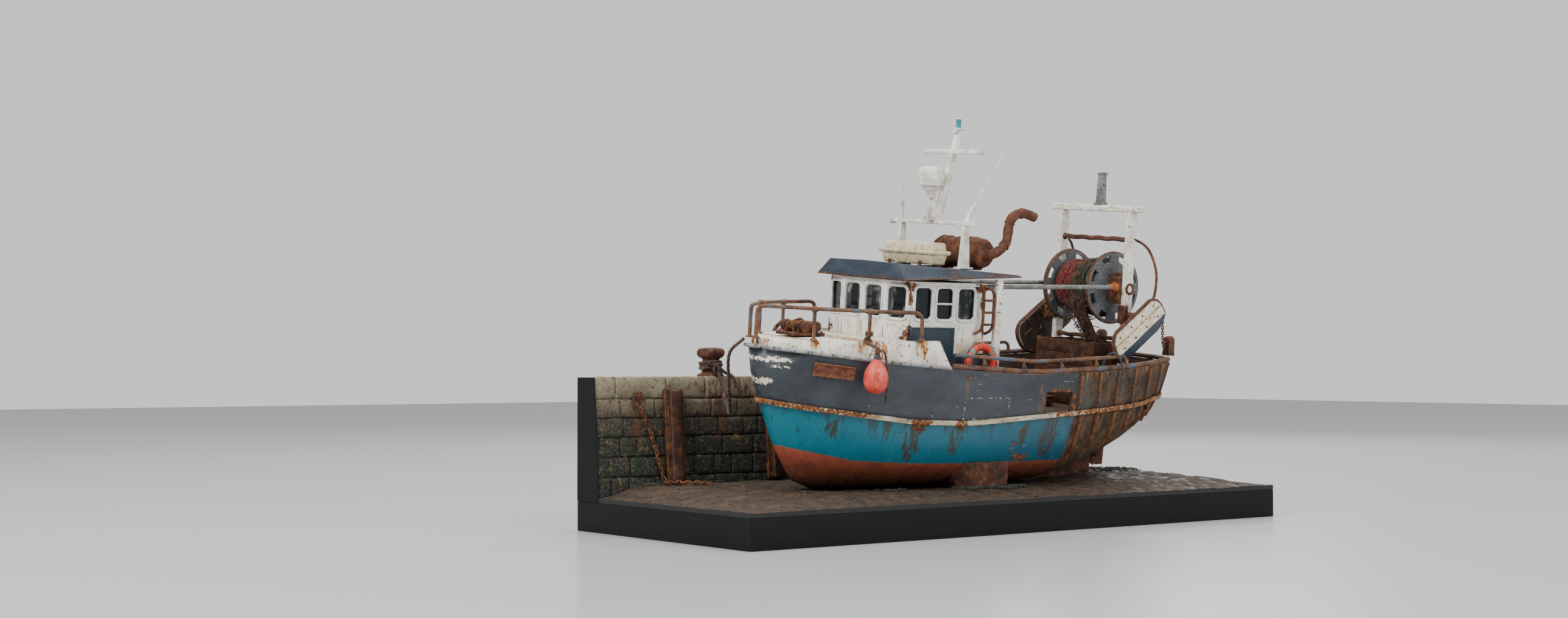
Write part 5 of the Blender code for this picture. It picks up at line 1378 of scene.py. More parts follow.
@dataclass
class Studio:
    """The camera at the photograph's angle, a pale floor and plain soft light."""

    lens: float = 47.635
    yaw: float = math.radians(-127.074)
    pitch: float = math.radians(1.4657)
    eye: tuple = (0.7332, 0.8320, 0.0857)
    floor_half: float = 3.0
    sky: float = 0.72
    backdrop: float = 1.25

    def camera(self) -> None:
        """Set the camera up where the photograph was taken from."""
        data = bpy.data.cameras.new("camera")
        data.lens = self.lens
        data.sensor_width = 36.0
        data.clip_start = 0.01
        view = bpy.data.objects.new("camera", data)
        bpy.context.scene.collection.objects.link(view)
        ahead = Vector((math.cos(self.yaw) * math.cos(self.pitch),
                        math.sin(self.yaw) * math.cos(self.pitch), math.sin(self.pitch)))
        view.rotation_euler = ahead.to_track_quat("-Z", "Y").to_euler()
        view.location = self.eye
        bpy.context.scene.camera = view

    def lights(self) -> None:
        """Hang soft lamps: a key over the bow, a fill, a rim from behind and a pale sky."""
        for name, place, size, power, tint in (
                ("key", (1.15, 0.15, 1.0), 0.8, 23.0, (1.0, 0.99, 0.97)),
                ("fill", (-0.35, 1.3, 0.75), 1.2, 12.5, (0.99, 0.99, 1.0)),
                ("top", (-0.2, -0.1, 1.25), 1.0, 10.0, (1.0, 1.0, 1.0)),
                ("rim", (-0.9, -0.8, 0.7), 0.6, 7.0, (1.0, 1.0, 1.0))):
            data = bpy.data.lights.new(name, "AREA")
            data.shape = "SQUARE"
            data.size = size
            data.energy = power
            data.color = tint
            lamp = bpy.data.objects.new(name, data)
            bpy.context.scene.collection.objects.link(lamp)
            lamp.location = place
            aim = Vector((0.0, 0.0, 0.08)) - Vector(place)
            lamp.rotation_euler = aim.to_track_quat("-Z", "Y").to_euler()
        world = bpy.data.worlds.new("studio")
        world.use_nodes = True
        sky = world.node_tree.nodes["Background"]
        sky.inputs["Color"].default_value = linear("#dcdcdc")
        tree = world.node_tree
        seen = tree.nodes.new("ShaderNodeLightPath")
        strength = tree.nodes.new("ShaderNodeMapRange")
        strength.inputs["To Min"].default_value = self.sky
        strength.inputs["To Max"].default_value = self.backdrop
        tree.links.new(seen.outputs["Is Camera Ray"], strength.inputs["Value"])
        tree.links.new(strength.outputs["Result"], sky.inputs["Strength"])
        bpy.context.scene.world = world

    def floor(self) -> None:
        """Lay a pale, faintly glossy flat floor."""
        s = Surface("studio_floor", Space.WORLD)
        soft = s.mottle(900.0, 0.2, 0.8, seed=1)
        material = s.dress(s.cover("#c9c9c9", [(soft, "#cfcfcf")]), 0.22)
        half = self.floor_half * 1000.0
        form = Form().sheet(2, 2, lambda u, v: ((u - 0.5) * 2 * half, (v - 0.5) * 2 * half, 0.0))
        ground = form.make("studio_floor_sheet", material, body="", space=Space.WORLD)


@dataclass
class Quay:
    """The slab, the mud on it and the stone wall with its fender posts, ring and chain."""

    nodes: dict
    length: float = 360.0
    width: float = 149.0
    slab: float = 15.0
    edge: float = 17.5
    wall_top: float = 77.9
    thick_top: float = 15.8
    thick_foot: float = 20.5
    aft_end: float = -150.0
    courses: tuple = (17.0, 27.2, 37.4, 47.4, 57.0, 66.6, 77.9)
    chain: tuple = ((154.7, 63.2), (151.0, 56.0), (148.4, 49.4), (146.0, 42.0), (143.6, 33.7),
                    (142.2, 28.6))
    tail: tuple = ((141.2, -51.0), (139.2, -46.5), (136.0, -42.0), (131.0, -38.5), (124.0, -37.0))

    def face(self, z: float) -> float:
        """Give the place of the wall's face at a height."""
        share = (z - self.slab) / (self.wall_top - self.slab)
        return -self.width / 2 + self.thick_foot + (self.thick_top - self.thick_foot) * share

    def ground(self, x: float, y: float) -> float:
        """Give the height of the mud."""
        rim = min(self.length / 2 - abs(x), self.width / 2 - y)
        if x < self.aft_end:
            rim = min(rim, self.width / 2 + y)
        shelf = min(1.0, max(0.0, rim / 30.0))
        shelf = shelf * shelf * (3.0 - 2.0 * shelf)
        inland = min(1.0, max(0.0, (-8.0 - y) / 40.0))
        bank = 4.2 * math.exp(-(((x + 118.0) / 42.0) ** 2) - ((y - 2.0) / 38.0) ** 2)
        ripple = 0.3 * math.sin(x * 0.21 + y * 0.13) * math.sin(y * 0.17 - x * 0.06)
        return self.edge + (3.6 + 1.9 * inland) * shelf + bank + ripple * shelf

    def build_slab(self, black: bpy.types.Material) -> None:
        """Round off the slab's edges a little."""
        Form().block((0, 0, self.slab / 2), (self.length, self.width, self.slab), 0.5, 2).make(
            "display_slab", black, slot="black_paint", space=Space.WORLD, replaces=["plinth"])

    def build_mud(self, mud: bpy.types.Material) -> None:
        """Spread a fine, lumpy bed over the slab, with ragged edges."""
        half_x, half_y = self.length / 2 - 0.15, self.width / 2 - 0.15

        def place(u: float, v: float) -> Point:
            x, y = (2 * u - 1) * half_x, (2 * v - 1) * half_y
            lump = noise.fractal(Vector((x, y, 0)) / 6.0, 0.9, 2.2, 5) * 0.45
            grit = noise.noise(Vector((x, y, 3.0)) * 1.1) * 0.14
            return (x, y, self.ground(x, y) + lump + grit - 0.1)

        bed = Form().sheet(300, 124, place)
        rim = [edge for edge in bed.work.edges if edge.is_boundary]
        made = bmesh.ops.extrude_edge_only(bed.work, edges=rim)["geom"]
        for item in made:
            if isinstance(item, bmesh.types.BMVert):
                item.co.z = self.slab + 0.06
        loop = [item for item in made if isinstance(item, bmesh.types.BMEdge) and item.is_boundary]
        bmesh.ops.edgeloop_fill(bed.work, edges=loop)
        bmesh.ops.recalc_face_normals(bed.work, faces=bed.work.faces)
        bed.make("mud_bed", mud, slot="mud", space=Space.WORLD, replaces=["ground"], angle=60.0)

    def build_wall(self, stone: bpy.types.Material, black: bpy.types.Material) -> None:
        """Lay the wall in courses of rough blocks before a core, with its ends and back black."""
        rng = random.Random(11)
        back = -self.width / 2
        section = [(back, self.slab + 0.06), (self.face(self.slab) - 1.6, self.slab + 0.06),
                   (self.face(self.wall_top) - 1.6, self.wall_top - 1.0), (back, self.wall_top - 1.0)]
        core = Form().prism(section, self.aft_end + 0.4, self.length / 2 - 0.6, "X")
        core.make("wall_core", stone, slot="stone", space=Space.WORLD, replaces=["quay_wall"])
        form = Form()
        for low, high in zip(self.courses, self.courses[1:]):
            x = self.aft_end + 0.3 + (rng.random() * 6.0 if low > 20 else 0.0)
            cope = high == self.courses[-1]
            starts = [self.aft_end + 0.3]
            while x < self.length / 2 - 9.0:
                x += rng.uniform(20.0, 34.0) if cope else rng.uniform(9.0, 21.0)
                starts.append(min(x, self.length / 2 - 0.5))
            if starts[-1] < self.length / 2 - 0.5:
                starts.append(self.length / 2 - 0.5)
            for a, b in zip(starts, starts[1:]):
                if b - a > 2.0:
                    self.add_block(form, a, b, low, high, cope, rng)
        form.make("wall_blocks", stone, slot="stone", space=Space.WORLD, angle=50.0)
        end = self.length / 2
        cheek = [(back, self.slab + 0.06), (self.face(self.slab) - 0.1, self.slab + 0.06),
                 (self.face(self.wall_top) - 0.1, self.wall_top), (back, self.wall_top)]
        form = Form().prism(cheek, end - 0.55, end, "X")
        form.prism(cheek, self.aft_end, self.aft_end + 0.4, "X")
        form.block((15.0, back + 0.25, (self.slab + self.wall_top) / 2), (self.length - 30.0, 0.5,
                   self.wall_top - self.slab - 0.1), 0.1)
        form.make("wall_end_faces", black, slot="black_paint", space=Space.WORLD)

    def add_block(self, form: Form, a: float, b: float, low: float, high: float, cope: bool,
                  rng: random.Random) -> None:
        """Add one dressed stone to the wall.

        Args:
            form: The form that takes it.
            a: Where it starts along the wall.
            b: Where it ends.
            low: Its foot.
            high: Its top.
            cope: Whether it is one of the top course.
            rng: Where its unevenness comes from.
        """
        middle = (low + high) / 2
        depth = self.face(middle) - (-self.width / 2) - 0.6 if cope else 4.0
        proud = rng.uniform(-0.55, 0.0)
        joint = 0.16
        part = Form().block((0, 0, 0), (b - a - joint, depth, high - low - joint), 0.9, 2)
        part.finer(3.2)
        part.roughen(0.55, 3.0, rng.randrange(90))
        lean = math.atan2(self.thick_foot - self.thick_top, self.wall_top - self.slab)
        turn = Matrix.Rotation(lean, 3, "X")
        centre = ((a + b) / 2, self.face(middle) - depth / 2 + proud - 0.35, middle - (0.1 if cope else 0))
        form.join(part.placed(centre, turn))

    def build_fenders(self, iron: bpy.types.Material) -> None:
        """Bolt a wide plank and a worn rail to the wall for each post."""
        for number, x in enumerate((133.5, 69.0, 4.5, -60.0, -124.5), start=1):
            low, high = 24.0, 72.0
            lean = math.atan2(self.face(low) - self.face(high), high - low)
            turn = Matrix.Rotation(lean, 3, "X")
            middle = (low + high) / 2
            form = Form()
            plank = Form().block((0, -1.4, 0), (11.6, 2.4, high - low), 0.5, 2)
            rail = Form().block((0.9, 1.1, -0.3), (6.4, 3.2, high - low - 1.0), 0.8, 3)
            for part in (plank, rail):
                part.finer(3.0)
                form.join(part.roughen(0.4, 4.0, number))
            for z in (-19.0, -2.0, 16.0):
                form.turned(((0.0, 0.7), (0.75, 0.6), (0.95, 0.0), (0.0, 0.0)), (-3.9, -0.4, z),
                            (0, 1, 0), 8)
            form.placed((x, self.face(middle) + 2.7, middle), turn)
            form.make(f"fender_rail_{number}", iron, slot="timber", space=Space.WORLD,
                      replaces=[f"fender_post_{number}"])

    def build_chain(self, rust: bpy.types.Material) -> None:
        """Hang a chain of links from the ring in the wall and lay its tail on the mud."""
        form = Form()
        top = (154.7, self.face(66.0) + 1.5, 66.0)
        form.ring(top, 3.0, 0.75, (0.15, 1.0, 0.1), 20, 8)
        form.block((154.7, self.face(68.6) + 0.9, 68.6), (4.6, 1.8, 4.6), 0.5)
        form.rod([(154.7, self.face(69) + 0.6, 70.6), (154.7, self.face(69) + 2.6, 69.8),
                  (154.7, self.face(69) + 2.4, 68.4)], 0.7, 8)
        route = [(x, self.face(z) + 1.7, z) for x, z in self.chain]
        route += [(x, y, self.ground(x, y) + 1.5) for x, y in self.tail]
        points = even(curve(route, 8), 2.35)
        for i, frame in enumerate(path_frames(points)):
            link = Form()
            oval = []
            for k in range(13):
                angle = 2.0 * math.pi * k / 12
                oval.append((math.cos(angle) * 0.85, 0.0, math.sin(angle) * 0.85
                             + (0.85 if math.sin(angle) > 0 else -0.85)))
            link.rod(oval, 0.36, 5)
            turn = Matrix.Rotation(math.pi / 2 * (i % 2) + 0.3, 4, "Z")
            bmesh.ops.transform(link.work, matrix=frame @ turn, verts=link.work.verts)
            form.join(link)
        form.make("chain_links", rust, slot="rusted_steel", space=Space.WORLD,
                  replaces=["wall_chain"])

    def build_weed(self, weed: bpy.types.Material, pebble: bpy.types.Material) -> None:
        """Scatter weed round the leg and the wall's foot, and pebbles over the mud."""
        rng = random.Random(5)
        lines = []
        clumps = ((-9.0, 46.0, 3.0, 80), (4.0, 46.5, 5.0, 60), (20.0, 45.0, 3.6, 90),
                  (62.0, 34.0, 4.0, 24),
                  (150.0, -51.0, 4.0, 36), (118.0, -51.5, 4.0, 26), (-128.0, 4.0, 10.0, 60),
                  (-112.0, 12.0, 6.0, 26), (-24.0, -22.0, 5.0, 20), (40.0, -50.0, 6.0, 26),
                  (-90.0, -49.0, 6.0, 24))
        for cx, cy, spread, count in clumps:
            for _ in range(count):
                x, y = cx + rng.gauss(0, spread), cy + rng.gauss(0, spread * 0.4)
                y = max(y, self.face(24.0) + 1.2)
                heading = rng.uniform(0, 2 * math.pi)
                line = []
                for k in range(5):
                    heading += rng.uniform(-0.7, 0.7)
                    x += math.cos(heading) * 0.9
                    y = max(y + math.sin(heading) * 0.9, self.face(24.0) + 1.0)
                    lift = 0.35 + 1.1 * math.sin(k * 0.8) * rng.random()
                    line.append((x, y, self.ground(x, y) + lift))
                lines.append(line)
        strands("weed_clumps", lines, 0.24, weed, space=Space.WORLD)
        form = Form()
        for _ in range(240):
            x, y = rng.uniform(-174, 174), rng.uniform(-46, 70)
            size = 0.35 + 0.75 * rng.random() ** 2
            part = Form()
            bmesh.ops.create_icosphere(part.work, subdivisions=1, radius=size)
            bmesh.ops.scale(part.work, vec=(1.2, 0.9, 0.6), verts=part.work.verts)
            part.roughen(size * 0.5, 0.8, rng.randrange(50))
            form.join(part.placed((x, y, self.ground(x, y) + size * 0.12 - 0.1)))
        form.make("shingle", pebble, slot="mud", space=Space.WORLD, angle=20.0)


@dataclass
class Mooring:
    """The bow line, its turns on the bollard and the cord end over the low rail."""

    radius: float = 0.9
    start: tuple = (134.0, -5.0, 75.6)
    route: tuple = ((131.5, -9.5, 90.0), (127.6, -15.5, 76.0), (121.0, -24.0, 64.2),
                    (114.0, -33.5, 59.4), (108.5, -43.0, 61.5), (105.0, -52.0, 70.0),
                    (103.3, -58.4, 80.5), (103.0, -58.3, 82.2))
    post: tuple = (103.0, -66.3)
    wall_top: float = 77.9
    quarter: tuple = ((-66.8, 44.2, 56.0), (-67.0, 44.0, 65.0), (-68.6, 44.8, 71.0),
                      (-70.8, 47.2, 73.6), (-73.6, 49.6, 71.4), (-76.0, 49.6, 66.5),
                      (-77.0, 49.1, 60.0), (-77.2, 48.8, 54.0))
    quarter_radius: float = 0.55

    def lay_cord(self, name: str, route: Sequence[Point], radius: float,
                 material: bpy.types.Material, node: str, slot: str,
                 lobes: int) -> None:
        """Draw one cord along its route.

        Args:
            name: The piece's name.
            route: Its points in the world, in millimetres.
            radius: Its radius.
            material: Its finish.
            node: The node that it replaces.
            slot: The record's material slot.
            lobes: How many strands it is laid from.
        """
        points = even(curve(route, 12), radius * 1.5)
        form = Form().rod(points, radius, 12, lobes=lobes, twist=0.55 / radius)
        piece = form.make(name, material, slot=slot, space=Space.WORLD, replaces=[node], angle=70.0)

    def build_cords(self, rope: bpy.types.Material, cable: bpy.types.Material) -> None:
        """Lay the bow line and the quarter cord."""
        boat = Space.BOAT.matrix()
        first = boat @ Vector(self.start) * 1000.0
        self.lay_cord("bow_line", [first] + [Vector(p) for p in self.route], self.radius, rope,
                      "mooring_rope", "rope", 3)
        self.lay_cord("quarter_line", [boat @ Vector(p) * 1000.0 for p in self.quarter],
                      self.quarter_radius, cable, "quarter_cord", "cable", 0)

    def build_bollard(self, rust: bpy.types.Material, rope: bpy.types.Material) -> None:
        """Turn the bollard and wind the rope's turns and tail round it."""
        x, y = self.post
        top = self.wall_top
        profile = ((0.0, top + 0.05), (7.0, top + 0.05), (7.2, top + 0.6), (6.9, top + 1.3),
                   (5.2, top + 2.0), (4.5, top + 3.4), (4.3, 85.0), (4.5, 87.4), (6.4, 88.4),
                   (7.3, 89.4), (7.5, 90.8), (7.2, 92.0), (6.2, 92.9), (3.0, 93.3), (0.0, 93.4))
        form = Form().turned(profile, (x, y, 0.0), steps=28)
        form.finer(2.6)
        form.roughen(0.28, 3.0, 4)
        for k in range(6):
            angle = math.pi / 3 * k
            form.turned(((0.0, 0.7), (0.7, 0.6), (0.8, 0.0), (0.0, 0.0)),
                        (x + 6.0 * math.cos(angle), y + 6.0 * math.sin(angle), top + 1.2), steps=8)
        form.make("bollard_casting", rust, slot="rusted_steel", space=Space.WORLD,
                  replaces=["bollard"])
        turns = []
        for k in range(85):
            angle = 2.0 * math.pi * k / 26 + 1.2
            reach = 5.5 + 0.35 * math.sin(k * 0.37)
            turns.append((x + reach * math.cos(angle), y + reach * math.sin(angle),
                          81.4 + 4.6 * k / 84 + 0.3 * math.sin(k * 0.5)))
        form = Form().rod(turns, 0.9, 9, lobes=3, twist=0.6)
        tail = [(x + 5.2, y + 2.6, 86.0), (x + 4.4, y + 5.6, 84.8), (x - 0.6, y + 6.8, 82.6),
                (x - 4.6, y + 7.0, 80.0), (x - 7.2, y + 8.0, 78.9), (x - 8.8, y + 8.9, 76.8),
                (x - 9.2, y + 10.0, 72.0)]
        form.rod(even(curve(tail, 6), 1.3), 0.95, 9, lobes=3, twist=0.6)
        loop = [(x - 1.0, y + 6.0, 84.6), (x + 2.6, y + 6.6, 82.4), (x + 1.2, y + 7.2, 79.6),
                (x - 3.0, y + 7.4, 80.8), (x - 5.8, y + 6.4, 79.6)]
        form.rod(even(curve(loop, 6), 1.3), 0.85, 9, lobes=3, twist=0.6)
        form.make("bollard_turns", rope, slot="rope", space=Space.WORLD,
                  replaces=["mooring_turns"], angle=70.0)


@dataclass
class HullWork:
    """What is fixed to the hull: its capping, the foredeck's lip, bitts, legs, keel and screw."""

    nodes: dict
    refit: Refit
    leg_x: float = -6.0
    gunwale_lift: float = 1.4

    def build_capping(self, rust: bpy.types.Material) -> None:
        """Run a half-round cap along the bulwark and forward under the raised bow."""
        form = Form()
        for side in (1, -1):
            xs = [131.0 - 4.2 * k for k in range(22)]
            path = []
            for x in xs:
                z = lookup(SHEER, x)
                point = hull_side(min(x, lookup(STEM, z) - 1.5), z, 0.15)
                path.append((point.x, side * point.y, z + 0.1))
            form.rod(path, 1.0, 8, flat=0.8)
        nose = lookup(SHEER, 133.0)
        form.rod([(130.4, 5.2, nose), (132.8, 3.2, nose + 0.1), (133.9, 0.0, nose + 0.1),
                  (132.8, -3.2, nose + 0.1), (130.4, -5.2, nose)], 1.0, 8, flat=0.8)
        form.roughen(0.12, 1.5, 2)
        form.make("bow_capping", rust, slot="rusted_steel")

    def build_brackets(self, rust: bpy.types.Material) -> None:
        """Weld brackets inside the after bulwark and lay the hatch and its coaming."""
        form = Form()
        for side in (1, -1):
            for x in (-110.0, -60.0, -44.0, -24.0, -2.0):
                z = lookup(SHEER, x)
                y = half_breadth(x, 60.0) - 3.2
                form.block((x, side * y, (DECK_Z + z) / 2), (0.9, 2.6, z - DECK_Z - 0.6), 0.2)
        form.block((-48.0, 0.0, DECK_Z + 2.6), (30.0, 26.0, 4.6), 0.5)
        form.block((-48.0, 0.0, DECK_Z + 5.4), (31.6, 27.6, 1.2), 0.4)
        for x in (-58.0, -38.0):
            form.rod([(x, -4.0, DECK_Z + 6.0), (x, -4.0, DECK_Z + 7.4), (x, 4.0, DECK_Z + 7.4),
                      (x, 4.0, DECK_Z + 6.0)], 0.4, 6)
        form.make("deck_hatch", rust, slot="rusted_steel")

    def build_legs(self, rust: bpy.types.Material) -> None:
        """Round off the docking legs, the keel and the rudder."""
        for name in ("bilge_leg_port", "bilge_leg_starboard", "keel"):
            self.refit.round_off(name, rust, 0.35, 2, "rusted_steel", rough=0.22, grain=4.0,
                                 fine=5.0)
        self.refit.round_off("rudder", rust, 0.2, 1, "rusted_steel", body="rudder_blade")

    def build_screw(self, bronze: bpy.types.Material) -> None:
        """Cast the four blades of the screw as twisted, dished plates on a hub."""
        shaft = Vector((-107.2, 0.0, 12.5))
        form = Form().turned(((0.0, 2.1), (0.9, 2.0), (1.7, 1.5), (1.9, 0.0), (1.8, -1.4),
                              (1.2, -2.1), (0.0, -2.4)), tuple(shaft), (1, 0, 0), 20)
        for k in range(4):
            blade = Form()

            def place(u: float, v: float) -> Point:
                reach = 1.2 + 5.0 * u
                chord = 1.1 + 3.1 * math.sin(math.pi * min(1.0, 0.16 + 0.8 * u)) ** 0.8
                chord *= max(0.05, 1.0 - max(0.0, u - 0.72) ** 2 * 9.0)
                pitch = math.radians(62.0 - 34.0 * u)
                a = (v - 0.5) * chord
                return (a * math.cos(pitch) + 0.25 * math.sin(math.pi * v), a * math.sin(pitch),
                        reach)

            blade.sheet(8, 6, place, 0.35)
            turn = Matrix.Rotation(math.pi / 2 * k + 0.4, 3, "X")
            form.join(blade.placed(tuple(shaft), turn))
        form.make("screw_casting", bronze, body="screw", slot="bronze", replaces=["propeller"])

    def build_bitts(self, rust: bpy.types.Material) -> None:
        """Round off the quarter bitts."""
        for side in ("port", "starboard"):
            self.refit.round_off(f"quarter_bitt_{side}", rust, 0.35, 2, "rusted_steel", rough=0.12,
                                 grain=2.0)


@dataclass
class BowGear:
    """What stands on the foredeck: rails with welded joints, the windlass and the buoys."""

    nodes: dict
    posts: tuple = ((111.8, 22.5), (87.5, 35.4))
    line: tuple = ((131.0, 3.2), (122.0, 12.5), (111.8, 22.5), (99.6, 30.2), (87.5, 35.4),
                   (74.0, 40.0), (62.5, 43.0))

    def deck(self, x: float) -> float:
        """Give the height of the foredeck."""
        return 76.3 + (79.0 - 76.3) * (132.0 - x) / 82.0

    def build_rails(self, rust: bpy.types.Material) -> None:
        """Bend the rails smoothly, with collars at the posts and feet on the deck."""
        for side, name in ((1, "port"), (-1, "starboard")):
            route = [(132.2, side * 2.6, self.deck(131.0) + 0.2), (132.1, side * 2.7, 84.0),
                     (132.0, side * 2.8, 89.5), (130.6, side * 3.8, 92.3)]
            route += [(x, side * y, 92.6) for x, y in self.line[1:-1]]
            route += [(64.5, side * 42.6, 92.6), (61.2, side * 43.3, 90.9),
                      (60.6, side * 43.4, 86.0), (60.4, side * 43.5, self.deck(60.4) + 0.2)]
            form = Form().rod(even(curve(route, 8), 1.8), 0.98, 10)
            for x, y in self.posts:
                foot = self.deck(x) + 0.2
                form.rod([(x, side * y, foot), (x, side * y, 84.0), (x, side * y, 92.0)], 0.9, 10)
                form.turned(((0.0, 1.3), (1.5, 1.2), (1.6, 0.0), (1.5, -1.2), (0.0, -1.3)),
                            (x, side * y, 92.4), (1, 0, 0), 10)
                form.turned(((0.0, 1.2), (1.5, 0.9), (1.9, 0.0), (0.0, 0.0)),
                            (x, side * y, foot), steps=10)
            form.turned(((0.0, 1.2), (1.6, 0.9), (2.0, 0.0), (0.0, 0.0)),
                        (60.4, side * 43.5, self.deck(60.4) + 0.2), steps=10)
            form.turned(((0.0, 1.4), (1.7, 0.9), (2.2, 0.0), (0.0, 0.0)),
                        (132.2, side * 2.6, self.deck(131.0) + 0.2), steps=10)
            form.roughen(0.14, 1.4, 3)
            form.make(f"bow_rail_tubes_{name}", rust, slot="rusted_steel",
                      replaces=[f"bow_rail_{name}"])

    def build_windlass(self, rust: bpy.types.Material) -> None:
        """Build the windlass: bed, cheeks, ribbed barrels, gear wheels, brake and bolts."""
        x0, low = 100.5, self.deck(90.0) + 0.2
        form = Form().block((x0, -3.0, low + 0.8), (20.0, 15.0, 1.6), 0.4)
        for y in (-8.0, 2.0):
            form.block((x0, y, low + 3.2), (13.6, 1.6, 5.2), 0.5, taper=(0.62, 1.0))
        drum = [(0.0, -12.0), (2.2, -11.9), (2.9, -11.4), (2.2, -10.9), (1.7, -10.2), (2.2, -9.5),
                (2.9, -9.2), (2.9, -8.8), (1.9, -8.6), (1.7, -3.0), (1.9, 2.6), (2.9, 2.8),
                (2.9, 3.2), (2.2, 3.5), (1.7, 4.2), (2.2, 5.0), (2.9, 5.5), (2.2, 6.1), (0.0, 6.2)]
        for x in (-3.6, 3.6):
            form.turned(drum, (x0 + x, 0.0, low + 4.6), (0, 1, 0), 18)
            winding = []
            for k in range(100):
                angle = 2.0 * math.pi * k / 12
                winding.append((x0 + x + 2.25 * math.cos(angle), -7.6 + 0.095 * k,
                                low + 4.6 + 2.25 * math.sin(angle)))
            form.rod(winding, 0.42, 5)
        for k in range(14):
            angle = 2.0 * math.pi * k / 14
            turn = Matrix.Rotation(-angle, 3, "Y")
            form.block((x0 - 3.6 + 3.4 * math.cos(angle), -8.9, low + 4.6 + 3.4 * math.sin(angle)),
                       (0.7, 1.0, 0.7), 0.1, 1, turn)
        form.ring((x0 - 3.6, -8.9, low + 4.6), 2.9, 0.5, (0, 1, 0), 18, 6)
        form.rod([(x0 + 7.0, 0.5, low + 1.4), (x0 + 7.8, 0.5, low + 5.0), (x0 + 7.2, 0.5, low + 8.0)],
                 0.4, 6)
        for x in (-8.6, 8.6):
            for y in (-9.2, 3.2):
                form.turned(((0.0, 0.7), (0.8, 0.6), (0.9, 0.0), (0.0, 0.0)),
                            (x0 + x, y, low + 1.6), steps=6)
        form.roughen(0.14, 1.5, 8)
        form.make("windlass_gear", rust, slot="rusted_steel", replaces=["windlass"])

    def build_buoys(self, plastic: bpy.types.Material, rope: bpy.types.Material,
                    dark: bpy.types.Material) -> None:
        """Mould the two buoys and hang each from its rail post by a doubled rope."""
        post = self.posts[1]
        for side, name, x, z in ((1, "port", 86.2, 60.6), (-1, "starboard", 86.0, 43.0)):
            step = 0.5
            slope = (half_breadth(x + step, z) - half_breadth(x - step, z)) / (2 * step)
            out = Vector((-slope, 1.0, 0.0)).normalized() * 8.0
            centre = Vector((x + out.x, side * (half_breadth(x, z) + out.y), z))
            profile = ((0.0, 10.7), (1.2, 10.5), (1.6, 9.6), (2.1, 8.5), (3.5, 6.9), (5.2, 4.0),
                       (6.05, 0.6), (5.95, -2.4), (4.9, -5.2), (2.8, -7.0), (0.95, -7.65), (0.0, -7.7))
            body = Form().turned(profile, tuple(centre), steps=32, smooth_steps=3)
            body.make(f"buoy_body_{name}", plastic, slot="orange_red")
            eye = Form().turned(((0.0, 11.6), (1.0, 11.5), (1.5, 10.9), (1.7, 10.0), (1.9, 9.3),
                                 (0.0, 9.2)), tuple(centre), steps=20)
            eye.ring((centre.x, centre.y, centre.z + 11.2), 1.3, 0.5, (1, 0, 0), 16, 6)
            eye.make(f"buoy_eye_{name}", dark, slot="rope")
            clear = 1.5 * math.sqrt(0.5)
            end = Vector((post[0] + clear, side * (post[1] + clear), self.deck(post[0]) + 3.6))
            top = centre + Vector((0.0, 0.0, 11.9))
            lip = Vector((post[0] + 3.4, side * (half_breadth(post[0] + 3.4, 66.0) + 1.6), 77.0))
            ropes = Form()
            climb = (0.4, 0.75) if side < 0 else ()
            for shift in (-0.75, 0.75):
                way = [top + Vector((shift * 0.6, 0, -0.4)), top + Vector((shift, side * 0.4, 2.4)),
                       *[top.lerp(lip, share) + Vector((shift, side * 0.5, 0)) for share in climb],
                       lip + Vector((shift, 0, 0.8)), end + Vector((shift, side * 0.6, -0.4)), end]
                ropes.rod(even(curve(way, 8), 0.8), 0.6, 9, lobes=3, twist=1.1)
            for turn in (0.0, 1.1):
                ropes.ring((post[0], side * post[1], self.deck(post[0]) + 3.2 + turn), 1.5, 0.6,
                           (0.1, 0.1, 1.0), 14, 7)
            knot = top + Vector((0.0, side * 0.3, 1.2))
            for tilt in ((1, 0, 0.4), (0.3, 0.2, 1.0)):
                ropes.ring(tuple(knot), 1.1, 0.65, tilt, 12, 7)
            tail = [knot, knot + Vector((-2.6, side * 1.0, 0.4)), knot + Vector((-4.4, side * 1.0, -2.6)),
                    centre + Vector((-6.8, side * 0.6, 2.0)),
                    centre + Vector((-7.0, side * 0.5, -6.0)), centre + Vector((-6.6, side * 0.4, -11.6))]
            ropes.rod(even(curve(tail, 8), 0.8), 0.55, 9, lobes=3, twist=1.1)
            ropes.make(f"buoy_rope_{name}", rope, slot="rope", replaces=[f"buoy_{name}"],
                       angle=70.0)

    def build_plates(self, rust: bpy.types.Material) -> None:
        """Cast the blank name plates with a raised border and bolts at their corners."""
        places = (94.4, 99.9, 105.6, 111.4)
        lows, highs = (58.6, 59.0, 59.5, 60.0), (65.2, 65.7, 66.3, 66.9)

        def on_plate(side: int, u: float, v: float, out: float) -> Vector:
            x = places[0] + (places[-1] - places[0]) * u
            z = (lows[0] + (lows[-1] - lows[0]) * u) * (1 - v) + (
                highs[0] + (highs[-1] - highs[0]) * u) * v
            point = hull_side(x, z, out)
            return Vector((point.x, side * point.y, point.z))

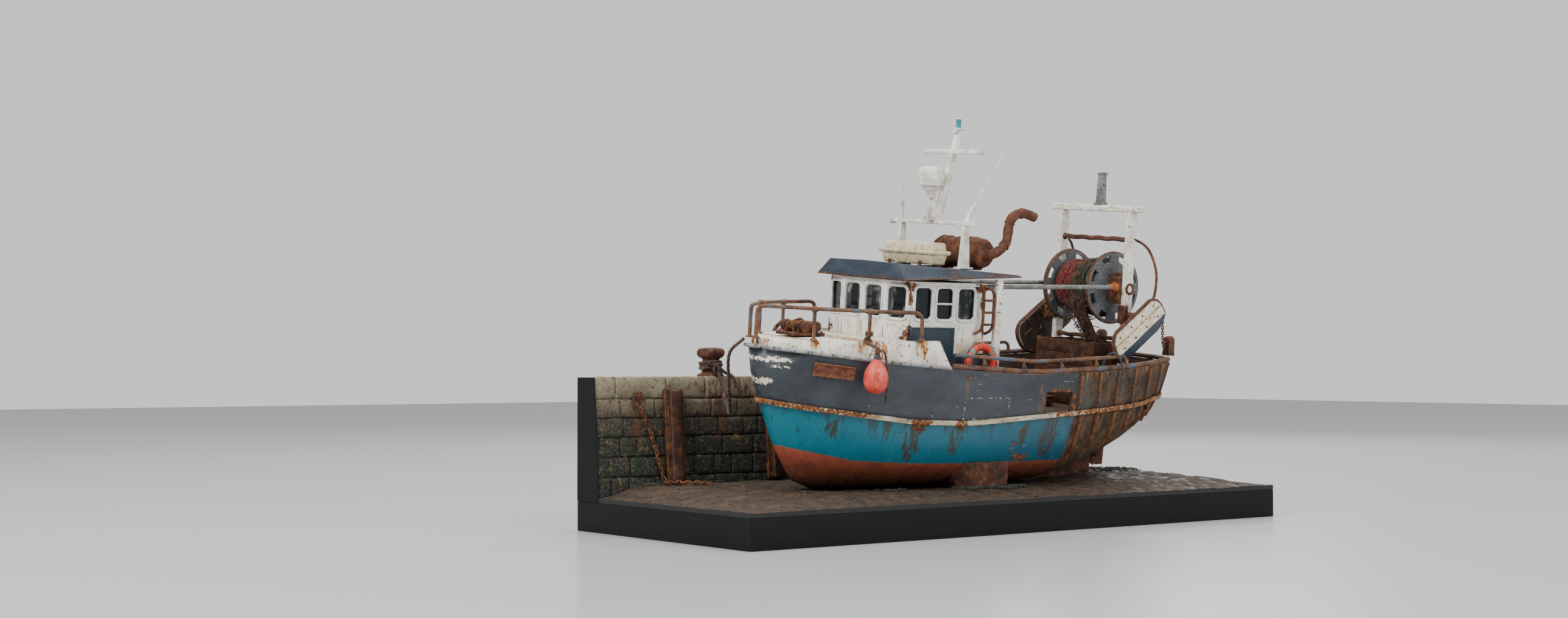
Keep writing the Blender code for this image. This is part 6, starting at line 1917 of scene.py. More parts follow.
        for side, name in ((1, "port"), (-1, "starboard")):
            plate = Form().sheet(22, 10, lambda u, v: on_plate(side, u, v, 1.15), 0.0)
            rim = [edge for edge in plate.work.edges if edge.is_boundary]
            made = bmesh.ops.extrude_edge_only(plate.work, edges=rim)["geom"]
            for vert in [item for item in made if isinstance(item, bmesh.types.BMVert)]:
                vert.co.y = side * (abs(vert.co.y) - 1.1)
            form = Form().join(plate)
            border = [on_plate(side, u, v, 1.2) for u, v in
                      [(k / 16, 0.07) for k in range(17)] + [(1.0, 0.5)] +
                      [(1 - k / 16, 0.93) for k in range(17)] + [(0.0, 0.5), (0.0, 0.07)]]
            form.rod(border, 0.42, 6)
            for u in (0.05, 0.95):
                point = on_plate(side, u, 0.5, 1.2)
                form.turned(((0.0, 0.5), (0.6, 0.35), (0.8, 0.0), (0.0, 0.0)), tuple(point),
                            (0.4, side, 0), 8)
            bmesh.ops.recalc_face_normals(form.work, faces=form.work.faces)
            form.roughen(0.12, 1.2, 6)
            form.make(f"blank_plate_{name}", rust, slot="rusted_steel",
                      replaces=[f"name_plate_{name}"])


@dataclass
class House:
    """The wheelhouse: walls, framed windows, things inside, roof, ladder, board and lifebuoy."""

    nodes: dict
    refit: Refit
    half: float = 32.0
    front: float = 59.7
    aft: float = 8.7
    low: float = 88.8
    high: float = 105.0
    margin: float = 2.0
    sides: tuple = ((45.3, 56.3), (31.0, 42.0), (16.3, 27.7))

    def outline(self, grow: float = 0.0) -> list[Point]:
        """Give the plan of the walls, grown outward."""
        half = self.half + grow
        return [(self.aft - grow, -half), (self.front + grow * 0.6, -half),
                (63.5 + grow, -16.6 - grow * 0.4), (63.9 + grow, 0.0), (63.5 + grow, 16.6 + grow * 0.4),
                (self.front + grow * 0.6, half), (self.aft - grow, half)]

    def panes(self) -> list[tuple[Vector, Vector, Vector, float]]:
        """Give each window's lower corner, its direction along the wall, outward and its width."""
        found = []
        plan = self.outline()
        for a, b in zip(plan[1:5], plan[2:6]):
            start, end = Vector((*a, 0.0)), Vector((*b, 0.0))
            along = (end - start).normalized()
            out = along.cross(Vector((0, 0, 1)))
            found.append((start + along * self.margin, along, out,
                          (end - start).length - 2 * self.margin))
        for x0, x1 in self.sides:
            found.append((Vector((x1, self.half, 0)), Vector((-1, 0, 0)), Vector((0, 1, 0)), x1 - x0))
            found.append((Vector((x0, -self.half, 0)), Vector((1, 0, 0)), Vector((0, -1, 0)),
                          x1 - x0))
        return found

    def build_frames(self, white: bpy.types.Material) -> None:
        """Mould a round-cornered frame in two steps round each window, and one window's bar."""
        form = Form()
        for start, along, out, width in self.panes():
            for grow, depth, radius, corner in ((0.62, 0.15, 0.6, 3.0), (-0.12, 0.1, 0.32, 2.3)):
                path = []
                low, high = self.low - grow, self.high + grow
                left, right = -grow, width + grow
                for cx, cz, first in ((right - corner, high - corner, 0), (left + corner, high - corner, 1),
                                      (left + corner, low + corner, 2), (right - corner, low + corner, 3)):
                    for k in range(6):
                        angle = math.pi / 2 * (first + k / 5)
                        spot = start + along * (cx + corner * math.cos(angle))
                        path.append(spot + out * depth + Vector((0, 0, cz + corner * math.sin(angle))))
                form.rod(path + [path[0], path[1]], radius, 8)
        for side in (1, -1):
            form.rod([(31.2, side * 31.8, 96.8), (36.0, side * 31.8, 96.8), (41.8, side * 31.8, 96.8)],
                     0.55, 8)
        form.make("window_frames", white, slot="aged_white")

    def build_trim(self, dark: bpy.types.Material, white: bpy.types.Material) -> None:
        """Seal the seams between the front panels and fix the grab rails."""
        plan = self.outline(0.05)
        form = Form()
        for x, y in plan[1:6]:
            form.rod([(x, y, 66.0), (x, y, 71.0), (x, y, 76.2)], 0.2, 5)
            form.rod([(x, y, 77.4), (x, y, 80.0), (x, y, 84.4)], 0.15, 5)
        form.make("wall_seams", dark, slot="black_paint")
        form = Form()
        for side in (1, -1):
            path = [(56.0, side * 32.3, 106.4), (55.6, side * 33.6, 106.4), (40.0, side * 33.6, 106.4),
                    (15.0, side * 33.6, 106.4), (14.6, side * 32.3, 106.4)]
            form.rod(path, 0.35, 6)
        form.make("grab_rails", white, slot="aged_white")

    def build_inside(self, dark: bpy.types.Material, pale: bpy.types.Material) -> None:
        """Put a console, wheel, chair, bulkhead and wiring behind the glass."""
        form = Form().block((34.0, 0.0, 77.0), (46.0, 60.0, 1.0), 0.2)
        form.block((54.0, 0.0, 82.0), (9.0, 54.0, 9.0), 0.6, taper=(0.7, 1.0))
        form.block((51.5, 13.0, 89.0), (2.0, 9.0, 6.0), 0.5)
        form.block((51.5, -11.0, 89.6), (2.0, 11.0, 7.0), 0.5)
        form.block((36.0, -2.0, 80.4), (2.2, 2.2, 6.0), 0.3)
        form.block((35.0, -2.0, 84.0), (8.0, 9.0, 1.8), 0.7)
        form.block((31.4, -2.0, 90.4), (1.8, 9.0, 12.0), 0.8)
        form.block((12.6, 0.0, 92.0), (0.8, 56.0, 29.0), 0.1)
        form.block((33.0, 24.0, 84.0), (16.0, 9.0, 13.0), 0.5)
        form.rod([(44.0, 21.0, 78.0), (44.2, 21.2, 92.0), (46.0, 22.0, 106.0)], 0.5, 6)
        form.make("house_fittings", dark, slot="board_blue")
        form = Form().ring((49.5, 3.0, 88.0), 3.4, 0.4, (1.0, 0.0, 0.35), 20, 6)
        for k in range(3):
            angle = 2.0 * math.pi * k / 3
            form.rod([(49.5, 3.0, 88.0), (49.5 - 1.1 * math.sin(angle), 3.0 + 3.2 * math.cos(angle),
                                          88.0 + 3.1 * math.sin(angle))], 0.3, 5)
        form.block((56.0, -20.0, 90.0), (2.6, 8.0, 5.0), 0.4)
        form.block((24.0, 26.0, 92.0), (5.0, 3.0, 8.0), 0.4)
        form.make("wheel_and_gauges", pale, slot="aged_white")

    def build_roof(self, paint: bpy.types.Material) -> None:
        """Round the roof's edges."""
        self.refit.round_off("wheelhouse_roof", paint, 0.5, 3, "roof_paint", fine=9.0, rough=0.12,
                             grain=9.0)

    def build_ladder(self, rust: bpy.types.Material) -> None:
        """Bend the ladder's stiles into hooks at both ends and weld its rungs."""
        form = Form()
        wall = self.half + 0.75
        for x in (12.6, 5.6):
            route = [(x + 3.4, wall, 104.8), (x + 3.0, wall + 1.4, 105.2), (x + 1.0, wall + 2.2, 104.2),
                     (x, wall + 2.3, 101.0), (x, wall + 2.3, 95.0), (x, wall + 2.3, 87.6),
                     (x + 0.8, wall + 2.0, 84.4), (x + 2.6, wall + 1.0, 82.6), (x + 3.8, wall, 82.0)]
            form.rod(even(curve(route, 8), 0.9), 0.78, 9)
        for z in (99.4, 93.2, 87.0):
            form.rod([(12.6, wall + 2.3, z), (9.2, wall + 2.2, z - 0.2), (5.6, wall + 2.3, z)],
                     0.62, 8)
            for x in (12.6, 5.6):
                form.ring((x, wall + 2.3, z), 0.8, 0.35, (1, 0, 0), 10, 6)
        form.roughen(0.12, 1.0, 5)
        form.make("hooked_ladder", rust, slot="rusted_steel", replaces=["ladder"])

    def build_board(self, blue: bpy.types.Material) -> None:
        """Screw the blank number board to the wall, with a raised border."""
        form = Form().block((44.4, self.half + 0.62, 76.6), (29.5, 0.9, 16.5), 0.2)
        for z in (68.8, 84.4):
            form.block((44.4, self.half + 1.1, z), (29.3, 0.4, 0.8), 0.12)
        for x in (30.2, 58.6):
            form.block((x, self.half + 1.1, 76.6), (0.8, 0.4, 16.2), 0.12)
            for z in (70.4, 82.8):
                inner = x + (1.4 if x < 44 else -1.4)
                form.turned(((0.0, 0.4), (0.4, 0.3), (0.5, 0.0), (0.0, 0.0)),
                            (inner, self.half + 1.05, z), (0, 1, 0), 8)
        form.make("blank_board", blue, slot="board_blue", replaces=["number_board"])

    def build_lifebuoy(self, orange: bpy.types.Material, rope: bpy.types.Material) -> None:
        """Mould the lifebuoy, its grab line in four swags and the hook it hangs by."""
        centre, axis = Vector((14.5, self.half + 5.6, 67.1)), (0.0, 1.0, 0.06)
        form = Form().ring(tuple(centre), 8.6, 2.1, axis, 56, 16)
        form.make("lifebuoy_ring", orange, slot="orange_red", replaces=["lifebuoy"])
        form = Form()
        turn = Vector((0, 0, 1)).rotation_difference(Vector(axis)).to_matrix()
        for k in range(4):
            start = math.radians(20.0 + 90.0 * k)
            way = []
            for step in range(9):
                angle = start + math.radians(90.0) * step / 8
                reach = 10.75 + 0.4 * math.sin(math.pi * step / 8)
                way.append(centre + turn @ Vector((reach * math.cos(angle), reach * math.sin(angle),
                                                   0.5)))
            form.rod(way, 0.34, 7, lobes=3, twist=1.6)
        form.rod([(14.5, self.half + 0.3, 77.6), (14.5, self.half + 3.6, 77.4),
                  (14.5, self.half + 5.2, 76.6)], 0.5, 7)
        form.make("lifebuoy_line", rope, slot="rope")


@dataclass
class RoofGear:
    """On the roof: liferaft, silencer, goal-post mast, aerials, raked mast, radar and lamp."""

    nodes: dict
    raft_at: tuple = (30.5, -0.8)
    raft_half: float = 20.6
    silencer: tuple = (4.0, 0.0, 123.0)

    def top(self, x: float) -> float:
        """Give the height of the roof."""
        return 112.8 + (116.4 - 112.8) * (x + 13.0) / 77.5

    def build_raft(self, grp: bpy.types.Material, rust: bpy.types.Material) -> None:
        """Mould the raft's case in two halves with ribs and a flange, on a cradle."""
        x, y = self.raft_at
        base = self.top(x) + 1.1
        form = Form()
        long = self.raft_half * 2
        for grow, length, shift in [(0.0, long, 0.0)] + [(0.42, 2.4, (k - 2) * 9.0) for k in range(5)]:
            form.block((x, y + shift, base + 2.9), (8.4 + grow, length - (2.0 if not grow else 0.0),
                       5.8), 1.1 if not grow else 0.5, 3, taper=(1.34, 1.045))
            form.block((x, y + shift, base + 9.0), (11.2 + grow, length - (0.4 if not grow else 0.0),
                       4.4 + grow), 1.5 if not grow else 0.7, 4, taper=(0.74, 0.93 if not grow else 1.0))
        form.block((x, y, base + 6.2), (12.9, long + 2.0, 1.3), 0.55, 3)
        form.block((x, y, base + 6.2), (12.5, long + 1.6, 2.1), 0.5, 3)
        for end in (-1, 1):
            form.block((x, y + end * 20.0, base + 4.4), (3.2, 1.4, 3.0), 0.5)
        form.finer(4.0)
        form.roughen(0.14, 5.0, 9)
        form.make("raft_case", grp, slot="aged_white", replaces=["liferaft"])
        form = Form()
        for side in (-12.0, 12.0):
            form.block((x, y + side, base - 0.9), (15.0, 2.4, 1.2), 0.3)
            for k in (-1, 1):
                form.block((x + k * 6.4, y + side, base + 0.6), (1.0, 2.0, 2.4), 0.25)
        form.make("raft_cradle", rust, slot="rusted_steel")

    def build_silencer(self, rust: bpy.types.Material, soot: bpy.types.Material) -> None:
        """Roll the silencer's drum with bands, fit its saddles and bend its swan-neck pipe."""
        centre = self.silencer
        profile = [(0.0, -11.6), (2.6, -11.6), (6.2, -11.0), (7.7, -9.4), (7.8, -6.0)]
        for place, wide in ((-3.6, 1.9), (5.4, 0.7), (17.2, 1.4)):
            profile += [(7.8, place - wide), (8.3, place - wide + 0.2), (8.3, place + wide - 0.2),
                        (7.8, place + wide)]
        profile += [(7.8, 21.8), (7.2, 23.4), (5.6, 24.2), (3.4, 24.6), (0.0, 24.6)]
        form = Form().turned(profile, centre, (0, 1, 0), 40)
        form.finer(2.6)
        form.roughen(0.3, 3.4, 12)
        route = [(6.0, 21.0, 122.6), (3.4, 25.4, 122.2), (-2.5, 27.2, 124.6), (-8.0, 26.8, 129.2),
                 (-9.6, 26.2, 135.6), (-11.0, 26.0, 140.8), (-15.2, 26.0, 144.2), (-21.0, 26.0, 144.8),
                 (-28.0, 26.0, 143.2)]
        way = even(curve(route, 10), 1.1)
        pipe = Form().rod(way, 2.6, 18, radii=lambda t: 2.55 + 0.12 * math.sin(t * 40.0) * (t < 0.9))
        tip = max(pipe.work.faces, key=lambda f: (len(f.verts) > 4) * -f.calc_center_median().x)
        bmesh.ops.inset_individual(pipe.work, faces=[tip], thickness=0.55)
        grown = bmesh.ops.extrude_discrete_faces(pipe.work, faces=[tip])["faces"]
        mouth = grown[0]
        rim_edges = [e for e in pipe.work.edges if e.is_boundary]
        bmesh.ops.translate(pipe.work, vec=(-way[-1] + way[-3]) * 1.8, verts=mouth.verts)
        bmesh.ops.bridge_loops(pipe.work, edges=rim_edges)
        bmesh.ops.recalc_face_normals(pipe.work, faces=pipe.work.faces)
        pipe.roughen(0.2, 2.2, 3)
        form.join(pipe)
        for k, share in enumerate((0.12, 0.34, 0.62, 0.8)):
            index = int(share * (len(way) - 1))
            along = (way[index + 1] - way[index]).normalized()
            form.ring(tuple(way[index]), 2.62, 0.32, tuple(along), 20, 6)
        for y in (-7.0, 14.0):
            form.block((centre[0], y, self.top(centre[0]) + 1.6), (12.0, 3.6, 2.4), 0.4)
            form.ring((centre[0], y, centre[2]), 8.1, 0.45, (0, 1, 0), 32, 6)
            for x in (-7.4, 7.4):
                form.rod([(centre[0] + x, y, self.top(centre[0]) + 0.6),
                          (centre[0] + x, y, centre[2] - 4.0)], 0.5, 6)
        form.make("silencer_and_pipe", rust, slot="rusted_steel", replaces=["exhaust"])
        mouth_at = way[-1].lerp(way[-4], 0.8)
        along = (way[-1] - way[-4]).normalized()
        Form().turned(((0.0, 0.1), (1.9, 0.1), (1.9, 0.0), (0.0, 0.0)), tuple(mouth_at),
                      tuple(along), 16).make("pipe_soot", soot, slot="rusted_steel")

    def build_goal_post(self, white: bpy.types.Material) -> None:
        """Weld the goal-post mast: tapered legs, cross bar, aerial sleeves and whips."""
        form = Form()
        foot = self.top(19.0) + 0.5
        for side in (1, -1):
            tall = 137.2 - foot
            form.block((19.1, side * 25.0, foot + tall / 2), (6.2, 3.2, tall), 0.45, 2,
                       taper=(0.52, 0.64))
            form.block((19.1, side * 25.0, foot + 0.4), (8.6, 5.6, 0.8), 0.2)
        form.block((19.4, 0.0, 137.9), (3.4, 67.6, 2.2), 0.45, 2)
        for y in (-33.2, 33.2):
            form.block((19.4, y, 137.6), (4.0, 1.2, 3.0), 0.35)
        for x, y, z, top in ((20.0, -25.0, 138.4, (19.7, -25.0, 166.5)),
                             (19.4, 25.0, 138.4, (-4.7, 25.0, 176.1))):
            start, tip = Vector((x, y, z)), Vector(top)
            sleeve = start.lerp(tip, 0.27) if y > 0 else Vector((20.1, -25.0, 147.0))
            bend = Vector((14.8, 25.0, 146.0)) if y > 0 else sleeve
            form.rod([start, start.lerp(bend, 0.5), bend], 1.15, 12, radii=lambda t: 1.45 - 0.5 * t)
            form.turned(((0.0, 1.2), (1.15, 1.0), (1.25, 0.0), (1.1, -1.0), (0.0, -1.2)), tuple(bend),
                        tuple(tip - bend), 12)
            form.rod([bend, bend.lerp(tip, 0.5), tip], 0.4, 8, radii=lambda t: 0.52 - 0.3 * t)
        form.block((17.6, 0.0, 138.4), (6.0, 6.4, 3.0), 0.5)
        form.make("goal_post_frame", white, slot="aged_white", replaces=["goal_post"])

    def build_mast(self, white: bpy.types.Material, teal: bpy.types.Material) -> None:
        """Rake the tapered mast, with its cross arm, brackets, cap and the lamp on top."""
        foot, head = 138.6, 187.0
        form = Form()
        post = Form().block((17.3, 0.0, (foot + head) / 2), (4.6, 4.0, head - foot), 0.5, 2,
                            taper=(0.7, 0.75))
        post.block((19.8, 0.0, foot + 8.0), (1.4, 3.0, 16.0), 0.3)
        for vert in post.work.verts:
            vert.co.x -= (vert.co.z - foot) * (17.3 - 5.0) / (head - foot)
        form.join(post)
        form.block((8.6, 0.0, 175.2), (3.0, 46.0, 2.4), 0.5, 2)
        for y in (-22.4, 22.4):
            form.block((8.6, y, 175.2), (3.5, 1.4, 2.9), 0.4)
        form.block((9.0, 0.0, 172.0), (3.4, 3.6, 4.4), 0.4)
        form.block((5.6, 0.0, 187.3), (6.0, 4.4, 1.1), 0.35)
        form.block((8.4, 0.0, 186.4), (1.2, 4.0, 2.6), 0.3)
        form.make("raked_mast", white, slot="aged_white", replaces=["mast"])
        lens = Form().turned(((0.0, 187.9), (1.5, 187.9), (1.5, 188.5), (1.3, 188.7), (1.35, 190.2),
                              (1.3, 191.8), (1.45, 192.0), (1.2, 192.6), (0.5, 192.8), (0.0, 192.8)),
                             (5.8, 0.0, 0.0), steps=20)
        lens.make("mast_lamp_lens", teal, slot="lamp_glass", replaces=["mast_lamp"])

    def build_radar(self, white: bpy.types.Material) -> None:
        """Turn the radar's dome in three tiers on its cranked bracket."""
        profile = ((0.0, 150.2), (1.3, 150.3), (1.6, 150.6), (1.6, 152.2), (2.1, 152.4), (2.3, 152.7),
                   (2.3, 154.1), (3.9, 154.4), (4.2, 154.8), (4.2, 156.3), (6.5, 156.5), (6.95, 156.8),
                   (7.0, 158.6), (6.9, 158.9), (7.05, 159.1), (7.05, 159.5), (6.85, 159.7),
                   (6.9, 163.6), (6.7, 164.7), (6.1, 165.6), (4.6, 166.3), (2.2, 166.6), (0.0, 166.6))
        form = Form().turned(profile, (22.6, 0.0, 0.0), steps=40)
        plate = Form().block((21.3, 0.0, 148.2), (2.6, 2.6, 17.8), 0.35, taper=(1.5, 1.0))
        for vert in plate.work.verts:
            vert.co.x -= (vert.co.z - 139.3) * 2.7 / 17.9
        form.join(plate)
        brace = [(25.2, 139.8), (23.6, 143.0), (21.4, 147.6), (21.0, 150.4)]
        for side in (1, -1):
            form.rod([(x, side * 0.7, z) for x, z in brace], 0.62, 8, flat=0.7)
        form.block((22.6, 0.0, 139.3), (6.4, 4.4, 1.0), 0.3)
        form.block((24.4, 0.0, 138.4), (2.0, 3.6, 2.6), 0.3)
        form.ring((21.2, 0.0, 150.2), 0.9, 0.4, (0, 1, 0), 12, 6)
        form.make("radar_dome", white, slot="aged_white", replaces=["radar"])


@dataclass
class AfterDeck:
    """Aft of the house: gantry, net drum and net, stays, doors, pound and low rails."""

    nodes: dict
    refit: Refit
    x: float = -101.0
    leg_y: float = 26.0
    drum_z: float = 107.0
    flange: float = 19.8
    flanges: tuple = (-18.6, 14.6)
    door_at: tuple = (-100.5, 37.6, 84.6)
    door_long: float = 42.5
    door_wide: float = 19.6
    door_tilt: float = math.radians(36.0)

    def build_gantry(self, white: bpy.types.Material, rust: bpy.types.Material,
                     grey: bpy.types.Material) -> None:
        """Weld the gantry's legs and beam, and fit its rusted tubes, bearings and brackets."""
        x, y0 = self.x, self.leg_y
        form = Form()
        for side in (1, -1):
            leg = Form().block((x, side * y0, 95.2), (5.6, 3.4, 107.0), 0.45, 2)
            leg.finer(9.0)
            form.join(leg.roughen(0.12, 9.0, 2))
        beam = Form().block((x, 0.0, 150.6), (4.6, 60.0, 3.6), 0.7, 3)
        for side in (1, -1):
            beam.turned(((0.0, 1.8), (3.4, 1.8), (4.0, 1.2), (4.0, -1.2), (3.4, -1.8), (0.0, -1.8)),
                        (x, side * 30.0, 150.6), (0, 0, 1), 20)
        form.join(beam)
        form.make("gantry_frame", white, slot="aged_white", replaces=["gantry"])

        form = Form()
        for z, radius in ((134.0, 1.35), (79.0, 1.15)):
            path = [(x, -y0 + 0.6 + k * (2 * y0 - 1.2) / 26, z + 0.2 * math.sin(k)) for k in range(27)]
            form.rod(path, radius, 12)
            for side in (1, -1):
                form.ring((x, side * (y0 - 1.8), z), radius, 0.6, (0, 1, 0), 16, 6)
        for side in (1, -1):
            route = [(x - 1.0, side * 27.0, 134.6), (-109.0, side * 28.5, 131.8),
                     (-113.5, side * 30.0, 127.0), (-117.6, side * 31.0, 117.5),
                     (-117.6, side * 31.5, 108.0), (-115.4, side * 31.6, 99.5)]
            form.rod(even(curve(route, 8), 1.4), 0.72, 8)
            form.block((x + 0.5, side * (y0 + 5.0), 90.5), (4.6, 9.0, 7.6), 0.6, taper=(0.8, 1.0))
            form.block((x + 3.4, side * (y0 + 1.0), 93.0), (3.0, 5.4, 10.0), 0.5)
            for z in (88.4, 92.6):
                form.turned(((0.0, 0.9), (0.9, 0.8), (1.0, 0.0), (0.0, 0.0)),
                            (x + 3.0, side * (y0 + 6.0), z), (1, 0, 0), 6)
        form.roughen(0.12, 1.4, 7)
        form.make("gantry_tubes", rust, slot="rusted_steel")

        form = Form()
        for side, flange in ((1, self.flanges[1]), (-1, -self.flanges[0])):
            inner, outer = flange + 2.9, y0 - 1.5
            for dz, wide, tall in ((0.0, 9.0, 12.4), (7.2, 6.0, 3.0), (-7.2, 7.4, 2.4)):
                self.bored(form, (x + 1.0, side * (inner + outer) / 2, self.drum_z + dz),
                           (wide, outer - inner, tall))
            for bx in (-2.6, 4.6):
                for bz in (-4.6, 4.6):
                    form.turned(((0.0, 0.5), (0.8, 0.4), (1.0, 0.0), (0.0, 0.0)),
                                (x + bx, side * inner, self.drum_z + bz), (0, -side, 0), 6)
            form.ring((x, side * (y0 + 1.9), self.drum_z), 2.6, 0.7, (0, 1, 0), 20, 8)
        form.roughen(0.14, 1.6, 5)
        form.make("drum_bearings", rust, slot="rusted_steel")
        post = Form().block((x, 2.0, 161.3), (4.2, 4.4, 18.4), 0.5, 2, taper=(0.82, 0.82))
        post.block((x, 2.0, 152.8), (5.0, 6.4, 1.0), 0.3)
        for z in (153.6, 169.6):
            post.block((x, 2.0, z), (4.5, 4.7, 0.8), 0.2)
        post.finer(3.0)
        post.roughen(0.12, 3.0, 1)
        post.make("gantry_post", grey, slot="drum_grey")

    def bored(self, form: Form, centre: Point, size: Point) -> None:
        """Add a block that leaves the drum shaft's bore clear, as two cheeks where it crosses."""
        cx, cy, cz = centre
        reach = 2.3
        if abs(cz - self.drum_z) > size[2] / 2 + reach:
            form.block(centre, size, 0.4)
            return
        low, high = cz - size[2] / 2, cz + size[2] / 2
        for a, b in ((low, self.drum_z - reach), (self.drum_z + reach, high)):
            if b - a > 0.6:
                form.block((cx, cy, (a + b) / 2), (size[0], size[1], b - a), 0.35)
        left, right = cx - size[0] / 2, cx + size[0] / 2
        for a, b in ((left, self.x - reach), (self.x + reach, right)):
            form.block(((a + b) / 2, cy, self.drum_z), (b - a, size[1], reach * 2 + 0.6), 0.3)

    def build_drum(self, grey: bpy.types.Material, rust: bpy.types.Material) -> None:
        """Cut the drum's slotted flanges, and fit its hub, bolts, shaft and rim."""
        form = Form()
        centre = (self.x, 0.0, self.drum_z)
        for side, middle in ((1, self.flanges[1]), (-1, self.flanges[0])):
            y0, y1 = middle - side * 0.8, middle + side * 0.8
            disc = Form().turned(((4.0, y0), (9.0, y0), (14.4, y0), (18.0, y0), (self.flange, y0),
                                  (self.flange, y1), (18.0, y1), (14.4, y1), (9.0, y1), (4.0, y1),
                                  (4.0, y0)), (0, 0, 0), (0, 1, 0), 64)
            for k in range(8):
                angle = 2.0 * math.pi * (k + 0.5) / 8
                doomed = []
                for face in disc.work.faces:
                    spot = face.calc_center_median()
                    reach = math.hypot(spot.x, spot.z)
                    turn = math.atan2(spot.x, spot.z) - angle
                    turn = (turn + math.pi) % (2 * math.pi) - math.pi
                    if 14.4 < reach < 18.0 and abs(turn) < 0.15 and abs(face.normal.y) > 0.9:
                        doomed.append(face)
                bmesh.ops.delete(disc.work, geom=doomed, context="FACES")
                rims = [edge for edge in disc.work.edges if edge.is_boundary]
                bmesh.ops.bridge_loops(disc.work, edges=rims)
            bmesh.ops.recalc_face_normals(disc.work, faces=disc.work.faces)
            form.join(disc)
            steps = ((0.0, -0.7), (6.4, -0.7), (6.4, 1.1), (5.7, 1.4), (5.2, 1.1), (5.0, 1.7), (4.4, 2.2),
                     (1.6, 2.4))
            hub = [(radius, middle + side * place) for radius, place in steps]
            hub += [(1.45, side * 26.8), (1.2, side * 27.0), (0.0, side * 27.0)]
            form.turned(hub, (0, 0, 0), (0, 1, 0), 28)
            for k in range(8):
                turn = Matrix.Rotation(2.0 * math.pi * k / 8, 3, "Y")
                form.turned(((0.0, 0.6), (0.6, 0.5), (0.7, 0.0), (0.0, 0.0)),
                            tuple(turn @ Vector((1.7, middle + side * 1.6, 3.3))), (0, side, 0), 6)
        left, right = self.flanges[0] + 0.6, self.flanges[1] - 0.6
        form.turned(((0.0, left), (5.0, left), (5.0, right), (0.0, right)), (0, 0, 0), (0, 1, 0), 24)
        form.placed(centre)
        form.make("drum_casting", grey, body="drum", slot="drum_grey", replaces=["net_drum"])
        rims = Form()
        for middle in self.flanges:
            rims.ring((0, middle, 0), self.flange - 0.1, 0.42, (0, 1, 0), 72, 7, 2.0)
        rims.placed(centre).make("drum_rims", rust, body="drum", slot="rusted_steel")

    def build_net(self, net: bpy.types.Material) -> None:
        """Wind the net on the drum: a lumpy core under hundreds of strands and some mesh."""
        rng = random.Random(23)
        profile = ((5.2, -17.3), (10.6, -17.1), (12.6, -15.0), (13.4, -9.5), (12.2, -5.6), (13.6, -2.2),
                   (14.6, 2.0), (15.2, 7.0), (14.8, 11.2), (13.0, 13.0), (5.2, 13.3))
        core = Form().turned(profile, (0, 0, 0), (0, 1, 0), 48, 3)
        core.roughen(0.9, 2.2, 4)
        core.placed((self.x, 0.0, self.drum_z))
        core.make("net_core", net, body="drum", slot="net", replaces=["wound_net"], angle=180.0)
        shape = sorted((y, r) for r, y in profile)
        lines = []
        for _ in range(560):
            y = rng.uniform(-16.6, 12.6)
            angle = rng.uniform(0, 2 * math.pi)
            drift = rng.gauss(0, 0.35)
            sweep = rng.uniform(0.7, 2.6)
            lift = rng.uniform(0.1, 1.3)
            phase = rng.uniform(0, 6.28)
            line = []
            for k in range(12):
                t = k / 11
                place = max(-16.8, min(12.8, y + drift * 6.0 * t + 0.5 * math.sin(phase + 9 * t)))
                reach = lookup(shape, place) + lift + 0.35 * math.sin(phase * 3 + 14 * t)
                reach = min(reach, 17.0)
                line.append((self.x + reach * math.sin(angle + sweep * t), place,
                             self.drum_z + reach * math.cos(angle + sweep * t)))
            lines.append(line)
        strands("net_strands", lines, 0.26, net, "drum")
        loose = []
        for _ in range(130):
            y = rng.uniform(-16.4, 12.4)
            angle = rng.uniform(0, 2 * math.pi)
            line = []
            reach = lookup(shape, y) + 0.6
            for k in range(7):
                reach = min(reach + rng.uniform(-0.15, 0.55), 17.6)
                angle += rng.uniform(-0.06, 0.11)
                y = max(-16.9, min(12.9, y + rng.uniform(-0.7, 0.7)))
                line.append((self.x + reach * math.sin(angle), y, self.drum_z + reach * math.cos(angle)))
            loose.append(line)
        strands("net_fuzz", loose, 0.12, net, "drum")

    def tail_centre(self, t: float) -> tuple[Vector, float, float]:
        """Give the net tail's middle and its two half sizes at a share of its fall."""
        points = ((-85.8, 2.8, 103.0, 2.6, 6.8), (-85.2, 4.0, 97.0, 2.4, 6.2),
                  (-87.2, 6.2, 90.0, 2.4, 5.2), (-90.6, 9.4, 82.0, 2.6, 4.2),
                  (-93.8, 13.2, 74.0, 3.0, 4.2), (-95.6, 13.8, 68.0, 4.2, 5.4),
                  (-96.4, 13.6, 62.0, 5.6, 6.6))
        place = t * (len(points) - 1)
        i = min(int(place), len(points) - 2)
        a, b = Vector(points[i]), Vector(points[i + 1])
        mid = [p + (q - p) * (place - i) for p, q in zip(points[i], points[i + 1])]
        return Vector(mid[:3]), mid[3], mid[4]

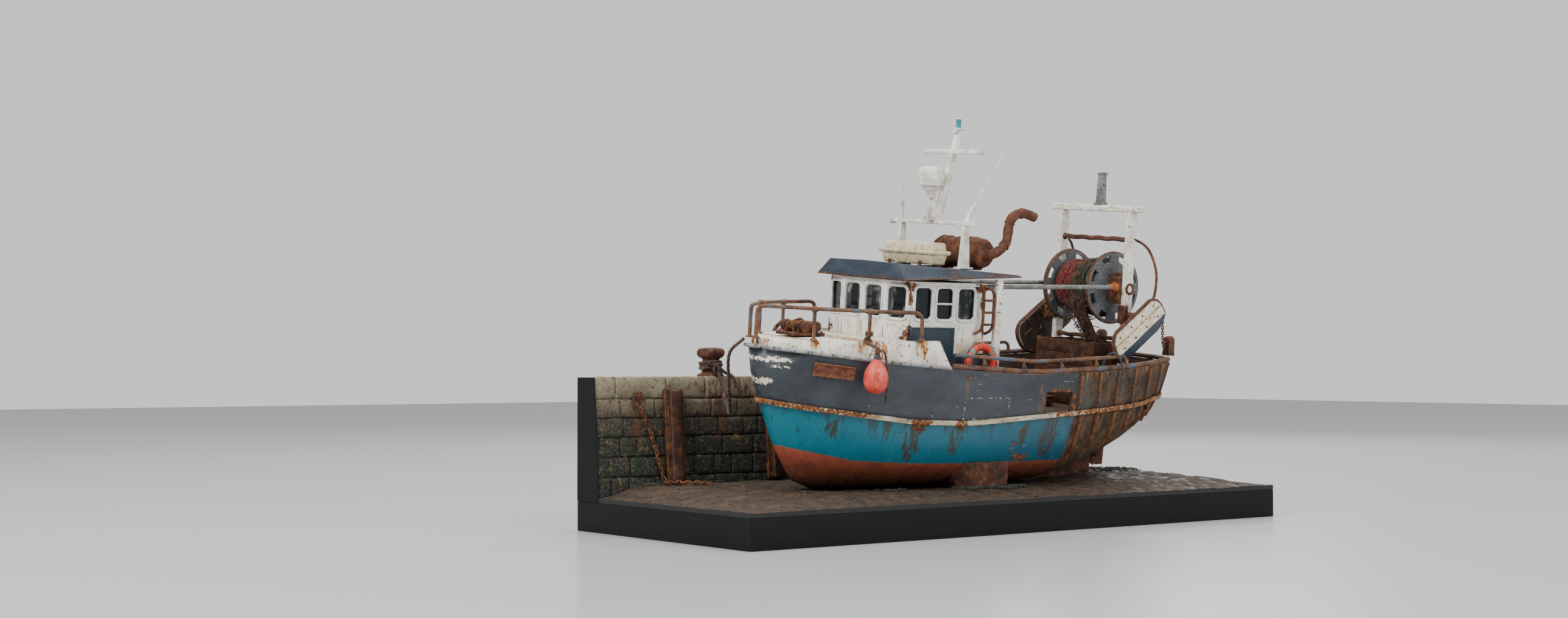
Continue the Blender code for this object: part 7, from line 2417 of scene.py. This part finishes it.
    def build_tail(self, net: bpy.types.Material) -> None:
        """Hang the net's tail from the drum into the pound, strand by strand."""
        rng = random.Random(31)
        lines = []
        for _ in range(210):
            turn, share = rng.uniform(0, 2 * math.pi), math.sqrt(rng.random())
            start, stop = rng.uniform(0, 0.16), rng.uniform(0.7, 1.0)
            sway = rng.uniform(0, 6.28)
            line = []
            for k in range(16):
                t = start + (stop - start) * k / 15
                centre, a, b = self.tail_centre(t)
                angle = turn + 1.6 * t + 0.25 * math.sin(sway + 11 * t)
                out = share * (0.9 + 0.14 * math.sin(sway * 2 + 17 * t))
                line.append(centre + Vector((a * out * math.cos(angle), b * out * math.sin(angle), 0)))
            lines.append(line)
        for _ in range(120):
            t = rng.uniform(0.1, 1.0)
            centre, a, b = self.tail_centre(t)
            angle = rng.uniform(0, 2 * math.pi)
            spot = centre + Vector((a * math.cos(angle), b * math.sin(angle), 0))
            heading = Vector((math.cos(angle), math.sin(angle), -0.5))
            line = [spot]
            for _ in range(5):
                heading += Vector([rng.uniform(-0.7, 0.7) for _ in range(3)])
                spot = spot + heading.normalized() * 0.9
                line.append(spot)
            lines.append(line)
        low = Space.BOAT.matrix() @ Vector((-88.2, 7.2, 88.0))
        high = Space.BOAT.matrix() @ Vector((-85.6, 3.2, 101.0))
        piece = strands("net_tail_strands", lines, 0.24, net, "", replaces=["net_tail"])
        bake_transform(piece)
        heap = Form()
        for k in range(4):
            part = Form()
            bmesh.ops.create_icosphere(part.work, subdivisions=4, radius=1.0)
            bmesh.ops.scale(part.work, vec=(6.0 - k, 8.0 - 1.2 * k, 3.4), verts=part.work.verts)
            part.roughen(1.6, 2.0, k)
            heap.join(part.placed((-96.0 + k * 0.3, 11.4 + k * 0.5, 53.6 + 2.4 * k)))
        heap.make("net_heap", net, slot="net", angle=180.0)

    def build_stays(self, grey: bpy.types.Material, rust: bpy.types.Material) -> None:
        """Run the two struts from the house to the bearings, each in an orange cone."""
        form, cones = Form(), Form()
        for side in (1, -1):
            start, end = Vector((8.4, side * 23.0, 105.6)), Vector((-95.1, side * 23.0, 107.6))
            form.rod([start.lerp(end, k / 20) for k in range(21)], 1.25, 12)
            for share in (0.02, 0.985):
                form.ring(tuple(start.lerp(end, share)), 1.25, 0.35, tuple(end - start), 14, 6)
            cones.turned(((0.0, 0.0), (2.7, 0.0), (2.9, 0.6), (1.9, 3.0), (1.5, 4.2), (0.0, 4.2)),
                         tuple(end + Vector((0.2, 0, 0))), (1, 0, 0), 18)
        form.finer(5.0)
        form.roughen(0.08, 2.0, 2)
        form.make("stay_tubes", grey, slot="drum_grey", replaces=["stay_port", "stay_starboard"])
        cones.make("stay_cones", rust, slot="rusted_steel")

    def on_door(self, side: int, a: float, b: float, out: float) -> Vector:
        """Give a point of a door from its own length, width and thickness."""
        tilt = Matrix.Rotation(self.door_tilt, 3, "Y")
        inboard = max(0.0, -2.6 - b) * 0.55
        local = tilt @ Vector((a, 0.0, b))
        cx, cy, cz = self.door_at
        return Vector((cx + local.x, side * (cy - inboard + out), cz + local.z))

    def reach(self, b: float) -> float:
        """Give half the door's length at a place across it."""
        share = min(1.0, abs(b) / (self.door_wide / 2))
        return self.door_long / 2 * (0.62 + 0.38 * (1.0 - share ** 2.6) ** 0.5)

    def slab(self, side: int, low: float, high: float, near: float, far: float, trim: float) -> Form:
        """Make one lengthwise part of a door between two places across it."""
        form = Form().sheet(26, 6, lambda u, v: self.on_door(
            side, (2 * u - 1) * (self.reach(low + (high - low) * v) - trim), low + (high - low) * v, far))
        rim = [edge for edge in form.work.edges if edge.is_boundary]
        made = bmesh.ops.extrude_edge_only(form.work, edges=rim)["geom"]
        for item in made:
            if isinstance(item, bmesh.types.BMVert):
                item.co.y -= side * (far - near)
        loop = [e for e in made if isinstance(e, bmesh.types.BMEdge) and e.is_boundary]
        bmesh.ops.edgeloop_fill(form.work, edges=loop)
        bmesh.ops.recalc_face_normals(form.work, faces=form.work.faces)
        return form

    def build_doors(self, white: bpy.types.Material, blue: bpy.types.Material,
                    dark: bpy.types.Material, rust: bpy.types.Material) -> None:
        """Build each door: white planks, a bent blue strip, a dark lining, a rim and stiffeners."""
        half = self.door_wide / 2
        for side, name in ((1, "port"), (-1, "starboard")):
            planks = self.slab(side, 3.75, half - 0.5, -0.9, 1.15, 0.7)
            planks.join(self.slab(side, -2.3, 3.35, -0.9, 1.15, 0.7))
            planks.join(self.slab(side, -2.4, half - 0.3, -1.15, 0.7, 0.3))
            planks.roughen(0.1, 3.0, 2 + side)
            planks.make(f"door_planks_{name}", white, slot="aged_white",
                        replaces=[f"trawl_door_{name}"])
            lining = self.slab(side, -half + 0.8, half - 0.8, -1.32, -1.17, 1.0)
            lining.make(f"door_lining_{name}", dark, slot="timber")
            strip = self.slab(side, -half + 0.4, -2.5, -0.9, 1.0, 0.5)
            strip.make(f"door_strip_{name}", blue, slot="hull_paint")
            frame = Form()
            rows = [-half + 0.1 + (self.door_wide - 0.2) * k / 24 for k in range(25)]
            rim = [self.on_door(side, self.reach(b) - 0.1, b, 0.0) for b in rows]
            rim += [self.on_door(side, (1 - 2 * k / 12) * self.reach(half - 0.1), half - 0.1, 0.0)
                    for k in range(1, 12)]
            rim += [self.on_door(side, -self.reach(b) + 0.1, b, 0.0) for b in reversed(rows)]
            rim += [self.on_door(side, (2 * k / 12 - 1) * self.reach(-half + 0.1), -half + 0.1, 0.0)
                    for k in range(1, 13)]
            frame.rod(rim, 1.2, 8, flat=0.62)
            for a in (-12.0, -1.0, 10.0):
                frame.rod([self.on_door(side, a, b, -1.6) for b in (-8.6, -5.4, -2.6, 1.0, 5.0, 8.6)],
                          0.75, 6)
            frame.rod([self.on_door(side, a, 2.4, -1.7) for a in (-17.0, -6.0, 6.0, 17.0)], 0.8, 6)
            for a in (-6.0, 6.0):
                frame.rod([self.on_door(side, a - 2.0, 1.0, -1.8), self.on_door(side, a, 0.0, -4.2),
                           self.on_door(side, a + 2.0, -1.0, -1.8)], 0.6, 6)
            frame.roughen(0.1, 1.5, 4)
            frame.make(f"door_steel_{name}", rust, slot="rusted_steel")
            bolts = Form()
            for a in (-15.0, -5.0, 5.0, 15.0):
                for b in (-0.4, 6.6):
                    spot = self.on_door(side, a, b, 1.15)
                    bolts.turned(((0.0, 0.35), (0.5, 0.3), (0.6, 0.0), (0.0, 0.0)), tuple(spot),
                                 (0, side, 0), 7)
            bolts.make(f"door_bolts_{name}", rust, slot="rusted_steel")

    def build_door_chain(self, rust: bpy.types.Material) -> None:
        """Hang a short chain from each door to the pin of the bitt behind it."""
        for side, name in ((1, "port"), (-1, "starboard")):
            start = self.on_door(side, -self.reach(-6.0) + 0.4, -6.0, 0.0)
            end = Vector((-133.0, side * 26.6, 77.0))
            sag = [start, start.lerp(end, 0.3) + Vector((0, 0, -4.5)),
                   start.lerp(end, 0.65) + Vector((0, 0, -6.0)), end]
            form = Form()
            points = even(curve(sag, 8), 1.75)
            for i, frame in enumerate(path_frames(points)):
                oval = []
                for k in range(11):
                    angle = 2.0 * math.pi * k / 10
                    oval.append((math.cos(angle) * 0.62, 0.0, math.sin(angle) * 0.62
                                 + (0.62 if math.sin(angle) > 0 else -0.62)))
                link = Form().rod(oval, 0.27, 5)
                turn = Matrix.Rotation(math.pi / 2 * (i % 2), 4, "Z")
                bmesh.ops.transform(link.work, matrix=frame @ turn, verts=link.work.verts)
                form.join(link)
            form.make(f"door_chain_{name}", rust, slot="rusted_steel")

    def build_pound(self, wood: bpy.types.Material) -> None:
        """Board the pound with rusty-brown planks between corner posts."""
        form = Form()
        cx, cz, height = -95.0, 59.4, 35.2
        count = 5
        tall = height / count
        for k in range(count):
            z = cz - height / 2 + tall * (k + 0.5)
            for y in (-21.35, 21.35):
                form.block((cx, y, z), (25.2, 1.2, tall - 0.25), 0.25)
            for x in (cx - 12.9, cx + 12.9):
                form.block((x, 0.0, z), (1.2, 41.6, tall - 0.25), 0.25)
        for x in (cx - 12.7, cx + 12.7):
            for y in (-21.2, 0.0, 21.2):
                form.block((x, y, cz + 0.3), (1.9, 1.9, height + 0.4), 0.3)
        form.block((cx, 0.0, cz - height / 2 + 1.0), (25.0, 42.0, 1.4), 0.2)
        form.finer(6.0)
        form.roughen(0.2, 4.0, 6)
        form.make("pound_boards", wood, slot="rusted_steel", replaces=["deck_pound"])

    def build_low_rails(self, rust: bpy.types.Material) -> None:
        """Weld the low rails on their stanchions, with a gusset at each."""
        for side, name in ((1, "port"), (-1, "starboard")):
            form = Form()
            xs = (40.0, 22.0, -5.0, -32.0, -58.0, -80.0)
            path = []
            for x in range(40, -82, -3):
                path.append((x, side * (half_breadth(x, 66.0) - 0.6), lookup(SHEER, x) + 7.0))
            end = (-82.4, side * (half_breadth(-82.4, 66.0) - 0.6), lookup(SHEER, -82.4))
            path += [(end[0], end[1], end[2] + 5.4), (end[0] - 0.2, end[1], end[2] + 2.4)]
            form.rod(even(path, 1.9), 0.95, 10)
            for x in xs[1:5]:
                y = side * (half_breadth(x, 66.0) - 0.6)
                low = lookup(SHEER, x)
                form.rod([(x, y, low + 2.4), (x, y, low + 4.6), (x, y, low + 7.0)], 0.75, 8)
                form.rod([(x - 2.4, y, low + 2.4), (x - 0.6, y, low + 5.2)], 0.5, 6)
                form.ring((x, y, low + 7.0), 1.0, 0.4, (1, 0, 0), 12, 6)
            form.roughen(0.12, 1.4, 4)
            form.make(f"low_rail_tubes_{name}", rust, slot="rusted_steel",
                      replaces=[f"low_rail_{name}"])


def main() -> None:
    """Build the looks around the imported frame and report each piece."""
    logging.basicConfig(level=logging.INFO, format="%(name)s: %(message)s")
    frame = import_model()
    nodes = frame["nodes"]
    refit = Refit(nodes)
    studio = Studio()
    studio.camera()
    mooring = Mooring()
    rope = Twine("tarred_rope", "#1e1310", "#3d2721", "#6a4a3c", Space.WORLD).build()
    cable = Twine("old_cable", "#14171a", "#23282d", "#4b5156", Space.WORLD, 0.6, 0.3).build()
    mooring.build_cords(rope, cable)
    studio.lights()
    studio.floor()

    black = WrinkleBlack().build()
    stone = QuayStone().build()
    mud = Mud().build()
    wet_rust = RustedSteel("wet_quay_iron", Space.WORLD, (
        (0.28, "#120c09"), (0.42, "#2c1a12"), (0.56, "#4f2d1a"), (0.7, "#7c4a22"),
        (0.82, "#3d3026")), 6.0, "#a8732a", "#2a2d22", 0.62, 0.5).build()
    quay_rust = RustedSteel("quay_chain_iron", Space.WORLD, (
        (0.25, "#1b110d"), (0.42, "#38211a"), (0.55, "#5a3421"), (0.7, "#84532b"),
        (0.85, "#6d4d36")), 3.0).build()
    weed = Twine("weed", "#0f130c", "#1d2415", "#3a4426", Space.WORLD, 0.7, 0.5).build()
    pebble = QuayStone("shingle_stone", ((10.0, "#1f1a14"), (25.0, "#4a4132"), (40.0, "#7c705a"))
                       ).build()
    quay = Quay(nodes)
    quay.build_slab(black)
    quay.build_mud(mud)
    quay.build_wall(stone, black)
    quay.build_fenders(wet_rust)
    quay.build_chain(quay_rust)
    quay.build_weed(weed, pebble)
    mooring.build_bollard(quay_rust, rope)

    rust = RustedSteel().build()
    heavy = RustedSteel("flaking_silencer", Space.BOAT, (
        (0.26, "#22120c"), (0.42, "#432317"), (0.55, "#61361d"), (0.7, "#7d4c28"),
        (0.84, "#583420")), 3.4, "#91582b", "#4f3c33", 0.72).build()
    rail = RustedSteel("worn_rail_steel", Space.BOAT, (
        (0.28, "#281a13"), (0.42, "#4b3327"), (0.54, "#6f4a2d"), (0.66, "#63564d"),
        (0.8, "#525d67")), 6.5, "#94673a", "#4f5a64", 0.55, 0.7).build()
    orange = RustedSteel("orange_bearing_rust", Space.BOAT, (
        (0.25, "#4a2212"), (0.42, "#7a3a1a"), (0.56, "#a9561f"), (0.7, "#bf7b38"),
        (0.85, "#a39684")), 3.6, "#cf9350", "#8f8d86", 0.66).build()
    white = ChippedPaint("aged_white_enamel").build()
    bow_white = ChippedPaint("bow_white_enamel", light="#f4f1e8", top=79.0, reach=14.0, stain=0.5,
                             chips=0.6, spots=RAIL_STAINS).build()
    mast_white = ChippedPaint("mast_white_enamel", dark="#bdb9ac", streak="#a39a80", chips=0.66,
                              wear=0.45, under="#6b6455").build()
    frame_white = ChippedPaint("frame_white", light="#e6e6e2", dark="#c4c6c4", streak="#8f8a7a",
                               stain=0.62, chips=0.7, wear=0.3).build()
    door_white = ChippedPaint("door_white", light="#e8e2cf", dark="#cfc39f", stain=0.48,
                              chips=0.6, wear=0.8).build()
    slate = ChippedPaint("slate_strip", light="#1f3b50", dark="#16293a", streak="#5a4a3a",
                         chips=0.6, wear=0.8).build()
    grey = ChippedPaint("weathered_grey", light="#84857f", dark="#5f615f", streak="#4b3a2c",
                        stain=0.5, chips=0.58, wear=0.7, brush=(7.0, 1.0, 1.0)).build()
    hull_work = HullWork(nodes, refit)
    refit.round_off("hull", HullPaint().build(), 0.0, 1, "hull_paint", flat=0.0)
    refit.round_off("rubbing_strake", StrakePaint().build(), 0.3, 2, "aged_white", rough=0.16,
                    grain=2.4, fine=3.0)
    refit.round_off("gunwale_rail", rail, 0.0, 1, "rusted_steel", rough=0.16, grain=2.0, fine=3.4)
    refit.round_off("raised_bow", bow_white, 0.4, 2, "aged_white")
    cap_paint = ChippedPaint("capping_paint", light="#aab0b0", dark="#6f7a82", streak="#8a5a30",
                             stain=0.5, chips=0.56, wear=0.9)
    hull_work.build_capping(cap_paint.build())
    hull_work.build_brackets(rust)
    hull_work.build_legs(rust)
    bronze = RustedSteel("dull_bronze", Space.BOAT, (
        (0.3, "#24120c"), (0.5, "#4a2216"), (0.7, "#6e3a22"), (0.85, "#3f3a2c")), 3.0, "#8b5a34",
        "#39402f", 0.7, 0.4).build()
    hull_work.build_screw(bronze)
    hull_work.build_bitts(rust)

    bow = BowGear(nodes)
    bow.build_rails(rail)
    bow.build_windlass(rust)
    buoy = Moulded("buoy_vinyl", "#cf4434", "#e8705e", "#a8352a", "#6d2a20", 0.42, amount=0.66)
    fibre = Twine("brown_rope", "#2a1610", "#53301f", "#7c5134").build()
    bow.build_buoys(buoy.build(), fibre, Twine("buoy_eye_rubber", "#14171a", "#23282e", "#47505a",
                                               rough=0.5).build())
    bow.build_plates(RustedSteel("cast_plate_rust", Space.BOAT, (
        (0.28, "#33190f"), (0.45, "#5c3320"), (0.6, "#7d4c35"), (0.76, "#8e6a56")), 2.4).build())

    house = House(nodes, refit)
    refit.paint("wheelhouse", HousePaint().build())
    refit.paint("wheelhouse_glass", Glazing().build())
    house.build_frames(frame_white)
    dark = ChippedPaint("dark_seal", light="#2a2522", dark="#1b1816", streak="#3d2c20").build()
    house.build_trim(dark, frame_white)
    house.build_inside(ChippedPaint("house_dark", light="#23282c", dark="#15181b",
                                    streak="#3a3a36").build(), frame_white)
    house.build_roof(RoofPaint().build())
    house.build_ladder(rust)
    board = ChippedPaint("board_blue", light="#12313f", dark="#0c222e", streak="#6d7a7c",
                         stain=0.6, chips=0.66, wear=0.5, under="#5d5a50")
    house.build_board(board.build())
    ring = Moulded("lifebuoy_shell", "#c93a22", "#e05a3c", "#a02c1b", "#6f3022", 0.4,
                   bands=(42.0, 135.0, 222.0, 315.0))
    house.build_lifebuoy(ring.build(), Twine("grab_line", "#5d574c", "#8a8272", "#b3aa97").build())
    for name in ("roof_post_port", "roof_post_starboard"):
        refit.round_off(name, white, 0.35, 2, "aged_white")

    roof = RoofGear(nodes)
    raft = Moulded("raft_glass_fibre", "#c9ba98", "#d8ccb2", "#a8966f", "#856a3c", 0.5, amount=0.62)
    roof.build_raft(raft.build(), rust)
    roof.build_silencer(heavy, dark)
    roof.build_goal_post(mast_white)
    roof.build_mast(mast_white, LampGlass().build())
    roof.build_radar(mast_white)

    after = AfterDeck(nodes, refit)
    after.build_gantry(white, rust, grey)
    after.build_drum(DrumGrey().build(), rust)
    net = Twine("old_net", "#1c130e", "#43311f", "#6d523a", bands=(
        (-19.0, -3.6, "#3a1512", "#8d3a32"), (5.4, 20.0, "#161a14", "#454b39"))).build()
    after.build_net(net)
    after.build_tail(Twine("brown_net_tail", "#1a100c", "#452b1e", "#6c472f").build())
    after.build_stays(grey, orange)
    lining = ChippedPaint("tarred_lining", light="#33281d", dark="#1d1610", streak="#6b4524",
                          stain=0.46, chips=0.6, under="#4a2f1c").build()
    after.build_doors(door_white, slate, lining, rust)
    after.build_door_chain(rust)
    after.build_pound(RustedSteel("pound_wood", Space.BOAT, (
        (0.28, "#21140d"), (0.45, "#45291a"), (0.6, "#63402a"), (0.76, "#7a553a")), 5.0).build())
    after.build_low_rails(rail)


if __name__ == "__main__":
    main()
